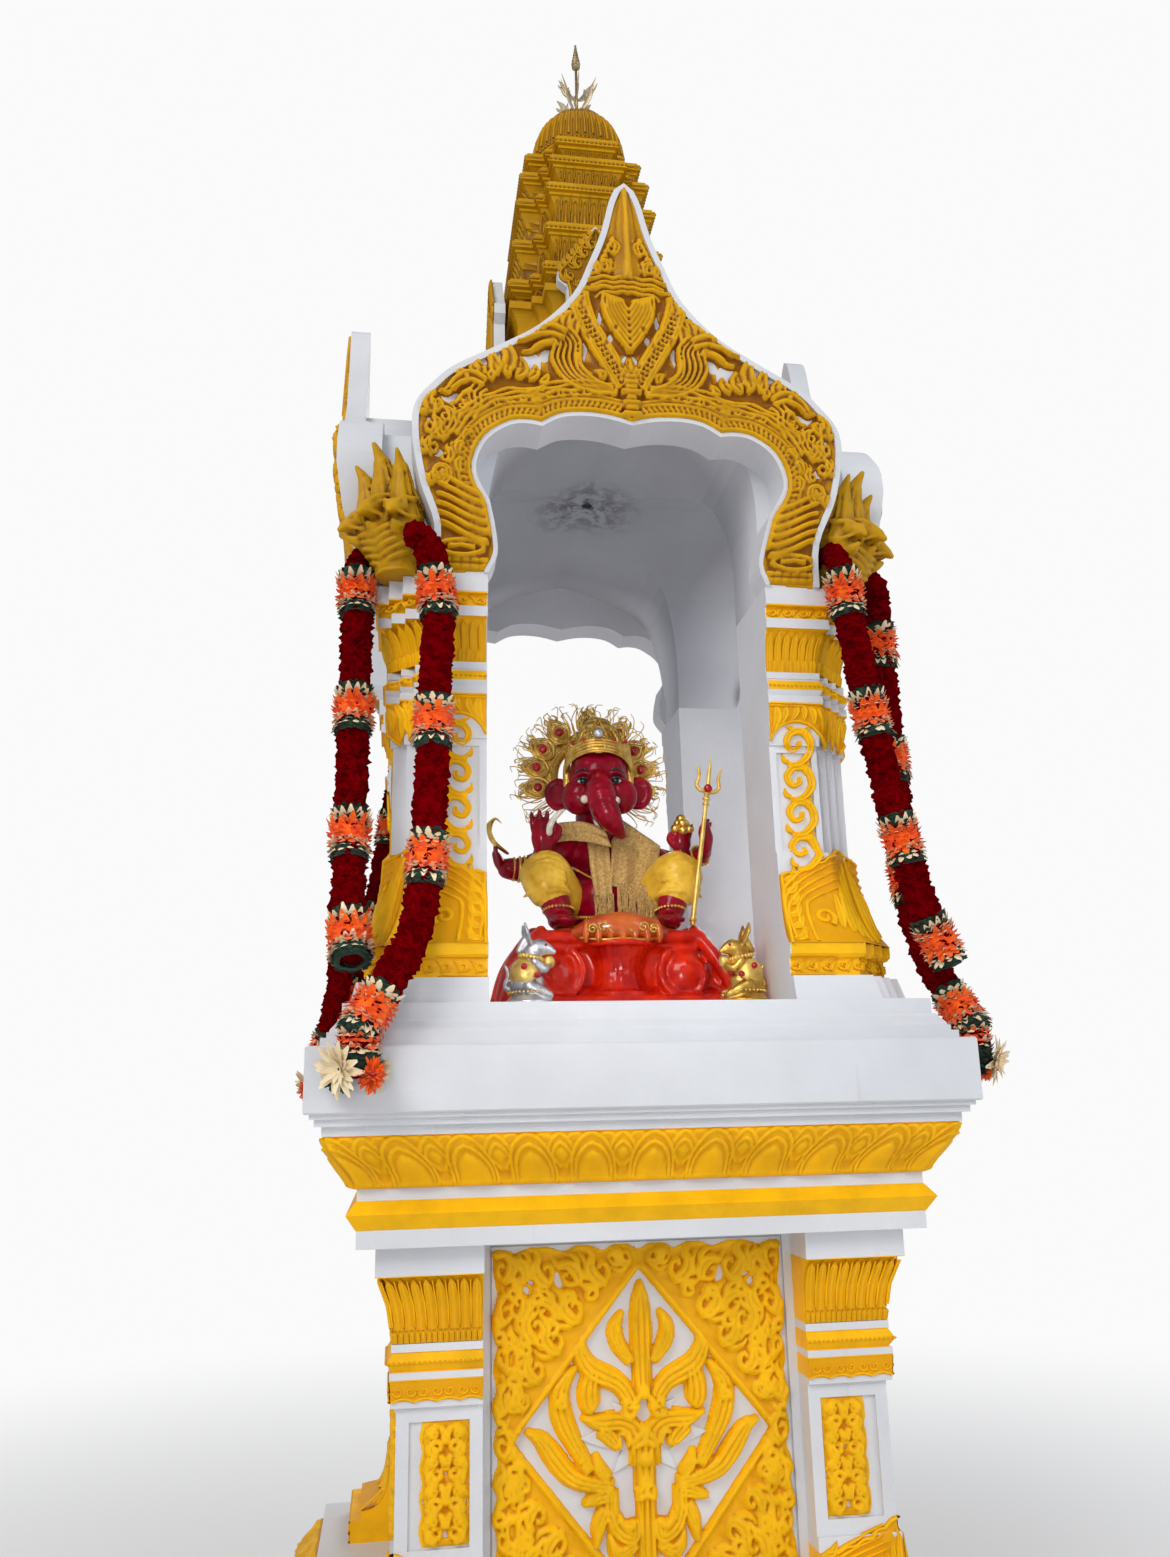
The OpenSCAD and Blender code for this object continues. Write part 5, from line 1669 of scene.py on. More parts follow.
class SPIRIT_OT_garlands(bpy.types.Operator):
    """Hangs the four garlands of red plush and flowers"""

    bl_idname = "spirit_house.garlands"
    bl_label = "Hang the Garlands"

    def execute(self, context):
        sizes, _ = settings()
        pitch = sizes.flower_pitch / MM
        base = spaced(catmull(GARLAND_ROUTE, 8), 6.0) + np.array([-NAGA_AT, -NAGA_AT, CAP])
        run = np.concatenate([[0], np.cumsum(np.linalg.norm(np.diff(base, axis=0), axis=1))])
        total = run[-1]
        top = run[np.argmax(base[:, 2])]
        for i, corner in enumerate(("front_left", "front_right", "back_right", "back_left")):
            rng = np.random.default_rng(11 + i)
            turn = math.radians(90 * i)
            spin = np.array([[math.cos(turn), -math.sin(turn), 0], [math.sin(turn), math.cos(turn), 0],
                [0, 0, 1]])
            path = base @ spin.T
            d = np.gradient(path, axis=0)
            d /= np.linalg.norm(d, axis=1)[:, None]
            ref = np.array([0.3, 0.2, 1.0])
            side = np.cross(d, ref)
            side /= np.linalg.norm(side, axis=1)[:, None]
            high = np.cross(side, d)
            n, m = len(path), 26
            a = np.linspace(0, 2 * math.pi, m, endpoint=False)
            near = np.abs(run - top)
            fat = np.interp(near, [0, 90, 190], [22, 24, 30])
            wild = rng.uniform(0.78, 1.0, (n, m)) + 0.26 * (rng.random((n, m)) ** 2)
            pts = path[:, None, :] + (fat[:, None] * wild)[:, :, None] * (
                np.cos(a)[None, :, None] * side[:, None, :] + np.sin(a)[None, :, None] * high[:, None, :])
            pts += rng.uniform(-2.2, 2.2, pts.shape)
            tube = Solid()
            tube.rings(pts)
            name = f"plush_{corner}"
            strand = new_object(name, tube.mesh(name), MATERIALS["plush"])
            strand.data.polygons.foreach_set("use_smooth", [False] * len(strand.data.polygons))
            flowers = {"leaf": Relief(), "cream": Relief(), "orange": Relief()}
            places = [112.0, total - 40.0]
            for sign in (-1, 1):
                at = top + (187 if sign > 0 else -257)
                while 200 < at < total - 90:
                    places.append(at)
                    at += sign * pitch
            for at in sorted(places):
                c = np.array([np.interp(at, run, path[:, k]) for k in range(3)])
                z = d[int(np.clip(np.searchsorted(run, at), 0, n - 1))]
                flower_cluster(flowers, c, z, rng)
            tassel(flowers, path[0] + d[0] * 30, -d[0], rng)
            for kind, relief in flowers.items():
                pts = np.vstack(relief.points) * MM
                mesh = new_mesh(f"{kind}_{corner}", pts, relief.faces)
                piece = new_object(f"{kind}_flowers_{corner}", mesh, MATERIALS[kind])
            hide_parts(f"garland_{corner}")
        return {"FINISHED"}


def flower_core(flowers, kind, c, z, lo, hi, radius):
    """Bumpy drum under the petals, so that no plush shows between them."""
    x = np.cross(z, [0.3, 0.5, 0.2])
    x /= np.linalg.norm(x)
    y = np.cross(z, x)
    a = np.linspace(0, 2 * math.pi, 18, endpoint=False)
    rows = []
    for t, r in ((lo, 0.7), (lo, 1.0), (0.5 * (lo + hi), 1.08), (hi, 1.0), (hi, 0.7)):
        bump_at = radius * r * (1 + 0.06 * np.sin(5 * a + t))
        rows.append(c + z * t + bump_at[:, None] * (np.cos(a)[:, None] * x + np.sin(a)[:, None] * y))
    flowers[kind].grid(np.array(rows), True)


def flower_cluster(flowers, c, z, rng):
    """Green, cream, orange, cream and green rings round a strand."""
    z = np.asarray(z)
    for sign in (-1, 1):
        lo, hi = sorted((sign * 26, sign * 50))
        flower_core(flowers, "leaf", c, z, lo, hi, 30.5)
        for shift in (38, 46):
            petals(flowers["leaf"], c + z * shift * sign, z, 28, 9, 16, 14, 0.5 * sign, rng, 2)
        for shift, lean, long in ((30, 0.9, 16), (26, 0.4, 17), (21, 0.0, 17), (17, -0.2, 15)):
            petals(flowers["cream"], c + z * shift * sign, z, 25, long, 13, 13, lean * sign, rng)
    flower_core(flowers, "orange", c, z, -20, 20, 31)
    for shift in (-16, -10, -3, 3, 10, 16):
        petals(flowers["orange"], c + z * shift, z, 26, 17, 15, 12, shift / 18, rng)


def star_flower(relief, c, z, radius, rng):
    """Open flower head of long flat petals that faces along z, with a short inner ring."""
    z = np.asarray(z, float) / np.linalg.norm(z)
    for far, long, wide, many, lift in ((3, radius, 0.36 * radius, 13, 0.1),
        (3, 0.8 * radius, 0.3 * radius, 11, 0.4),
                                        (2, 0.5 * radius, 0.24 * radius, 9, 0.9)):
        petals(relief, c, z, far, long, wide, many, lift, rng)


def tassel(flowers, c, z, rng):
    """Bunch at the end of a strand: rings of flowers, a white star flower, an orange and a green one."""
    z = np.asarray(z) * 0.5 + np.array([0, 0, -0.5])
    z = z / np.linalg.norm(z)
    out = np.array([c[0], c[1], 0.0])
    out /= np.linalg.norm(out)
    side = np.array([-out[1], out[0], 0.0])
    flower_core(flowers, "leaf", c, z, -12, 22, 32)
    for step, kind, many in ((-44, "cream", 14), (-36, "orange", 14), (-27, "orange", 14), (-18, "cream", 14),
                             (-6, "leaf", 14), (6, "leaf", 14), (16, "leaf", 12)):
        for lean in (-0.4, 0.4):
            petals(flowers[kind], c + z * step, z, 22, 18, 15, many, lean, rng)
    star_flower(flowers["cream"], c + z * 16 + out * 40 - side * 6, out + 0.25 * z, 46, rng)
    star_flower(flowers["cream"], c + z * 20 - out * 36, -out, 36, rng)
    for shift, kind in ((36, "orange"), (-34, "leaf")):
        for face in (out, -out, side * np.sign(shift), z, -z):
            star_flower(flowers[kind], c + z * 26 + side * shift + out * 8, face, 27, rng)


def tower_depth(half, bay, profile):
    """Front face of a stepped tower plan: the middle bay stands out from the corners."""
    corner = half - 0.55 * (half - bay) - 10
    at, out = zip(*profile)

    def place(u, v, h):
        p = np.interp(v, at, out)
        near = np.abs(u) <= bay + p + 0.5
        return u, -(np.where(near, half, corner) + p + h), v

    return place, corner


def tier_relief(z0, top, bay, corner, k):
    """Leaves in the cove and beads on the fillets of a tower tier."""
    r = Relief()
    tall = top - z0 - 36
    base = z0 + 0.2 * tall
    count = max(4, int(round(2 * bay / 27)))
    pitch = 2 * (bay - 16) / count
    for i in range(count):
        u = -(bay - 16) + (i + 0.5) * pitch
        r.petal(u, base, pitch * 0.98, 0.72 * tall, 6.5 * k, -1, 7)
        r.flame((u, base + 2), (u, base + 0.42 * tall), pitch * 0.5, 0, 9 * k, 0, RIDGED)
    for i in range(count - 1):
        u = -(bay - 16) + (i + 1) * pitch
        r.flame((u, base + 0.4 * tall), (u, base + 0.85 * tall), pitch * 0.34, 0, 8 * k, 0, RIDGED)
    for sign in (-1, 1):
        u = sign * (bay + corner - 26) / 2
        r.petal(u, base, corner - bay + 4, 0.72 * tall, 6 * k, -1, 7)
        r.flame((u, base + 2), (u, base + 0.5 * tall), 10, 0, 8 * k, 0, RIDGED)
    for i in range(int(bay / 5.6) + 1):
        u = -bay + 2 + i * (2 * bay - 4) / int(bay / 5.6)
        r.bead(u, top - 18, 4.6, 3.6 * k, 0, 6)
    for sign in (-1, 1):
        for j in range(4):
            r.bead(sign * (bay + 7 + j * (corner - bay - 8) / 3.4), top - 18, 4.4, 3.4 * k, 0, 6)
    line = [(-bay + 9, z0 + 5), (0, z0 + 5), (bay - 9, z0 + 5)]
    r.stroke(line, 4, 5 * k)
    return r


def niche_relief(k):
    """Half of a small pointed niche front on the tower."""
    r = Relief()
    edge = catmull([(76, 4), (76, 90), (66, 104), (66, 292), (88, 322), (88, 344), (64, 374), (42, 410),
        (20, 440), (3, 468)], 4)
    arch = catmull([(41, 40), (41, 160), (41, 270), (37, 312), (21, 346), (0.5, 368)], 6)
    n = 60
    t = np.linspace(0, 1, n)
    a = np.stack([np.interp(t, np.linspace(0, 1, len(arch)), arch[:, i]) for i in (0, 1)], 1)
    b = np.stack([np.interp(t, np.linspace(0, 1, len(edge)), edge[:, i]) for i in (0, 1)], 1)
    w = np.linspace(0, 1, 6)[None, :, None]
    sheet = a[:, None, :] * (1 - w) + b[:, None, :] * w
    r.grid(np.concatenate([sheet, np.full((n, 6, 1), 1.2)], axis=2)[:, ::-1])
    r.stroke(edge[4:], 3.2, 8 * k)
    r.stroke(arch, 3.0, 8 * k)
    for v in range(56, 280, 18):
        r.curl((53, v), 7, 90, 1.1, 4.4, 7 * k)
    for v in range(112, 280, 11):
        r.stroke([(14, v - 4), (22, v), (14, v + 4)], 2.2, 5 * k, -10)
        r.stroke([(30, v - 4), (22, v), (30, v + 4)], 2.2, 5 * k, -10)
    for u, v, angle, size in ((60, 318, 60, 38), (44, 352, 80, 40), (28, 384, 80, 40), (12, 410, 90, 44),
        (50, 300, 120, 26)):
        r.kanok((u, v), angle, size, 1, 8 * k)
    for i in range(8):
        f = i / 7
        r.flame((86 - 76 * f, 342 + 108 * f), (94 - 74 * f, 366 + 106 * f), 14, -0.1, 8 * k)
    r.flame((0, 400), (0, 474), 16, 0, 9 * k, 0, RIDGED)
    return r.mirrored()


def dome_relief(radius, k):
    """Narrow upright petals round the dome, for one quarter."""
    r = Relief()
    quarter = radius * math.pi / 2
    count = 9
    pitch = quarter / count
    for i in range(count):
        u = (i + 0.5) * pitch - quarter / 2
        r.petal(u, 6, pitch * 0.98, 118, 6 * k, -0.5, 10)
        r.stroke([(u, 14), (u, 60), (u, 104)], 2.4, 8 * k)
        r.flame((u + pitch / 2, 66), (u + pitch / 2, 138), pitch * 0.55, 0, 7 * k, 0, RIDGED)
        r.petal(u, 128, pitch * 0.8, 46, 5 * k, -0.5, 7)
    for i in range(18):
        r.bead((i + 0.5) * pitch / 2 - quarter / 2, 2, 5, 4.4 * k, 0, 6)
    return r


# Share of each tower tier's half width that its middle bay takes
BAY_SHARES = (0.617, 0.606, 0.62, 0.59, 0.54)


class SPIRIT_OT_tower(bpy.types.Operator):
    """Carves the tower, its dome and its finial"""

    bl_idname = "spirit_house.tower"
    bl_label = "Carve the Tower"

    def execute(self, context):
        sizes, _ = settings()
        k = sizes.carving / CARVING
        yellow = MATERIALS["tower"]
        for i, share in enumerate(BAY_SHARES):
            lo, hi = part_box(f"tower_tier_{i + 1}")
            half, z0, top = hi[0] / MM, lo[2] / MM, hi[2] / MM
            bay = half * share
            tall = top - z0 - 36
            profile = [(z0, -34), (z0 + 0.25 * tall, -34), (z0 + 0.5 * tall, -31), (z0 + 0.75 * tall, -24),
                       (top - 36, -12), (top - 35.9, -8), (top - 26.1, -8), (top - 26, 0), (top - 10, 0),
                       (top - 9.9, -6), (top, -6)]
            place, corner = tower_depth(half, bay, profile)
            relief = tier_relief(z0, top, bay, corner, k)
            four_sides(f"tier_{i + 1}_carving", relief.mesh(f"tier_{i + 1}_carving", place), yellow)
        lo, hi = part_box("tower_gables")
        out, z0 = hi[0] / MM, lo[2] / MM
        mesh = niche_relief(k).mesh("niche_carving", lambda u, v, h: (u, -(out + h), z0 + v))
        four_sides("niche_carving", mesh, yellow)
        lo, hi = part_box("tower_dome")
        radius, foot, top = hi[0] / MM, lo[2] / MM, hi[2] / MM
        tall = top - foot

        def dome(u, v, h):
            # v is the length along the curve of the dome
            t = np.clip(v / (0.5 * math.pi * 0.5 * (radius + tall)), 0, 1.0) * math.radians(84)
            r = radius * np.cos(t) + h * np.cos(t)
            a = u / radius
            return r * np.sin(a), -r * np.cos(a), foot + 24 + (tall - 24) * np.sin(t) + h * np.sin(t)

        four_sides("dome_carving", dome_relief(radius, k).mesh("dome_carving", dome), yellow)
        s = Solid()
        lo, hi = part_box("finial")
        foot, top = lo[2] / MM, hi[2] / MM
        s.lathe((0, 0, foot), [(17, 0), (17, 4), (11, 8), (6, 14), (4.4, 30), (4, 60), (6, 64), (4, 68),
                               (3.6, top - foot - 88)], 24)
        spindle = [(3.5, 0)]
        for j in range(7):
            z = 6 + j * 10.5
            r = (11.5, 12.5, 11, 9, 7.4, 5.6, 4.2)[j]
            spindle += [(r * 0.72, z), (r, z + 3), (r, z + 6), (r * 0.72, z + 9)]
        spindle += [(2.6, 82), (3.4, 85), (0.6, 89.5)]
        s.lathe((0, 0, top - 90), spindle, 20)
        new_object("finial_rod", s.mesh("finial_rod"), MATERIALS["bronze"])
        fins = Solid()
        for turns, size, low in (((45, 135, 225, 315), 1.0, 14), ((0, 90, 180, 270), 0.72, 62)):
            for turn in turns:
                c, q = math.cos(math.radians(turn)), math.sin(math.radians(turn))

                def at(x, z):
                    return (x * size * c, x * size * q, foot + low + z * size)

                fins.tube([at(3, 0), at(22, 12), at(42, 34), at(50, 60), at(68, 88)], [3, 8, 11, 7.5, 1.2],
                          8, 4, 0.22, (-q, c, 0))
                fins.tube([at(30, 26), at(34, 46), at(30, 60)], [4, 5, 1], 8, 4, 0.25, (-q, c, 0))
                fins.tube([at(50, 44), at(62, 52), at(72, 66)], [4, 4.5, 1], 8, 4, 0.25, (-q, c, 0))
        blades = new_object("finial_leaves", fins.mesh("finial_leaves"), MATERIALS["brass"])
        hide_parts("finial")
        return {"FINISHED"}


# Seated figure, throne and mice

FIGURE_X = 22.0
SEAT = 1550.0


def torso_y(x, z, grow=0.0):
    """Front of the seated figure's chest and belly."""
    r = np.interp(z, [-40, 20, 62, 190, 262], [70, 100, 106, 80, 34]) + grow
    return 25 - np.sqrt(np.clip(r * r - np.square(x), 0.12 * r * r, None))


def hand_solid(s, palm, point, spread, size=1.0, turn=1.0):
    """Mitten palm with four fingers and a thumb."""
    palm, point, spread = (np.asarray(v, float) for v in (palm, point, spread))
    s.tube([palm - point * 16 * size, palm + point * 4 * size, palm + point * 22 * size],
           [15 * size, 20 * size, 16 * size], 14, 4, 0.72, tuple(np.cross(point, spread)))
    for i in range(4):
        root = palm + point * 16 * size + spread * (i - 1.5) * 10.4 * size
        curl = np.cross(spread, point) * turn
        reach = (27, 31, 30, 24)[i] * size
        tip = root + point * reach + spread * (i - 1.5) * 2.6 * size + curl * 5 * size
        s.tube([root, (root + tip) / 2 - curl * 2 * size, tip], [5.0 * size, 4.9 * size, 3.6 * size], 10, 3)
    root = palm + spread * 16 * size
    s.tube([root, root + spread * 10 * size + point * 12 * size,
        root + spread * 10 * size + point * 24 * size],
           [8 * size, 7 * size, 4.5 * size], 10, 3)


def body_solid():
    """Bare body with four arms, shins and feet."""
    s = Solid()
    s.ball((0, 20, 74), (105, 98, 90), 16, 28)
    s.ball((0, 24, 182), (88, 66, 74), 14, 24)
    s.tube([(-4, 20, 230), (-16, 2, 285)], [58, 50], 16, smooth=False)
    for hand in (-1, 1):
        s.ball((hand * 74, 18, 212), (36, 34, 32), 10, 16)
        # shin and foot
        s.tube([(hand * 138, -96, 84), (hand * 132, -112, 56), (hand * 122, -120, 26)], [33, 34, 29], 16)
        s.tube([(hand * 122, -104, 12), (hand * 119, -140, 12), (hand * 116, -170, 8)], [27, 26, 18], 14, 4,
            0.7)
        for toe in range(5):
            s.ball((hand * (98 + 10 * toe), -184 + 2.5 * abs(toe - 1.5), 8), (5.8, 9, 6.5), 7, 10)
    # raised hand on the left, open palm to the front
    s.tube([(-82, 14, 206), (-124, -2, 164), (-150, -26, 142)], [34, 30, 26], 14)
    s.tube([(-150, -26, 142), (-154, -58, 162), (-152, -84, 186)], [26, 23, 19], 14)
    hand_solid(s, (-154, -94, 198), (0.0, -0.1, 1.0), (1, 0, 0), 1.36, 1)
    # hand with sweets on the right
    s.tube([(82, 14, 206), (130, -4, 166), (158, -28, 144)], [34, 30, 26], 14)
    s.tube([(158, -28, 144), (164, -62, 160), (164, -84, 172)], [26, 23, 20], 14)
    hand_solid(s, (163, -92, 190), (0.0, -0.3, 0.95), (-1, 0, 0), 1.1, -1)
    # back arm on the left, stretched to the side
    s.tube([(-80, 30, 200), (-140, 34, 172), (-182, 30, 156), (-222, 24, 156)], [33, 32, 30, 25], 16)
    hand_solid(s, (-240, 20, 166), (-0.4, -0.1, 0.9), (0, -1, 0), 0.95, -1)
    # arm with the trident on the right
    s.tube([(80, 30, 200), (150, 6, 172), (196, -60, 162), (210, -104, 172)], [31, 27, 23, 19], 14)
    hand_solid(s, (212, -128, 194), (-0.1, -0.35, 0.93), (-0.6, -0.8, 0), 1.05, -1)
    s.ball((0, -84, 66), (6, 5, 6), 6, 10)
    return s


HEAD_TURN = -8.0
HEAD_SHIFT = (-11.0, 0.0, 0.0)
NECK = (0.0, -10.0)


def head_solid():
    """Head with ears and trunk, facing -Y until it is turned on the neck."""
    s = Solid()
    s.ball((0, -28, 348), (71, 68, 80), 16, 28)
    s.ball((0, -60, 352), (56, 44, 56), 14, 24)
    for hand in (-1, 1):
        s.ball((hand * 24, -66, 378), (34, 32, 30), 10, 16)
        s.ball((hand * 47, -70, 308), (41, 36, 43), 10, 16)
        # ear: cupped plate with a thick rim
        s.tube([(hand * 68, -6, 348), (hand * 92, 4, 364), (hand * 114, 10, 352), (hand * 116, 10, 324),
                (hand * 102, 6, 302), (hand * 80, -4, 298)], [8, 9, 10, 10, 8, 6], 12, 5)
        s.ball((hand * 91, 8, 330), (26, 8, 32), 10, 18)
        # tusk sockets and brow
        s.tube([(hand * 18, -98, 306), (hand * 28, -112, 294), (hand * 32, -118, 290)], [16, 14, 12], 12)
        s.tube([(hand * 18, -102, 352), (hand * 38, -100, 357), (hand * 58, -82, 350)], [4, 6, 3], 10)
    s.ball((0, -72, 366), (52, 32, 40), 12, 22)
    s.ball((0, -44, 382), (66, 46, 48), 12, 24)
    s.ball((0, -84, 344), (34, 26, 34), 12, 20)
    # trunk with rings
    line = catmull([(0, -72, 350, 28), (0, -100, 326, 32), (2, -116, 300, 35), (10, -124, 268, 33),
        (22, -122, 242, 27),
                    (36, -110, 222, 19), (46, -94, 212, 12)], 9)
    wave = 1 + 0.03 * np.cos(np.arange(len(line)) * 1.55) * (np.arange(len(line)) > 10)
    s.tube(line[:, :3], line[:, 3] * wave, 20, smooth=False)
    s.tube([(0, -80, 290), (8, -100, 254), (14, -100, 236)], [30, 24, 14], 14)
    return s.placed(HEAD_TURN, NECK, HEAD_SHIFT)


def leg_solid(hand):
    """Thigh and knee in gathered satin, with folds round the knee."""
    s = Solid()
    path = [(hand * 60, 26, 56), (hand * 108, -30, 86), (hand * 150, -90, 120), (hand * 146, -106, 84),
        (hand * 138, -110, 70)]
    s.tube(path, [48, 53, 57, 46, 37], 24, 6)
    s.ring((hand * 137, -110, 68), 37, 6, (hand * 0.1, 0.25, 1), 10, 30)
    for i in range(8):
        c = np.array([hand * 150, -90, 120.0])
        low, high = -1.15 + 0.1 * i, 1.15 - 0.13 * i
        a = np.linspace(low, high, 12)
        r = 57.0
        tilt = math.radians(-40 + 17 * i)
        line = [c + np.array([hand * r * math.sin(x) * 0.98, -r * math.cos(x) * math.cos(tilt) * 0.98,
                              -16 * abs(x) + r * math.sin(tilt) * 0.95]) for x in a]
        s.tube(line, np.concatenate([[1.5], np.full(10, 4.6), [1.5]]), 8, smooth=False)
    return s


def crown_solid():
    """Gold diadem and low stepped cap, facing -Y until it is turned with the head."""
    s = Solid()
    s.lathe((0, -24, 392), [(69, 12), (73, 14), (71, 17), (74, 20), (73, 26), (67, 31), (66, 36),
                            (68, 39), (66, 45), (57, 50), (55, 54), (57, 57), (54, 63), (45, 69), (43, 74),
                            (45, 77),
                            (42, 82), (33, 88), (31, 92), (32, 95), (27, 99), (18, 104), (10, 108), (1, 111)],
                            48, 24, 0.012)
    s.ring(np.array([0, -24, 409.0]), 74, 3.8, beads=44)
    s.ring(np.array([0, -24, 418.0]), 74, 3.8, beads=40)
    s.ring(np.array([0, -24, 436.0]), 68, 3.4, beads=36)
    s.ring(np.array([0, -24, 455.0]), 57, 3.2, beads=30)
    # upright leaves on the front of the diadem
    for turn, tall, wide in ((0, 78, 28), (-26, 58, 22), (26, 58, 22), (-50, 48, 19), (50, 48, 19),
        (-72, 40, 16), (72, 40, 16)):
        t = math.radians(turn)
        out = np.array([math.sin(t), -math.cos(t), 0])
        across = np.array([math.cos(t), math.sin(t), 0])
        foot = np.array([0, -24, 404]) + out * 75
        up = np.array([0, 0, 1]) - 0.22 * out
        for side in (-1, 1):
            s.tube([foot + across * side * wide * 0.5, foot + across * side * wide * 0.72 + up * tall * 0.35,
                    foot + across * side * wide * 0.3 + up * tall * 0.75, foot + up * tall],
                    [3.6, 3.8, 3.2, 1.4], 8, 4)
        s.tube([foot - out * 3, foot - out * 3 + up * tall * 0.55, foot - out * 2 + up * tall * 0.9],
               [wide * 0.55, wide * 0.5, 3], 10, 4, 0.2, tuple(out))
        s.ring(foot + up * tall * 0.36 + out * 3, wide * 0.3, 2.0, tuple(out), 6, 16)
        for lift in (0.62, 0.8):
            s.ball(foot + up * tall * lift + out * 2, 3.2, 5, 8)
    # brow band that arches over the forehead and comes down over the temples
    for lift, r in ((-6, 3.0), (0, 4.4), (8, 4.0), (15, 4.0), (22, 4.0)):
        line = [(75 * math.sin(a), -25 - 75 * math.cos(a), 402 + lift - 30 * (1 - math.cos(a)))
            for a in np.linspace(-1.7, 1.7, 30)]
        s.tube(line, r, 8, smooth=False)
    for hand in (-1, 1):
        s.tube([(hand * 72, -34, 392), (hand * 74, -22, 372), (hand * 74, -14, 346), (hand * 76, -10, 318)],
            [7, 9, 9, 4], 10, 4, 0.6, (0, 1, 0))
    return s.placed(HEAD_TURN, NECK, np.add(HEAD_SHIFT, (0, 0, 12)))


HALO_C = np.array([-25.0, 50.0, 385.0])
LOBES = (90, 124, 150, 172, 194, 56, 30, 8, -14)


def halo_solids(rng):
    """Gold lobes with jewels and long wires behind the head. Gives gold, wires and jewels."""
    gold, wires, jewels = Solid(), Solid(), Solid()

    def at(angle, r, y=0.0):
        a = math.radians(angle)
        return HALO_C + np.array([r * math.cos(a), y, r * math.sin(a)])

    gold.tube([at(a, 92) for a in np.linspace(-44, 224, 60)], [19] * 60, 12, smooth=False, flat=0.3,
        up=(0, 1, 0))
    for i, angle in enumerate(np.linspace(-40, 220, 60)):
        gold.ball(at(angle, 92, -9), 4.4, 5, 8)
        gold.ball(at(angle, 108, -4), 3.4, 5, 8)
    for angle in LOBES:
        a = math.radians(angle)
        out = np.array([math.cos(a), 0, math.sin(a)])
        side = np.array([-math.sin(a), 0, math.cos(a)])
        c = at(angle, 128, -14)
        drop = [(-30, 0), (-19, 17), (0, 25), (18, 18), (34, 0), (18, -18), (0, -25), (-19, -17), (-30, 0)]
        for far, r in ((1.0, 4.0), (0.62, 2.4)):
            gold.tube([c + out * x * far + side * y * far for x, y in drop], r, 8, 4, up=(0, 1, 0.01))
        gold.tube([c - out * 26 + (0, 4, 0), c + (0, 4, 0), c + out * 30 + (0, 4, 0)], [8, 22, 3], 14, 5,
            0.06, (0, 1, 0.01))
        for i in range(14):
            b = 2 * math.pi * i / 14
            gold.ball(c + out * 17 * math.cos(b) + side * 13.5 * math.sin(b), 2.6, 5, 7)
        jewels.ball(c + (0, -3, 0), (10.5, 8, 10.5), 9, 14)
        for far in (-1, 0, 1):
            gold.tube([c + side * far * 10 + out * 24, c + side * far * 16 + out * 36,
                c + side * far * 10 + out * 46], [2.6, 3, 0.8], 7, 3)
    for i in range(110):
        angle = -44 + 268 * (i + rng.uniform(-0.4, 0.4)) / 109
        start = at(angle, rng.uniform(108, 128), rng.uniform(-6, 8))
        tilt = rng.uniform(-7, 7)
        far = rng.uniform(164, 192)
        end = at(angle + tilt, far, rng.uniform(-16, 10))
        mid = at(angle + tilt * 0.2, 0.45 * 118 + 0.55 * far, rng.uniform(-10, 6))
        hook = at(angle + tilt + rng.choice([-4.5, 4.5]), far + rng.uniform(-4, 5), rng.uniform(-18, 6))
        wires.tube([start, mid, end, hook], [1.8, 1.5, 1.2, 0.8], 5, 4)
    return gold, wires, jewels


def band(path, wide, across, rng, thick=4.0, ripple=2.0, folds=7):
    """Closed strip of cloth along a path. across gives its sideways direction at each point."""
    path = spaced(catmull(np.column_stack([path, across, wide]), 8), 7.0)
    line, side, half = path[:, :3], path[:, 3:6], path[:, 6] / 2
    side /= np.linalg.norm(side, axis=1)[:, None]
    d = np.gradient(line, axis=0)
    d /= np.linalg.norm(d, axis=1)[:, None]
    out = np.cross(d, side)
    out /= np.linalg.norm(out, axis=1)[:, None]
    out *= np.where(out[:, 1:2] > 0, -1, 1)
    m = 21
    t = np.linspace(-1, 1, m)
    fold = ripple * np.sin(t * folds) + rng.normal(0, 0.25, m)
    top = line[:, None, :] + t[None, :, None] * half[:, None, None] * side[:, None,
        :] + (thick / 2 + fold)[None, :, None] * out[:, None, :]
    low = top - thick * out[:, None, :]
    rings = np.concatenate([top, low[:, ::-1]], axis=1)
    return rings


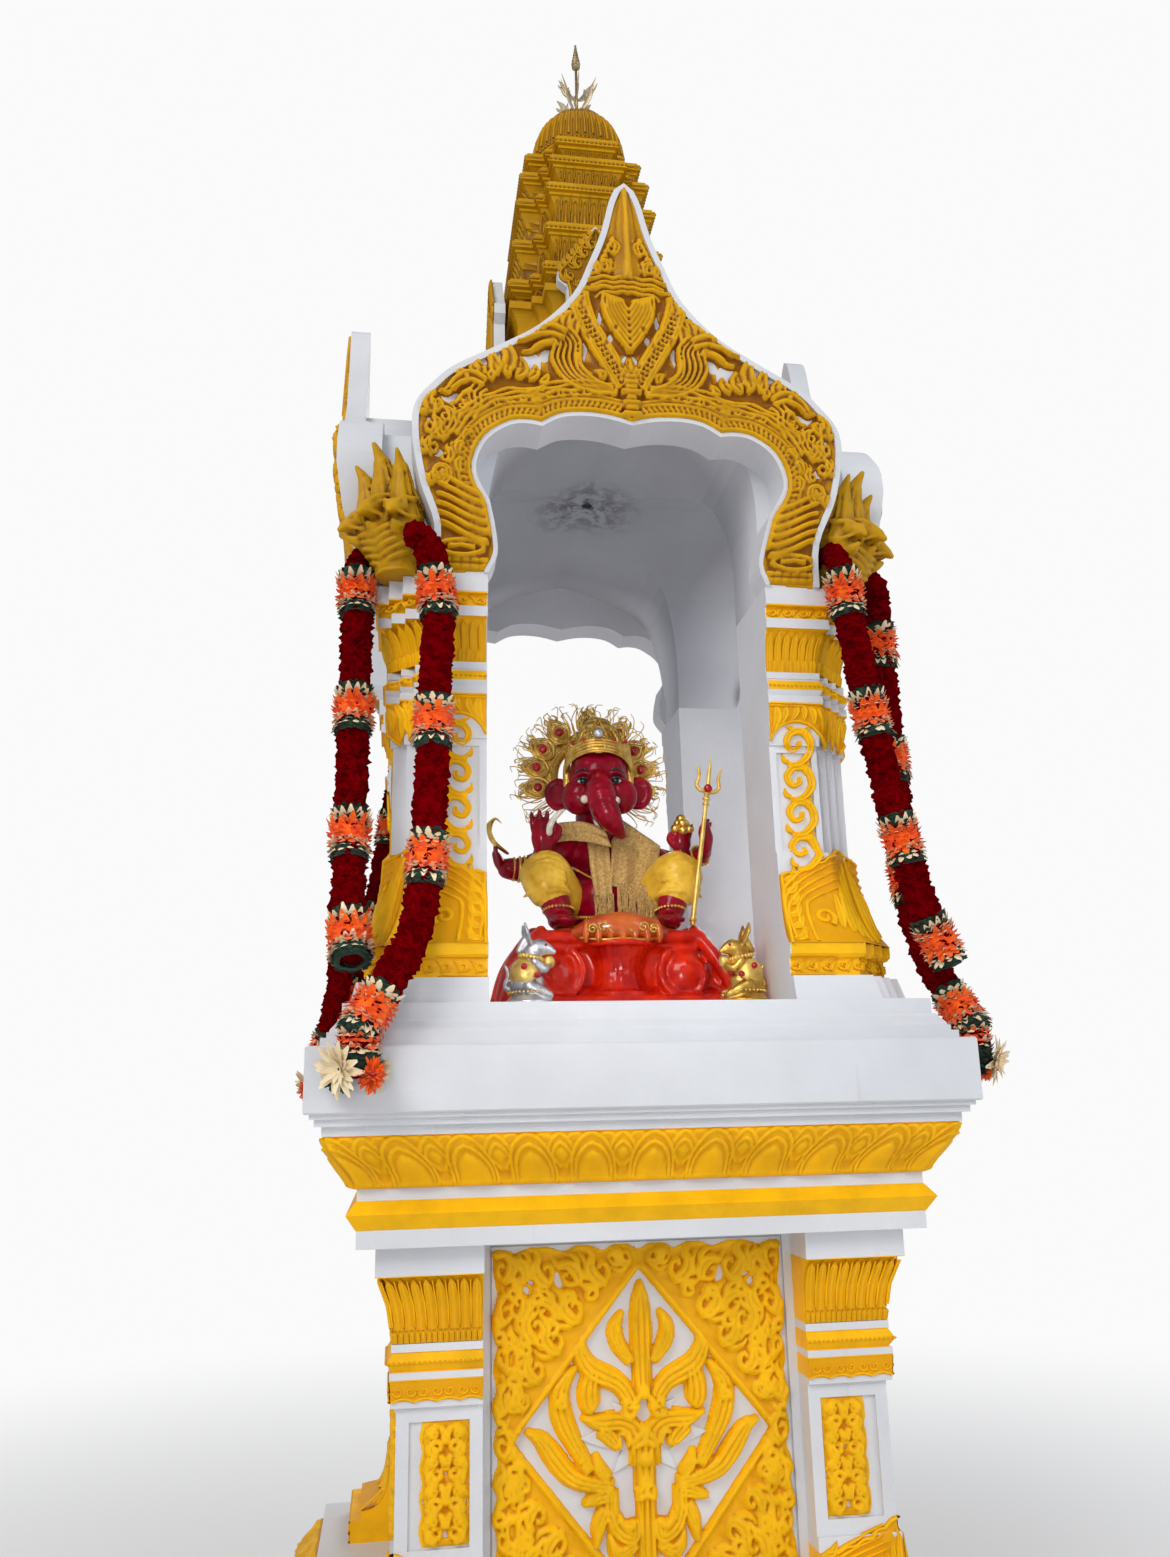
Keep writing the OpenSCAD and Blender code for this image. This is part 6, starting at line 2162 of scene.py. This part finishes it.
class SPIRIT_OT_figure(bpy.types.Operator):
    """Sculpts the seated figure with its crown, shawl and trident"""

    bl_idname = "spirit_house.figure"
    bl_label = "Sculpt the Figure"

    def execute(self, context):
        at = (FIGURE_X, 0, SEAT)
        rng = np.random.default_rng(5)
        body = new_object("figure_body", body_solid().fused("figure_body", at, 3.2, 2, 0.24),
            MATERIALS["crimson"])
        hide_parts("statue_body")
        for side, hand in (("left", -1), ("right", 1)):
            leg = leg_solid(hand).fused("satin_leg_" + side, at, 3.0, 1)
            new_object("satin_leg_" + side, leg, MATERIALS["satin"])
        head = new_object("figure_head", head_solid().fused("figure_head", at, 2.8, 2), MATERIALS["crimson"])
        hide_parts("statue_head")
        crown = new_object("crown_diadem", thinned(crown_solid().mesh("crown_diadem", at), 0.7),
            MATERIALS["gold"])
        gold, wires, jewels = halo_solids(rng)
        new_object("halo_lobes", thinned(gold.mesh("halo_lobes", at), 0.6), MATERIALS["gold"])
        new_object("halo_wires", wires.mesh("halo_wires", at), MATERIALS["brightgold"])
        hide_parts("statue_crown")
        for turn in (-50, -26, 26, 50):
            t = math.radians(turn + HEAD_TURN)
            jewels.ball((HEAD_SHIFT[0] + 80 * math.sin(t), -24 - 80 * math.cos(t), 436), (5, 4, 5), 8, 12)
        # eyes, tusks and beads
        eyes, whites, bone, clear, beads = Solid(), Solid(), Solid(), Solid(), Solid()
        for hand in (-1, 1):
            whites.ball((hand * 38, -95, 337), (12.5, 8.2, 5.2), 10, 16)
            eyes.ball((hand * 37, -99.5, 337), (8.6, 5.8, 5.8), 10, 16)
            eyes.tube([(hand * 22, -102, 338), (hand * 40, -104, 344), (hand * 60, -88, 337)],
                [1.6, 3.2, 1.4], 8)
            eyes.tube([(hand * 22, -103, 335), (hand * 40, -103, 330), (hand * 58, -90, 334)],
                [1.0, 2.0, 1.0], 8)
            eyes.tube([(hand * 20, -104, 356), (hand * 38, -106, 364), (hand * 60, -86, 356)],
                [1.0, 2.4, 0.8], 8)
            bone.ball((hand * 35, -128 - 3 * hand, 285 - 3 * hand), (9.5, 10, 9.5), 10, 14)
        for part in (whites, eyes, bone):
            part.placed(HEAD_TURN, NECK, HEAD_SHIFT)
        beads.ring(np.array([0, -110, 447.0]), 15, 3.0, (0, -1, 0), beads=14)
        clear.ball((0, -112, 447), (12, 8, 12), 8, 12)
        for part in (beads, clear):
            part.placed(HEAD_TURN, NECK, HEAD_SHIFT)
        for hand in (-1, 1):
            beads.ring(np.array([hand * 124.0, -116, 36.0]), 33, 4, (0, 0.2, 1), beads=26)
        bone.tube([(-144, -128, 208), (-143, -134, 222), (-134, -138, 238), (-122, -138, 251),
            (-112, -136, 258)], [7, 7, 6.5, 6, 3], 12)
        beads.ring(np.array([-152, -40, 150.0]), 28, 4.2, (-0.02, -0.75, 0.55), beads=24)
        for c, r in (((-184, 30, 156), 29), ((-195, 29, 156), 28), ((-208, 28, 156), 25)):
            beads.ring(np.array(c, float), r, 3.8, (-1, 0, 0.05), 8, 26)
        beads.ring(np.array([161, -46, 153.0]), 28, 4.0, (0.1, -0.8, 0.4), beads=22)
        beads.ring(np.array([206, -90, 168.0]), 23, 3.8, (0.3, -0.8, 0.3), beads=20)
        beads.tube([(-226, 8, 190), (-258, -4, 214), (-268, -8, 246), (-254, -10, 266), (-240, -10, 256)],
            [6, 9, 8, 5, 1.5], 10, 4, 0.5)
        waist = [(108 * math.sin(a), 18 - 106 * math.cos(a), 40 - 14 * math.cos(a))
            for a in np.linspace(-0.95, 0.95, 34)]
        for p in waist:
            beads.ball(p, 4.6, 6, 9)
        # necklace drop lines over the belly
        for lo, hi in ((-0.95, -0.35),):
            for a in np.linspace(lo, hi, 14):
                z = 150 - 60 * (a + 0.95)
                beads.ball((96 * math.sin(a), torso_y(96 * math.sin(a), z, 3), z), 3, 5, 8)
        for p in ((148, -104, 226), (164, -108, 222), (180, -102, 226), (156, -100, 238), (171, -100, 238),
            (163, -98, 250),
                  (163, -112, 236)):
            beads.ball(p, (12, 11, 11), 8, 12)
        new_object("figure_jewels", jewels.mesh("figure_jewels", at), MATERIALS["jewel"])
        new_object("figure_eye_whites", whites.mesh("figure_eye_whites", at), MATERIALS["ivory"])
        new_object("figure_eyes", eyes.mesh("figure_eyes", at), MATERIALS["dark"])
        new_object("figure_tusks", bone.mesh("figure_tusks", at), MATERIALS["ivory"])
        new_object("figure_clear_jewel", clear.mesh("figure_clear_jewel", at), MATERIALS["silver"])
        new_object("figure_gold_trim", beads.mesh("figure_gold_trim", at), MATERIALS["gold"])
        self.shawl(at, rng)
        self.trident(at)
        return {"FINISHED"}

    def shawl(self, at, rng):
        """Collar, hanging strip and wide panel of sequin cloth; the strip and the panel each have a fringe.
        """
        strap = [(-124, -10, 232), (-92, -46, 230), (-50, -76, 222), (-6, -94, 204)]
        rings = band(strap, [44, 48, 52, 46],
            [(0.3, 0, -1), (0.25, -0.2, -1), (0.2, -0.2, -1), (0.3, -0.2, -1)], rng)
        s = Solid()
        s.rings(rings)
        collar = new_object("shawl_collar", s.mesh("shawl_collar", at), MATERIALS["sequin"])
        z = np.array([212, 178, 140, 104, 72])
        left = np.stack([np.array([-24, -23, -22, -20, -18.0]), torso_y(-16, z, 9), z], 1)
        rings = band(left, [46, 47, 46, 42, 38], [(1, 0.05, 0)] * 5, rng)
        s = Solid()
        s.rings(rings)
        strip = new_object("shawl_strip", s.mesh("shawl_strip", at), MATERIALS["sequin"])
        fringe = Solid()
        for i in range(22):
            self.thread(fringe, -38 + 1.9 * i, 78, 10 + rng.uniform(-8, 8), rng)
        tassels = new_object("shawl_strip_fringe", fringe.mesh("shawl_strip_fringe", at), MATERIALS["sequin"])
        # wide panel on the right
        rows, cols = 24, 27
        t = np.linspace(0, 1, rows)[:, None]
        u = np.linspace(0, 1, cols)[None, :]
        left_x, left_z = 8 - 10 * t, 206 - 108 * t
        right_x, right_z = 126 - 22 * t, 200 - 108 * t
        x = left_x * (1 - u) + right_x * u
        peak = np.interp(u, [0, 0.24, 1], [0, 1, 0])
        zz = left_z * (1 - u) + right_z * u + 58 * peak * (1 - t) ** 1.6
        y = np.minimum(torso_y(x, zz, 11), -38 - 30 * t) - 3.5 * np.sin(u * 17 + t * 3) * (0.3 + t)
        top = np.stack([x, y, zz], axis=2)
        low = top + np.array([0, 4.5, 0])
        s = Solid()
        s.rings(np.concatenate([top, low[:, ::-1]], axis=1))
        panel = new_object("shawl_panel", s.mesh("shawl_panel", at), MATERIALS["sequin"])
        fringe = Solid()
        for i in range(54):
            f = (i + 0.5) / 54
            x0, z0 = 12 + 92 * f, 104 - 6 * f
            self.thread(fringe, x0, z0, 8 + rng.uniform(-8, 10), rng, 12, 78)
        tassels = new_object("shawl_panel_fringe", fringe.mesh("shawl_panel_fringe", at), MATERIALS["sequin"])
        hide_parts("statue_shawl")

    def thread(self, s, x, z0, z1, rng, grow=8, front=0.0):
        """Adds one thread of a fringe in front of the belly."""
        z = np.linspace(z0, z1, 7)
        bend = np.cumsum(rng.normal(0, 0.9, 7)) + 1.2 * np.sin(z * 0.25 + x)
        y = np.minimum(torso_y(x, z, grow), -front)
        path = np.stack([x + bend, y - 2 + rng.uniform(-3, 1), z], 1)
        s.tube(path, [1.5, 1.5, 1.5, 1.5, 1.5, 1.4, 0.8], 6, smooth=False)

    def trident(self, at):
        """Leaning shaft with rings and three prongs, and the jewel between them."""
        lean = math.radians(9)
        foot = np.array([164.0, -160, 2])
        up = np.array([math.sin(lean), 0, math.cos(lean)])
        out = np.array([math.cos(lean), 0, -math.sin(lean)])
        s = Solid()
        s.tube([foot, foot + up * 180, foot + up * 306], [6.2, 5.2, 4.6], 14)
        for z, r in ((8, 8), (272, 7.5), (284, 8.5), (296, 7)):
            s.ring(foot + up * z, 4.5, r - 3.5, tuple(up), 8, 20)
        s.tube([foot + up * 302, foot + up * 346, foot + up * 384], [5.5, 4.5, 0.8], 10)
        for side in (-1, 1):
            pts = [(2, 306), (14, 302), (26, 314), (22, 332), (25, 350), (30, 362)]
            s.tube([foot + up * z + out * side * x for x, z in pts], [4, 4.6, 4.6, 4.2, 3, 0.8], 10)
        obj = new_object("trident_shaft", s.mesh("trident_shaft", at), MATERIALS["brightgold"])
        gem = Solid()
        gem.ball(foot + up * 308 + np.array([0, -5, 0]), (10, 9, 10), 9, 14)
        new_object("trident_jewel", gem.mesh("trident_jewel", at), MATERIALS["jewel"])
        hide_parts("statue_trident")


def throne_solid():
    """Stepped seat with a ribbed drum, scrolled bosses and sloping wings."""
    s = Solid()
    w, d = 262, 222
    s.block((-w, -d, 0), (w, d, 24), 0.985)
    s.block((-w + 20, -d + 22, 20), (w - 20, d - 10, 60), 0.86)
    s.block((-w + 74, -d + 70, 50), (w - 74, d - 20, 160), 0.97)
    s.block((-w + 70, -d + 56, 142), (w - 70, d - 16, 176), 1.0)
    # rolled upper edge and foot edge
    for z, r, y, x in ((168, 15, -d + 62, w - 84), (28, 13, -d + 18, w - 26)):
        s.tube([(-x, y, z), (0, y - 3, z), (x, y, z)], r, 14)
        for hand in (-1, 1):
            s.tube([(hand * x, y, z), (hand * (x + 4), 0, z), (hand * x, -y, z)], r, 14)
    # ribbed drum with a waist in the middle of the front
    drum = [(74, 22), (72, 40), (58, 70), (52, 92), (56, 118), (70, 146), (78, 160)]
    s.lathe((0, -d + 86, 0), drum, 72, 24, 0.035)
    for z, r in ((44, 76), (150, 80)):
        s.ring((0, -d + 86, z), r, 7, (0, 0, 1), 10, 48)
    # scrolled bosses beside the drum
    for hand in (-1, 1):
        x = hand * 140
        s.ball((x, -d + 74, 84), (58, 56, 60), 16, 26)
        spiral = [(x + hand * (62 - 36 * t) * math.cos(2.2 + 5.6 * t), -d + 22 + 20 * (1 - t) - 6 * t,
                   84 + (62 - 36 * t) * math.sin(2.2 + 5.6 * t)) for t in np.linspace(0, 1, 26)]
        s.tube(spiral, np.linspace(10, 5, 26), 10, smooth=False)
        # sloping wing with a thick lip
        s.tube([(hand * 168, -150, 182), (hand * 204, -186, 120), (hand * 238, -204, 52),
            (hand * 250, -208, 18)],
               [13, 16, 17, 15], 14)
        s.tube([(hand * 172, -70, 176), (hand * 214, -80, 112), (hand * 246, -90, 40)], [26, 28, 18], 14)
        s.tube([(hand * 172, 60, 176), (hand * 214, 66, 112), (hand * 246, 70, 40)], [26, 28, 18], 14)
        s.block((min(hand * 150, hand * 232), -188, 18), (max(hand * 150, hand * 232), 190, 130), 0.72)
        for y in (-128, -20, 96):
            s.ball((hand * 222, y, 74), (22, 44, 44), 12, 18)
    return s


def drape_solid():
    """Orange cloth with gold scrolls that hangs over the front of the seat."""
    cloth, gold = Solid(), Solid()
    cloth.tube([(-92, -168, 176), (-50, -184, 184), (0, -190, 188), (50, -184, 184), (92, -168, 176)],
               [16, 26, 30, 26, 16], 20, 5)
    cloth.ball((0, -100, 184), (150, 92, 15), 12, 30)
    for i in range(7):
        x = -72 + 24 * i
        cloth.tube([(x, -150, 200), (x * 1.04, -196, 196), (x * 1.1, -210, 168 - 4 * (i % 2)),
            (x * 1.1, -206, 152)], [5, 7, 8, 5], 10)
    for i in range(7):
        x = -66 + 22 * i
        c = np.array([x, -208.0, 178 + 4 * (i % 2)])
        a = np.linspace(0, 2 * math.pi * 1.4, 18)
        r = np.linspace(11, 3, 18)
        gold.tube([c + (r[j] * math.cos(a[j]), -4 - 3 * math.sin(a[j] / 2), r[j] * math.sin(a[j]))
            for j in range(18)], 2.6, 7, smooth=False)
    gold.tube([(-88, -188, 162), (-44, -208, 156), (0, -214, 158), (44, -208, 156), (88, -188, 162)], 3.2, 8)
    return cloth, gold


def mouse_solids():
    """Upright mouse with an offering in its paws: body, cloak and jewels, facing +X."""
    body, cloak, jewels = Solid(), Solid(), Solid()
    body.lathe((0, 0, 0), [(50, 0), (50, 5), (46, 9), (48, 13), (42, 18), (38, 24)], 32)
    body.ball((-4, 2, 48), (34, 32, 30), 12, 18)
    body.ball((4, 0, 82), (25, 24, 28), 12, 18)
    body.tube([(6, 0, 108), (20, -4, 116), (34, -8, 114), (46, -12, 108)], [21, 19, 12, 5], 14)
    body.ball((47, -12, 109), 4.4, 7, 10)
    for hand in (-1, 1):
        body.tube([(0, hand * 14, 128), (-8, hand * 20, 148), (-10, hand * 22, 158)], [12, 15, 8], 12, 4,
            0.35, (1, 0, 0.2))
        body.tube([(8, hand * 22, 88), (24, hand * 20, 74), (36, hand * 8, 82)], [9, 8, 7], 10)
        body.tube([(-2, hand * 24, 40), (20, hand * 26, 30), (36, hand * 22, 24)], [15, 12, 8], 12)
        jewels.ball((30, hand * 13 - 6, 121), 3.0, 6, 9)
    body.tube([(-30, 8, 34), (-46, 10, 44), (-40, 12, 66), (-46, 12, 84)], [7, 6, 5, 3], 9)
    body.tube([(-20, 0, 112), (-6, 0, 134), (4, 0, 122)], [7, 8, 4], 9)
    cloak.ball((-8, 0, 66), (31, 34, 34), 12, 20)
    cloak.ring(np.array([3, -1, 98.0]), 23, 4.4, (0.2, 0, 1), beads=20)
    cloak.ball((38, -2, 90), (12, 12, 13), 9, 12)
    for z in (30, 8):
        cloak.ring(np.array([0, 0, float(z)]), 42 if z > 20 else 50, 2.6, beads=32)
    for p in ((12, -30, 62), (-14, -33, 78), (10, 30, 62), (28, -6, 68)):
        jewels.ball(p, 6.5, 8, 12)
    return body, cloak, jewels


class SPIRIT_OT_throne(bpy.types.Operator):
    """Builds the throne with its cloth and the two mice"""

    bl_idname = "spirit_house.throne"
    bl_label = "Build the Throne and the Mice"

    def execute(self, context):
        at = (FIGURE_X, 0, FLOOR)
        throne = new_object("throne_body", throne_solid().fused("throne_body", at, 4.2, 2, 0.22),
            MATERIALS["red"])
        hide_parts("throne")
        cloth, gold = drape_solid()
        new_object("throne_cloth", cloth.fused("throne_cloth", at, 3.6, 1), MATERIALS["amber"])
        new_object("throne_scrolls", gold.mesh("throne_scrolls", at), MATERIALS["gold"])
        for name, x, hand in (("silver", -195, 1), ("gold", 232, -1)):
            body, cloak, jewels = mouse_solids()
            for part, what, paint, kind in ((body, "body", name, name + "_metal"),
                (cloak, "cloak", "brightgold", "gold_metal"), (jewels, "jewels", "jewel", "red_lacquer")):
                for p in part.points:
                    p[:, 0] *= hand
                if hand < 0:
                    part.faces = [f[::-1] for f in part.faces]
                spot = (x, -372, FLOOR)
                label = f"mouse_{name}_{what}"
                mesh = part.fused(label, spot, 2.0, 1) if what == "body" else part.mesh(label, spot)
                obj = new_object(label, mesh, MATERIALS[paint])
                if what == "body":
                    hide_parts(f"mouse_{name}")
        return {"FINISHED"}


class SPIRIT_OT_stage(bpy.types.Operator):
    """Adds the floor, lights and camera"""

    bl_idname = "spirit_house.stage"
    bl_label = "Set the Stage"

    def execute(self, context):
        scene = context.scene
        bpy.ops.mesh.primitive_plane_add(size=60)
        floor = context.object
        floor.name = "stage_floor"
        material, tree, bsdf = node_tree("stage_floor")
        bsdf.inputs["Base Color"].default_value = (0.82, 0.82, 0.82, 1)
        bsdf.inputs["Roughness"].default_value = 0.9
        # the floor fades to the white of the background away from the object
        coords = tree.nodes.new("ShaderNodeTexCoord")
        far = tree.nodes.new("ShaderNodeVectorMath")
        far.operation = "LENGTH"
        tree.links.new(coords.outputs["Object"], far.inputs[0])
        fade = tree.nodes.new("ShaderNodeMapRange")
        fade.interpolation_type = "SMOOTHSTEP"
        fade.inputs["From Min"].default_value = 1.0
        fade.inputs["From Max"].default_value = 4.6
        tree.links.new(far.outputs["Value"], fade.inputs["Value"])
        ray = tree.nodes.new("ShaderNodeLightPath")
        seen = tree.nodes.new("ShaderNodeMath")
        seen.operation = "MULTIPLY"
        tree.links.new(fade.outputs["Result"], seen.inputs[0])
        tree.links.new(ray.outputs["Is Camera Ray"], seen.inputs[1])
        plain = tree.nodes.new("ShaderNodeEmission")
        plain.inputs["Color"].default_value = (0.96, 0.96, 0.96, 1)
        both = tree.nodes.new("ShaderNodeMixShader")
        end = next(n for n in tree.nodes if n.type == "OUTPUT_MATERIAL")
        tree.links.new(seen.outputs[0], both.inputs[0])
        tree.links.new(bsdf.outputs[0], both.inputs[1])
        tree.links.new(plain.outputs[0], both.inputs[2])
        tree.links.new(both.outputs[0], end.inputs["Surface"])
        floor.data.materials.append(material)
        floor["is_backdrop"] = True
        for name, place, aim, size, power, colour in (
            ("key", (-3.6, -5.2, 5.6), (0, 0, 1.8), 3.2, 238, (1.0, 0.97, 0.93)),
            ("fill", (4.6, -4.4, 3.2), (0, 0, 1.7), 3.6, 90, (0.93, 0.96, 1.0)),
            ("back", (2.4, 5.0, 4.8), (0, 0, 2.2), 3.0, 120, (1.0, 0.98, 0.95)),
            ("chamber", (-0.7, -2.5, 1.5), (0.02, 0, 1.72), 0.5, 0.6, (1.0, 0.97, 0.93)),
            ("low", (-0.9, -3.6, 0.5), (0, -0.4, 0.6), 1.6, 0.8, (1.0, 0.98, 0.95)),
        ):
            data = bpy.data.lights.new(name, "AREA")
            data.size = size
            data.energy = power
            data.color = colour
            if name in ("chamber", "low"):
                data.spread = math.radians(30)
            lamp = bpy.data.objects.new(name, data)
            scene.collection.objects.link(lamp)
            lamp.location = place
            lamp.rotation_euler = (Vector(aim) - Vector(place)).to_track_quat("-Z", "Y").to_euler()
            lamp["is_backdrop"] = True
        world = bpy.data.worlds.new("studio")
        scene.world = world
        world.use_nodes = True
        tree = world.node_tree
        tree.nodes.clear()
        out = tree.nodes.new("ShaderNodeOutputWorld")
        soft = tree.nodes.new("ShaderNodeBackground")
        soft.inputs["Color"].default_value = (0.90, 0.94, 1.0, 1)
        soft.inputs["Strength"].default_value = 0.5
        plain = tree.nodes.new("ShaderNodeBackground")
        plain.inputs["Color"].default_value = (0.96, 0.96, 0.96, 1)
        plain.inputs["Strength"].default_value = 1.0
        path = tree.nodes.new("ShaderNodeLightPath")
        mix = tree.nodes.new("ShaderNodeMixShader")
        tree.links.new(path.outputs["Is Camera Ray"], mix.inputs[0])
        tree.links.new(soft.outputs[0], mix.inputs[1])
        tree.links.new(plain.outputs[0], mix.inputs[2])
        tree.links.new(mix.outputs[0], out.inputs[0])
        data = bpy.data.cameras.new("camera")
        camera = bpy.data.objects.new("camera", data)
        scene.collection.objects.link(camera)
        yaw, pitch, roll = math.radians(8.99), math.radians(15.15), math.radians(-1.28)
        ahead = Vector((math.sin(yaw), math.cos(yaw), 0))
        right = Vector((math.cos(yaw), -math.sin(yaw), 0))
        up = Vector((0, 0, 1))
        look = ahead * math.cos(pitch) + up * math.sin(pitch)
        top = up * math.cos(pitch) - ahead * math.sin(pitch)
        x_axis = right * math.cos(roll) + top * math.sin(roll)
        y_axis = top * math.cos(roll) - right * math.sin(roll)
        rows = Matrix((x_axis, y_axis, -look)).transposed()
        camera.matrix_world = Matrix.Translation((-0.4511, -2.7310, 1.1702)) @ rows.to_4x4()
        data.sensor_fit = "VERTICAL"
        data.sensor_height = 36.0
        data.lens = 36.0 * 1214.78 / 1557.0
        data.clip_end = 200.0
        camera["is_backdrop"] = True
        scene.camera = camera
        scene.view_settings.view_transform = "Standard"
        return {"FINISHED"}


class SPIRIT_PT_panel(bpy.types.Panel):
    """Sizes, colours and steps of the spirit house"""

    bl_label = "Spirit House"
    bl_idname = "SPIRIT_PT_panel"
    bl_space_type = "VIEW_3D"
    bl_region_type = "UI"
    bl_category = "Spirit House"

    def draw(self, context):
        sizes, colours = settings()
        for group in (sizes, colours):
            for name in group.bl_rna.properties.keys():
                if name not in ("rna_type", "name"):
                    self.layout.prop(group, name)
        for step in STEPS:
            self.layout.operator(step.bl_idname)


STEPS = (
    SPIRIT_OT_paint,
    SPIRIT_OT_gables,
    SPIRIT_OT_posts,
    SPIRIT_OT_nagas,
    SPIRIT_OT_garlands,
    SPIRIT_OT_tower,
    SPIRIT_OT_figure,
    SPIRIT_OT_throne,
    SPIRIT_OT_stage,
)
CLASSES = (SpiritHouseColours, SpiritHouseSizes, *STEPS, SPIRIT_PT_panel)


def register():
    """Adds the classes and the scene's settings."""
    for cls in CLASSES:
        bpy.utils.register_class(cls)
    bpy.types.Scene.spirit_house_sizes = bpy.props.PointerProperty(type=SpiritHouseSizes)
    bpy.types.Scene.spirit_house_colours = bpy.props.PointerProperty(type=SpiritHouseColours)


def unregister():
    """Takes the classes and the settings out again."""
    del bpy.types.Scene.spirit_house_colours
    del bpy.types.Scene.spirit_house_sizes
    for cls in reversed(CLASSES):
        bpy.utils.unregister_class(cls)


def plain_bounds():
    return json.loads(json.dumps(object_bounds(), default=lambda v: [float(x) for x in v]))


def main():
    """Runs every step on the frame."""
    register()
    before = plain_bounds()
    for step in STEPS:
        area, name = step.bl_idname.split(".")
        getattr(getattr(bpy.ops, area), name)()
    {"frame": before, "finished": plain_bounds()}


if __name__ == "__main__":
    main()
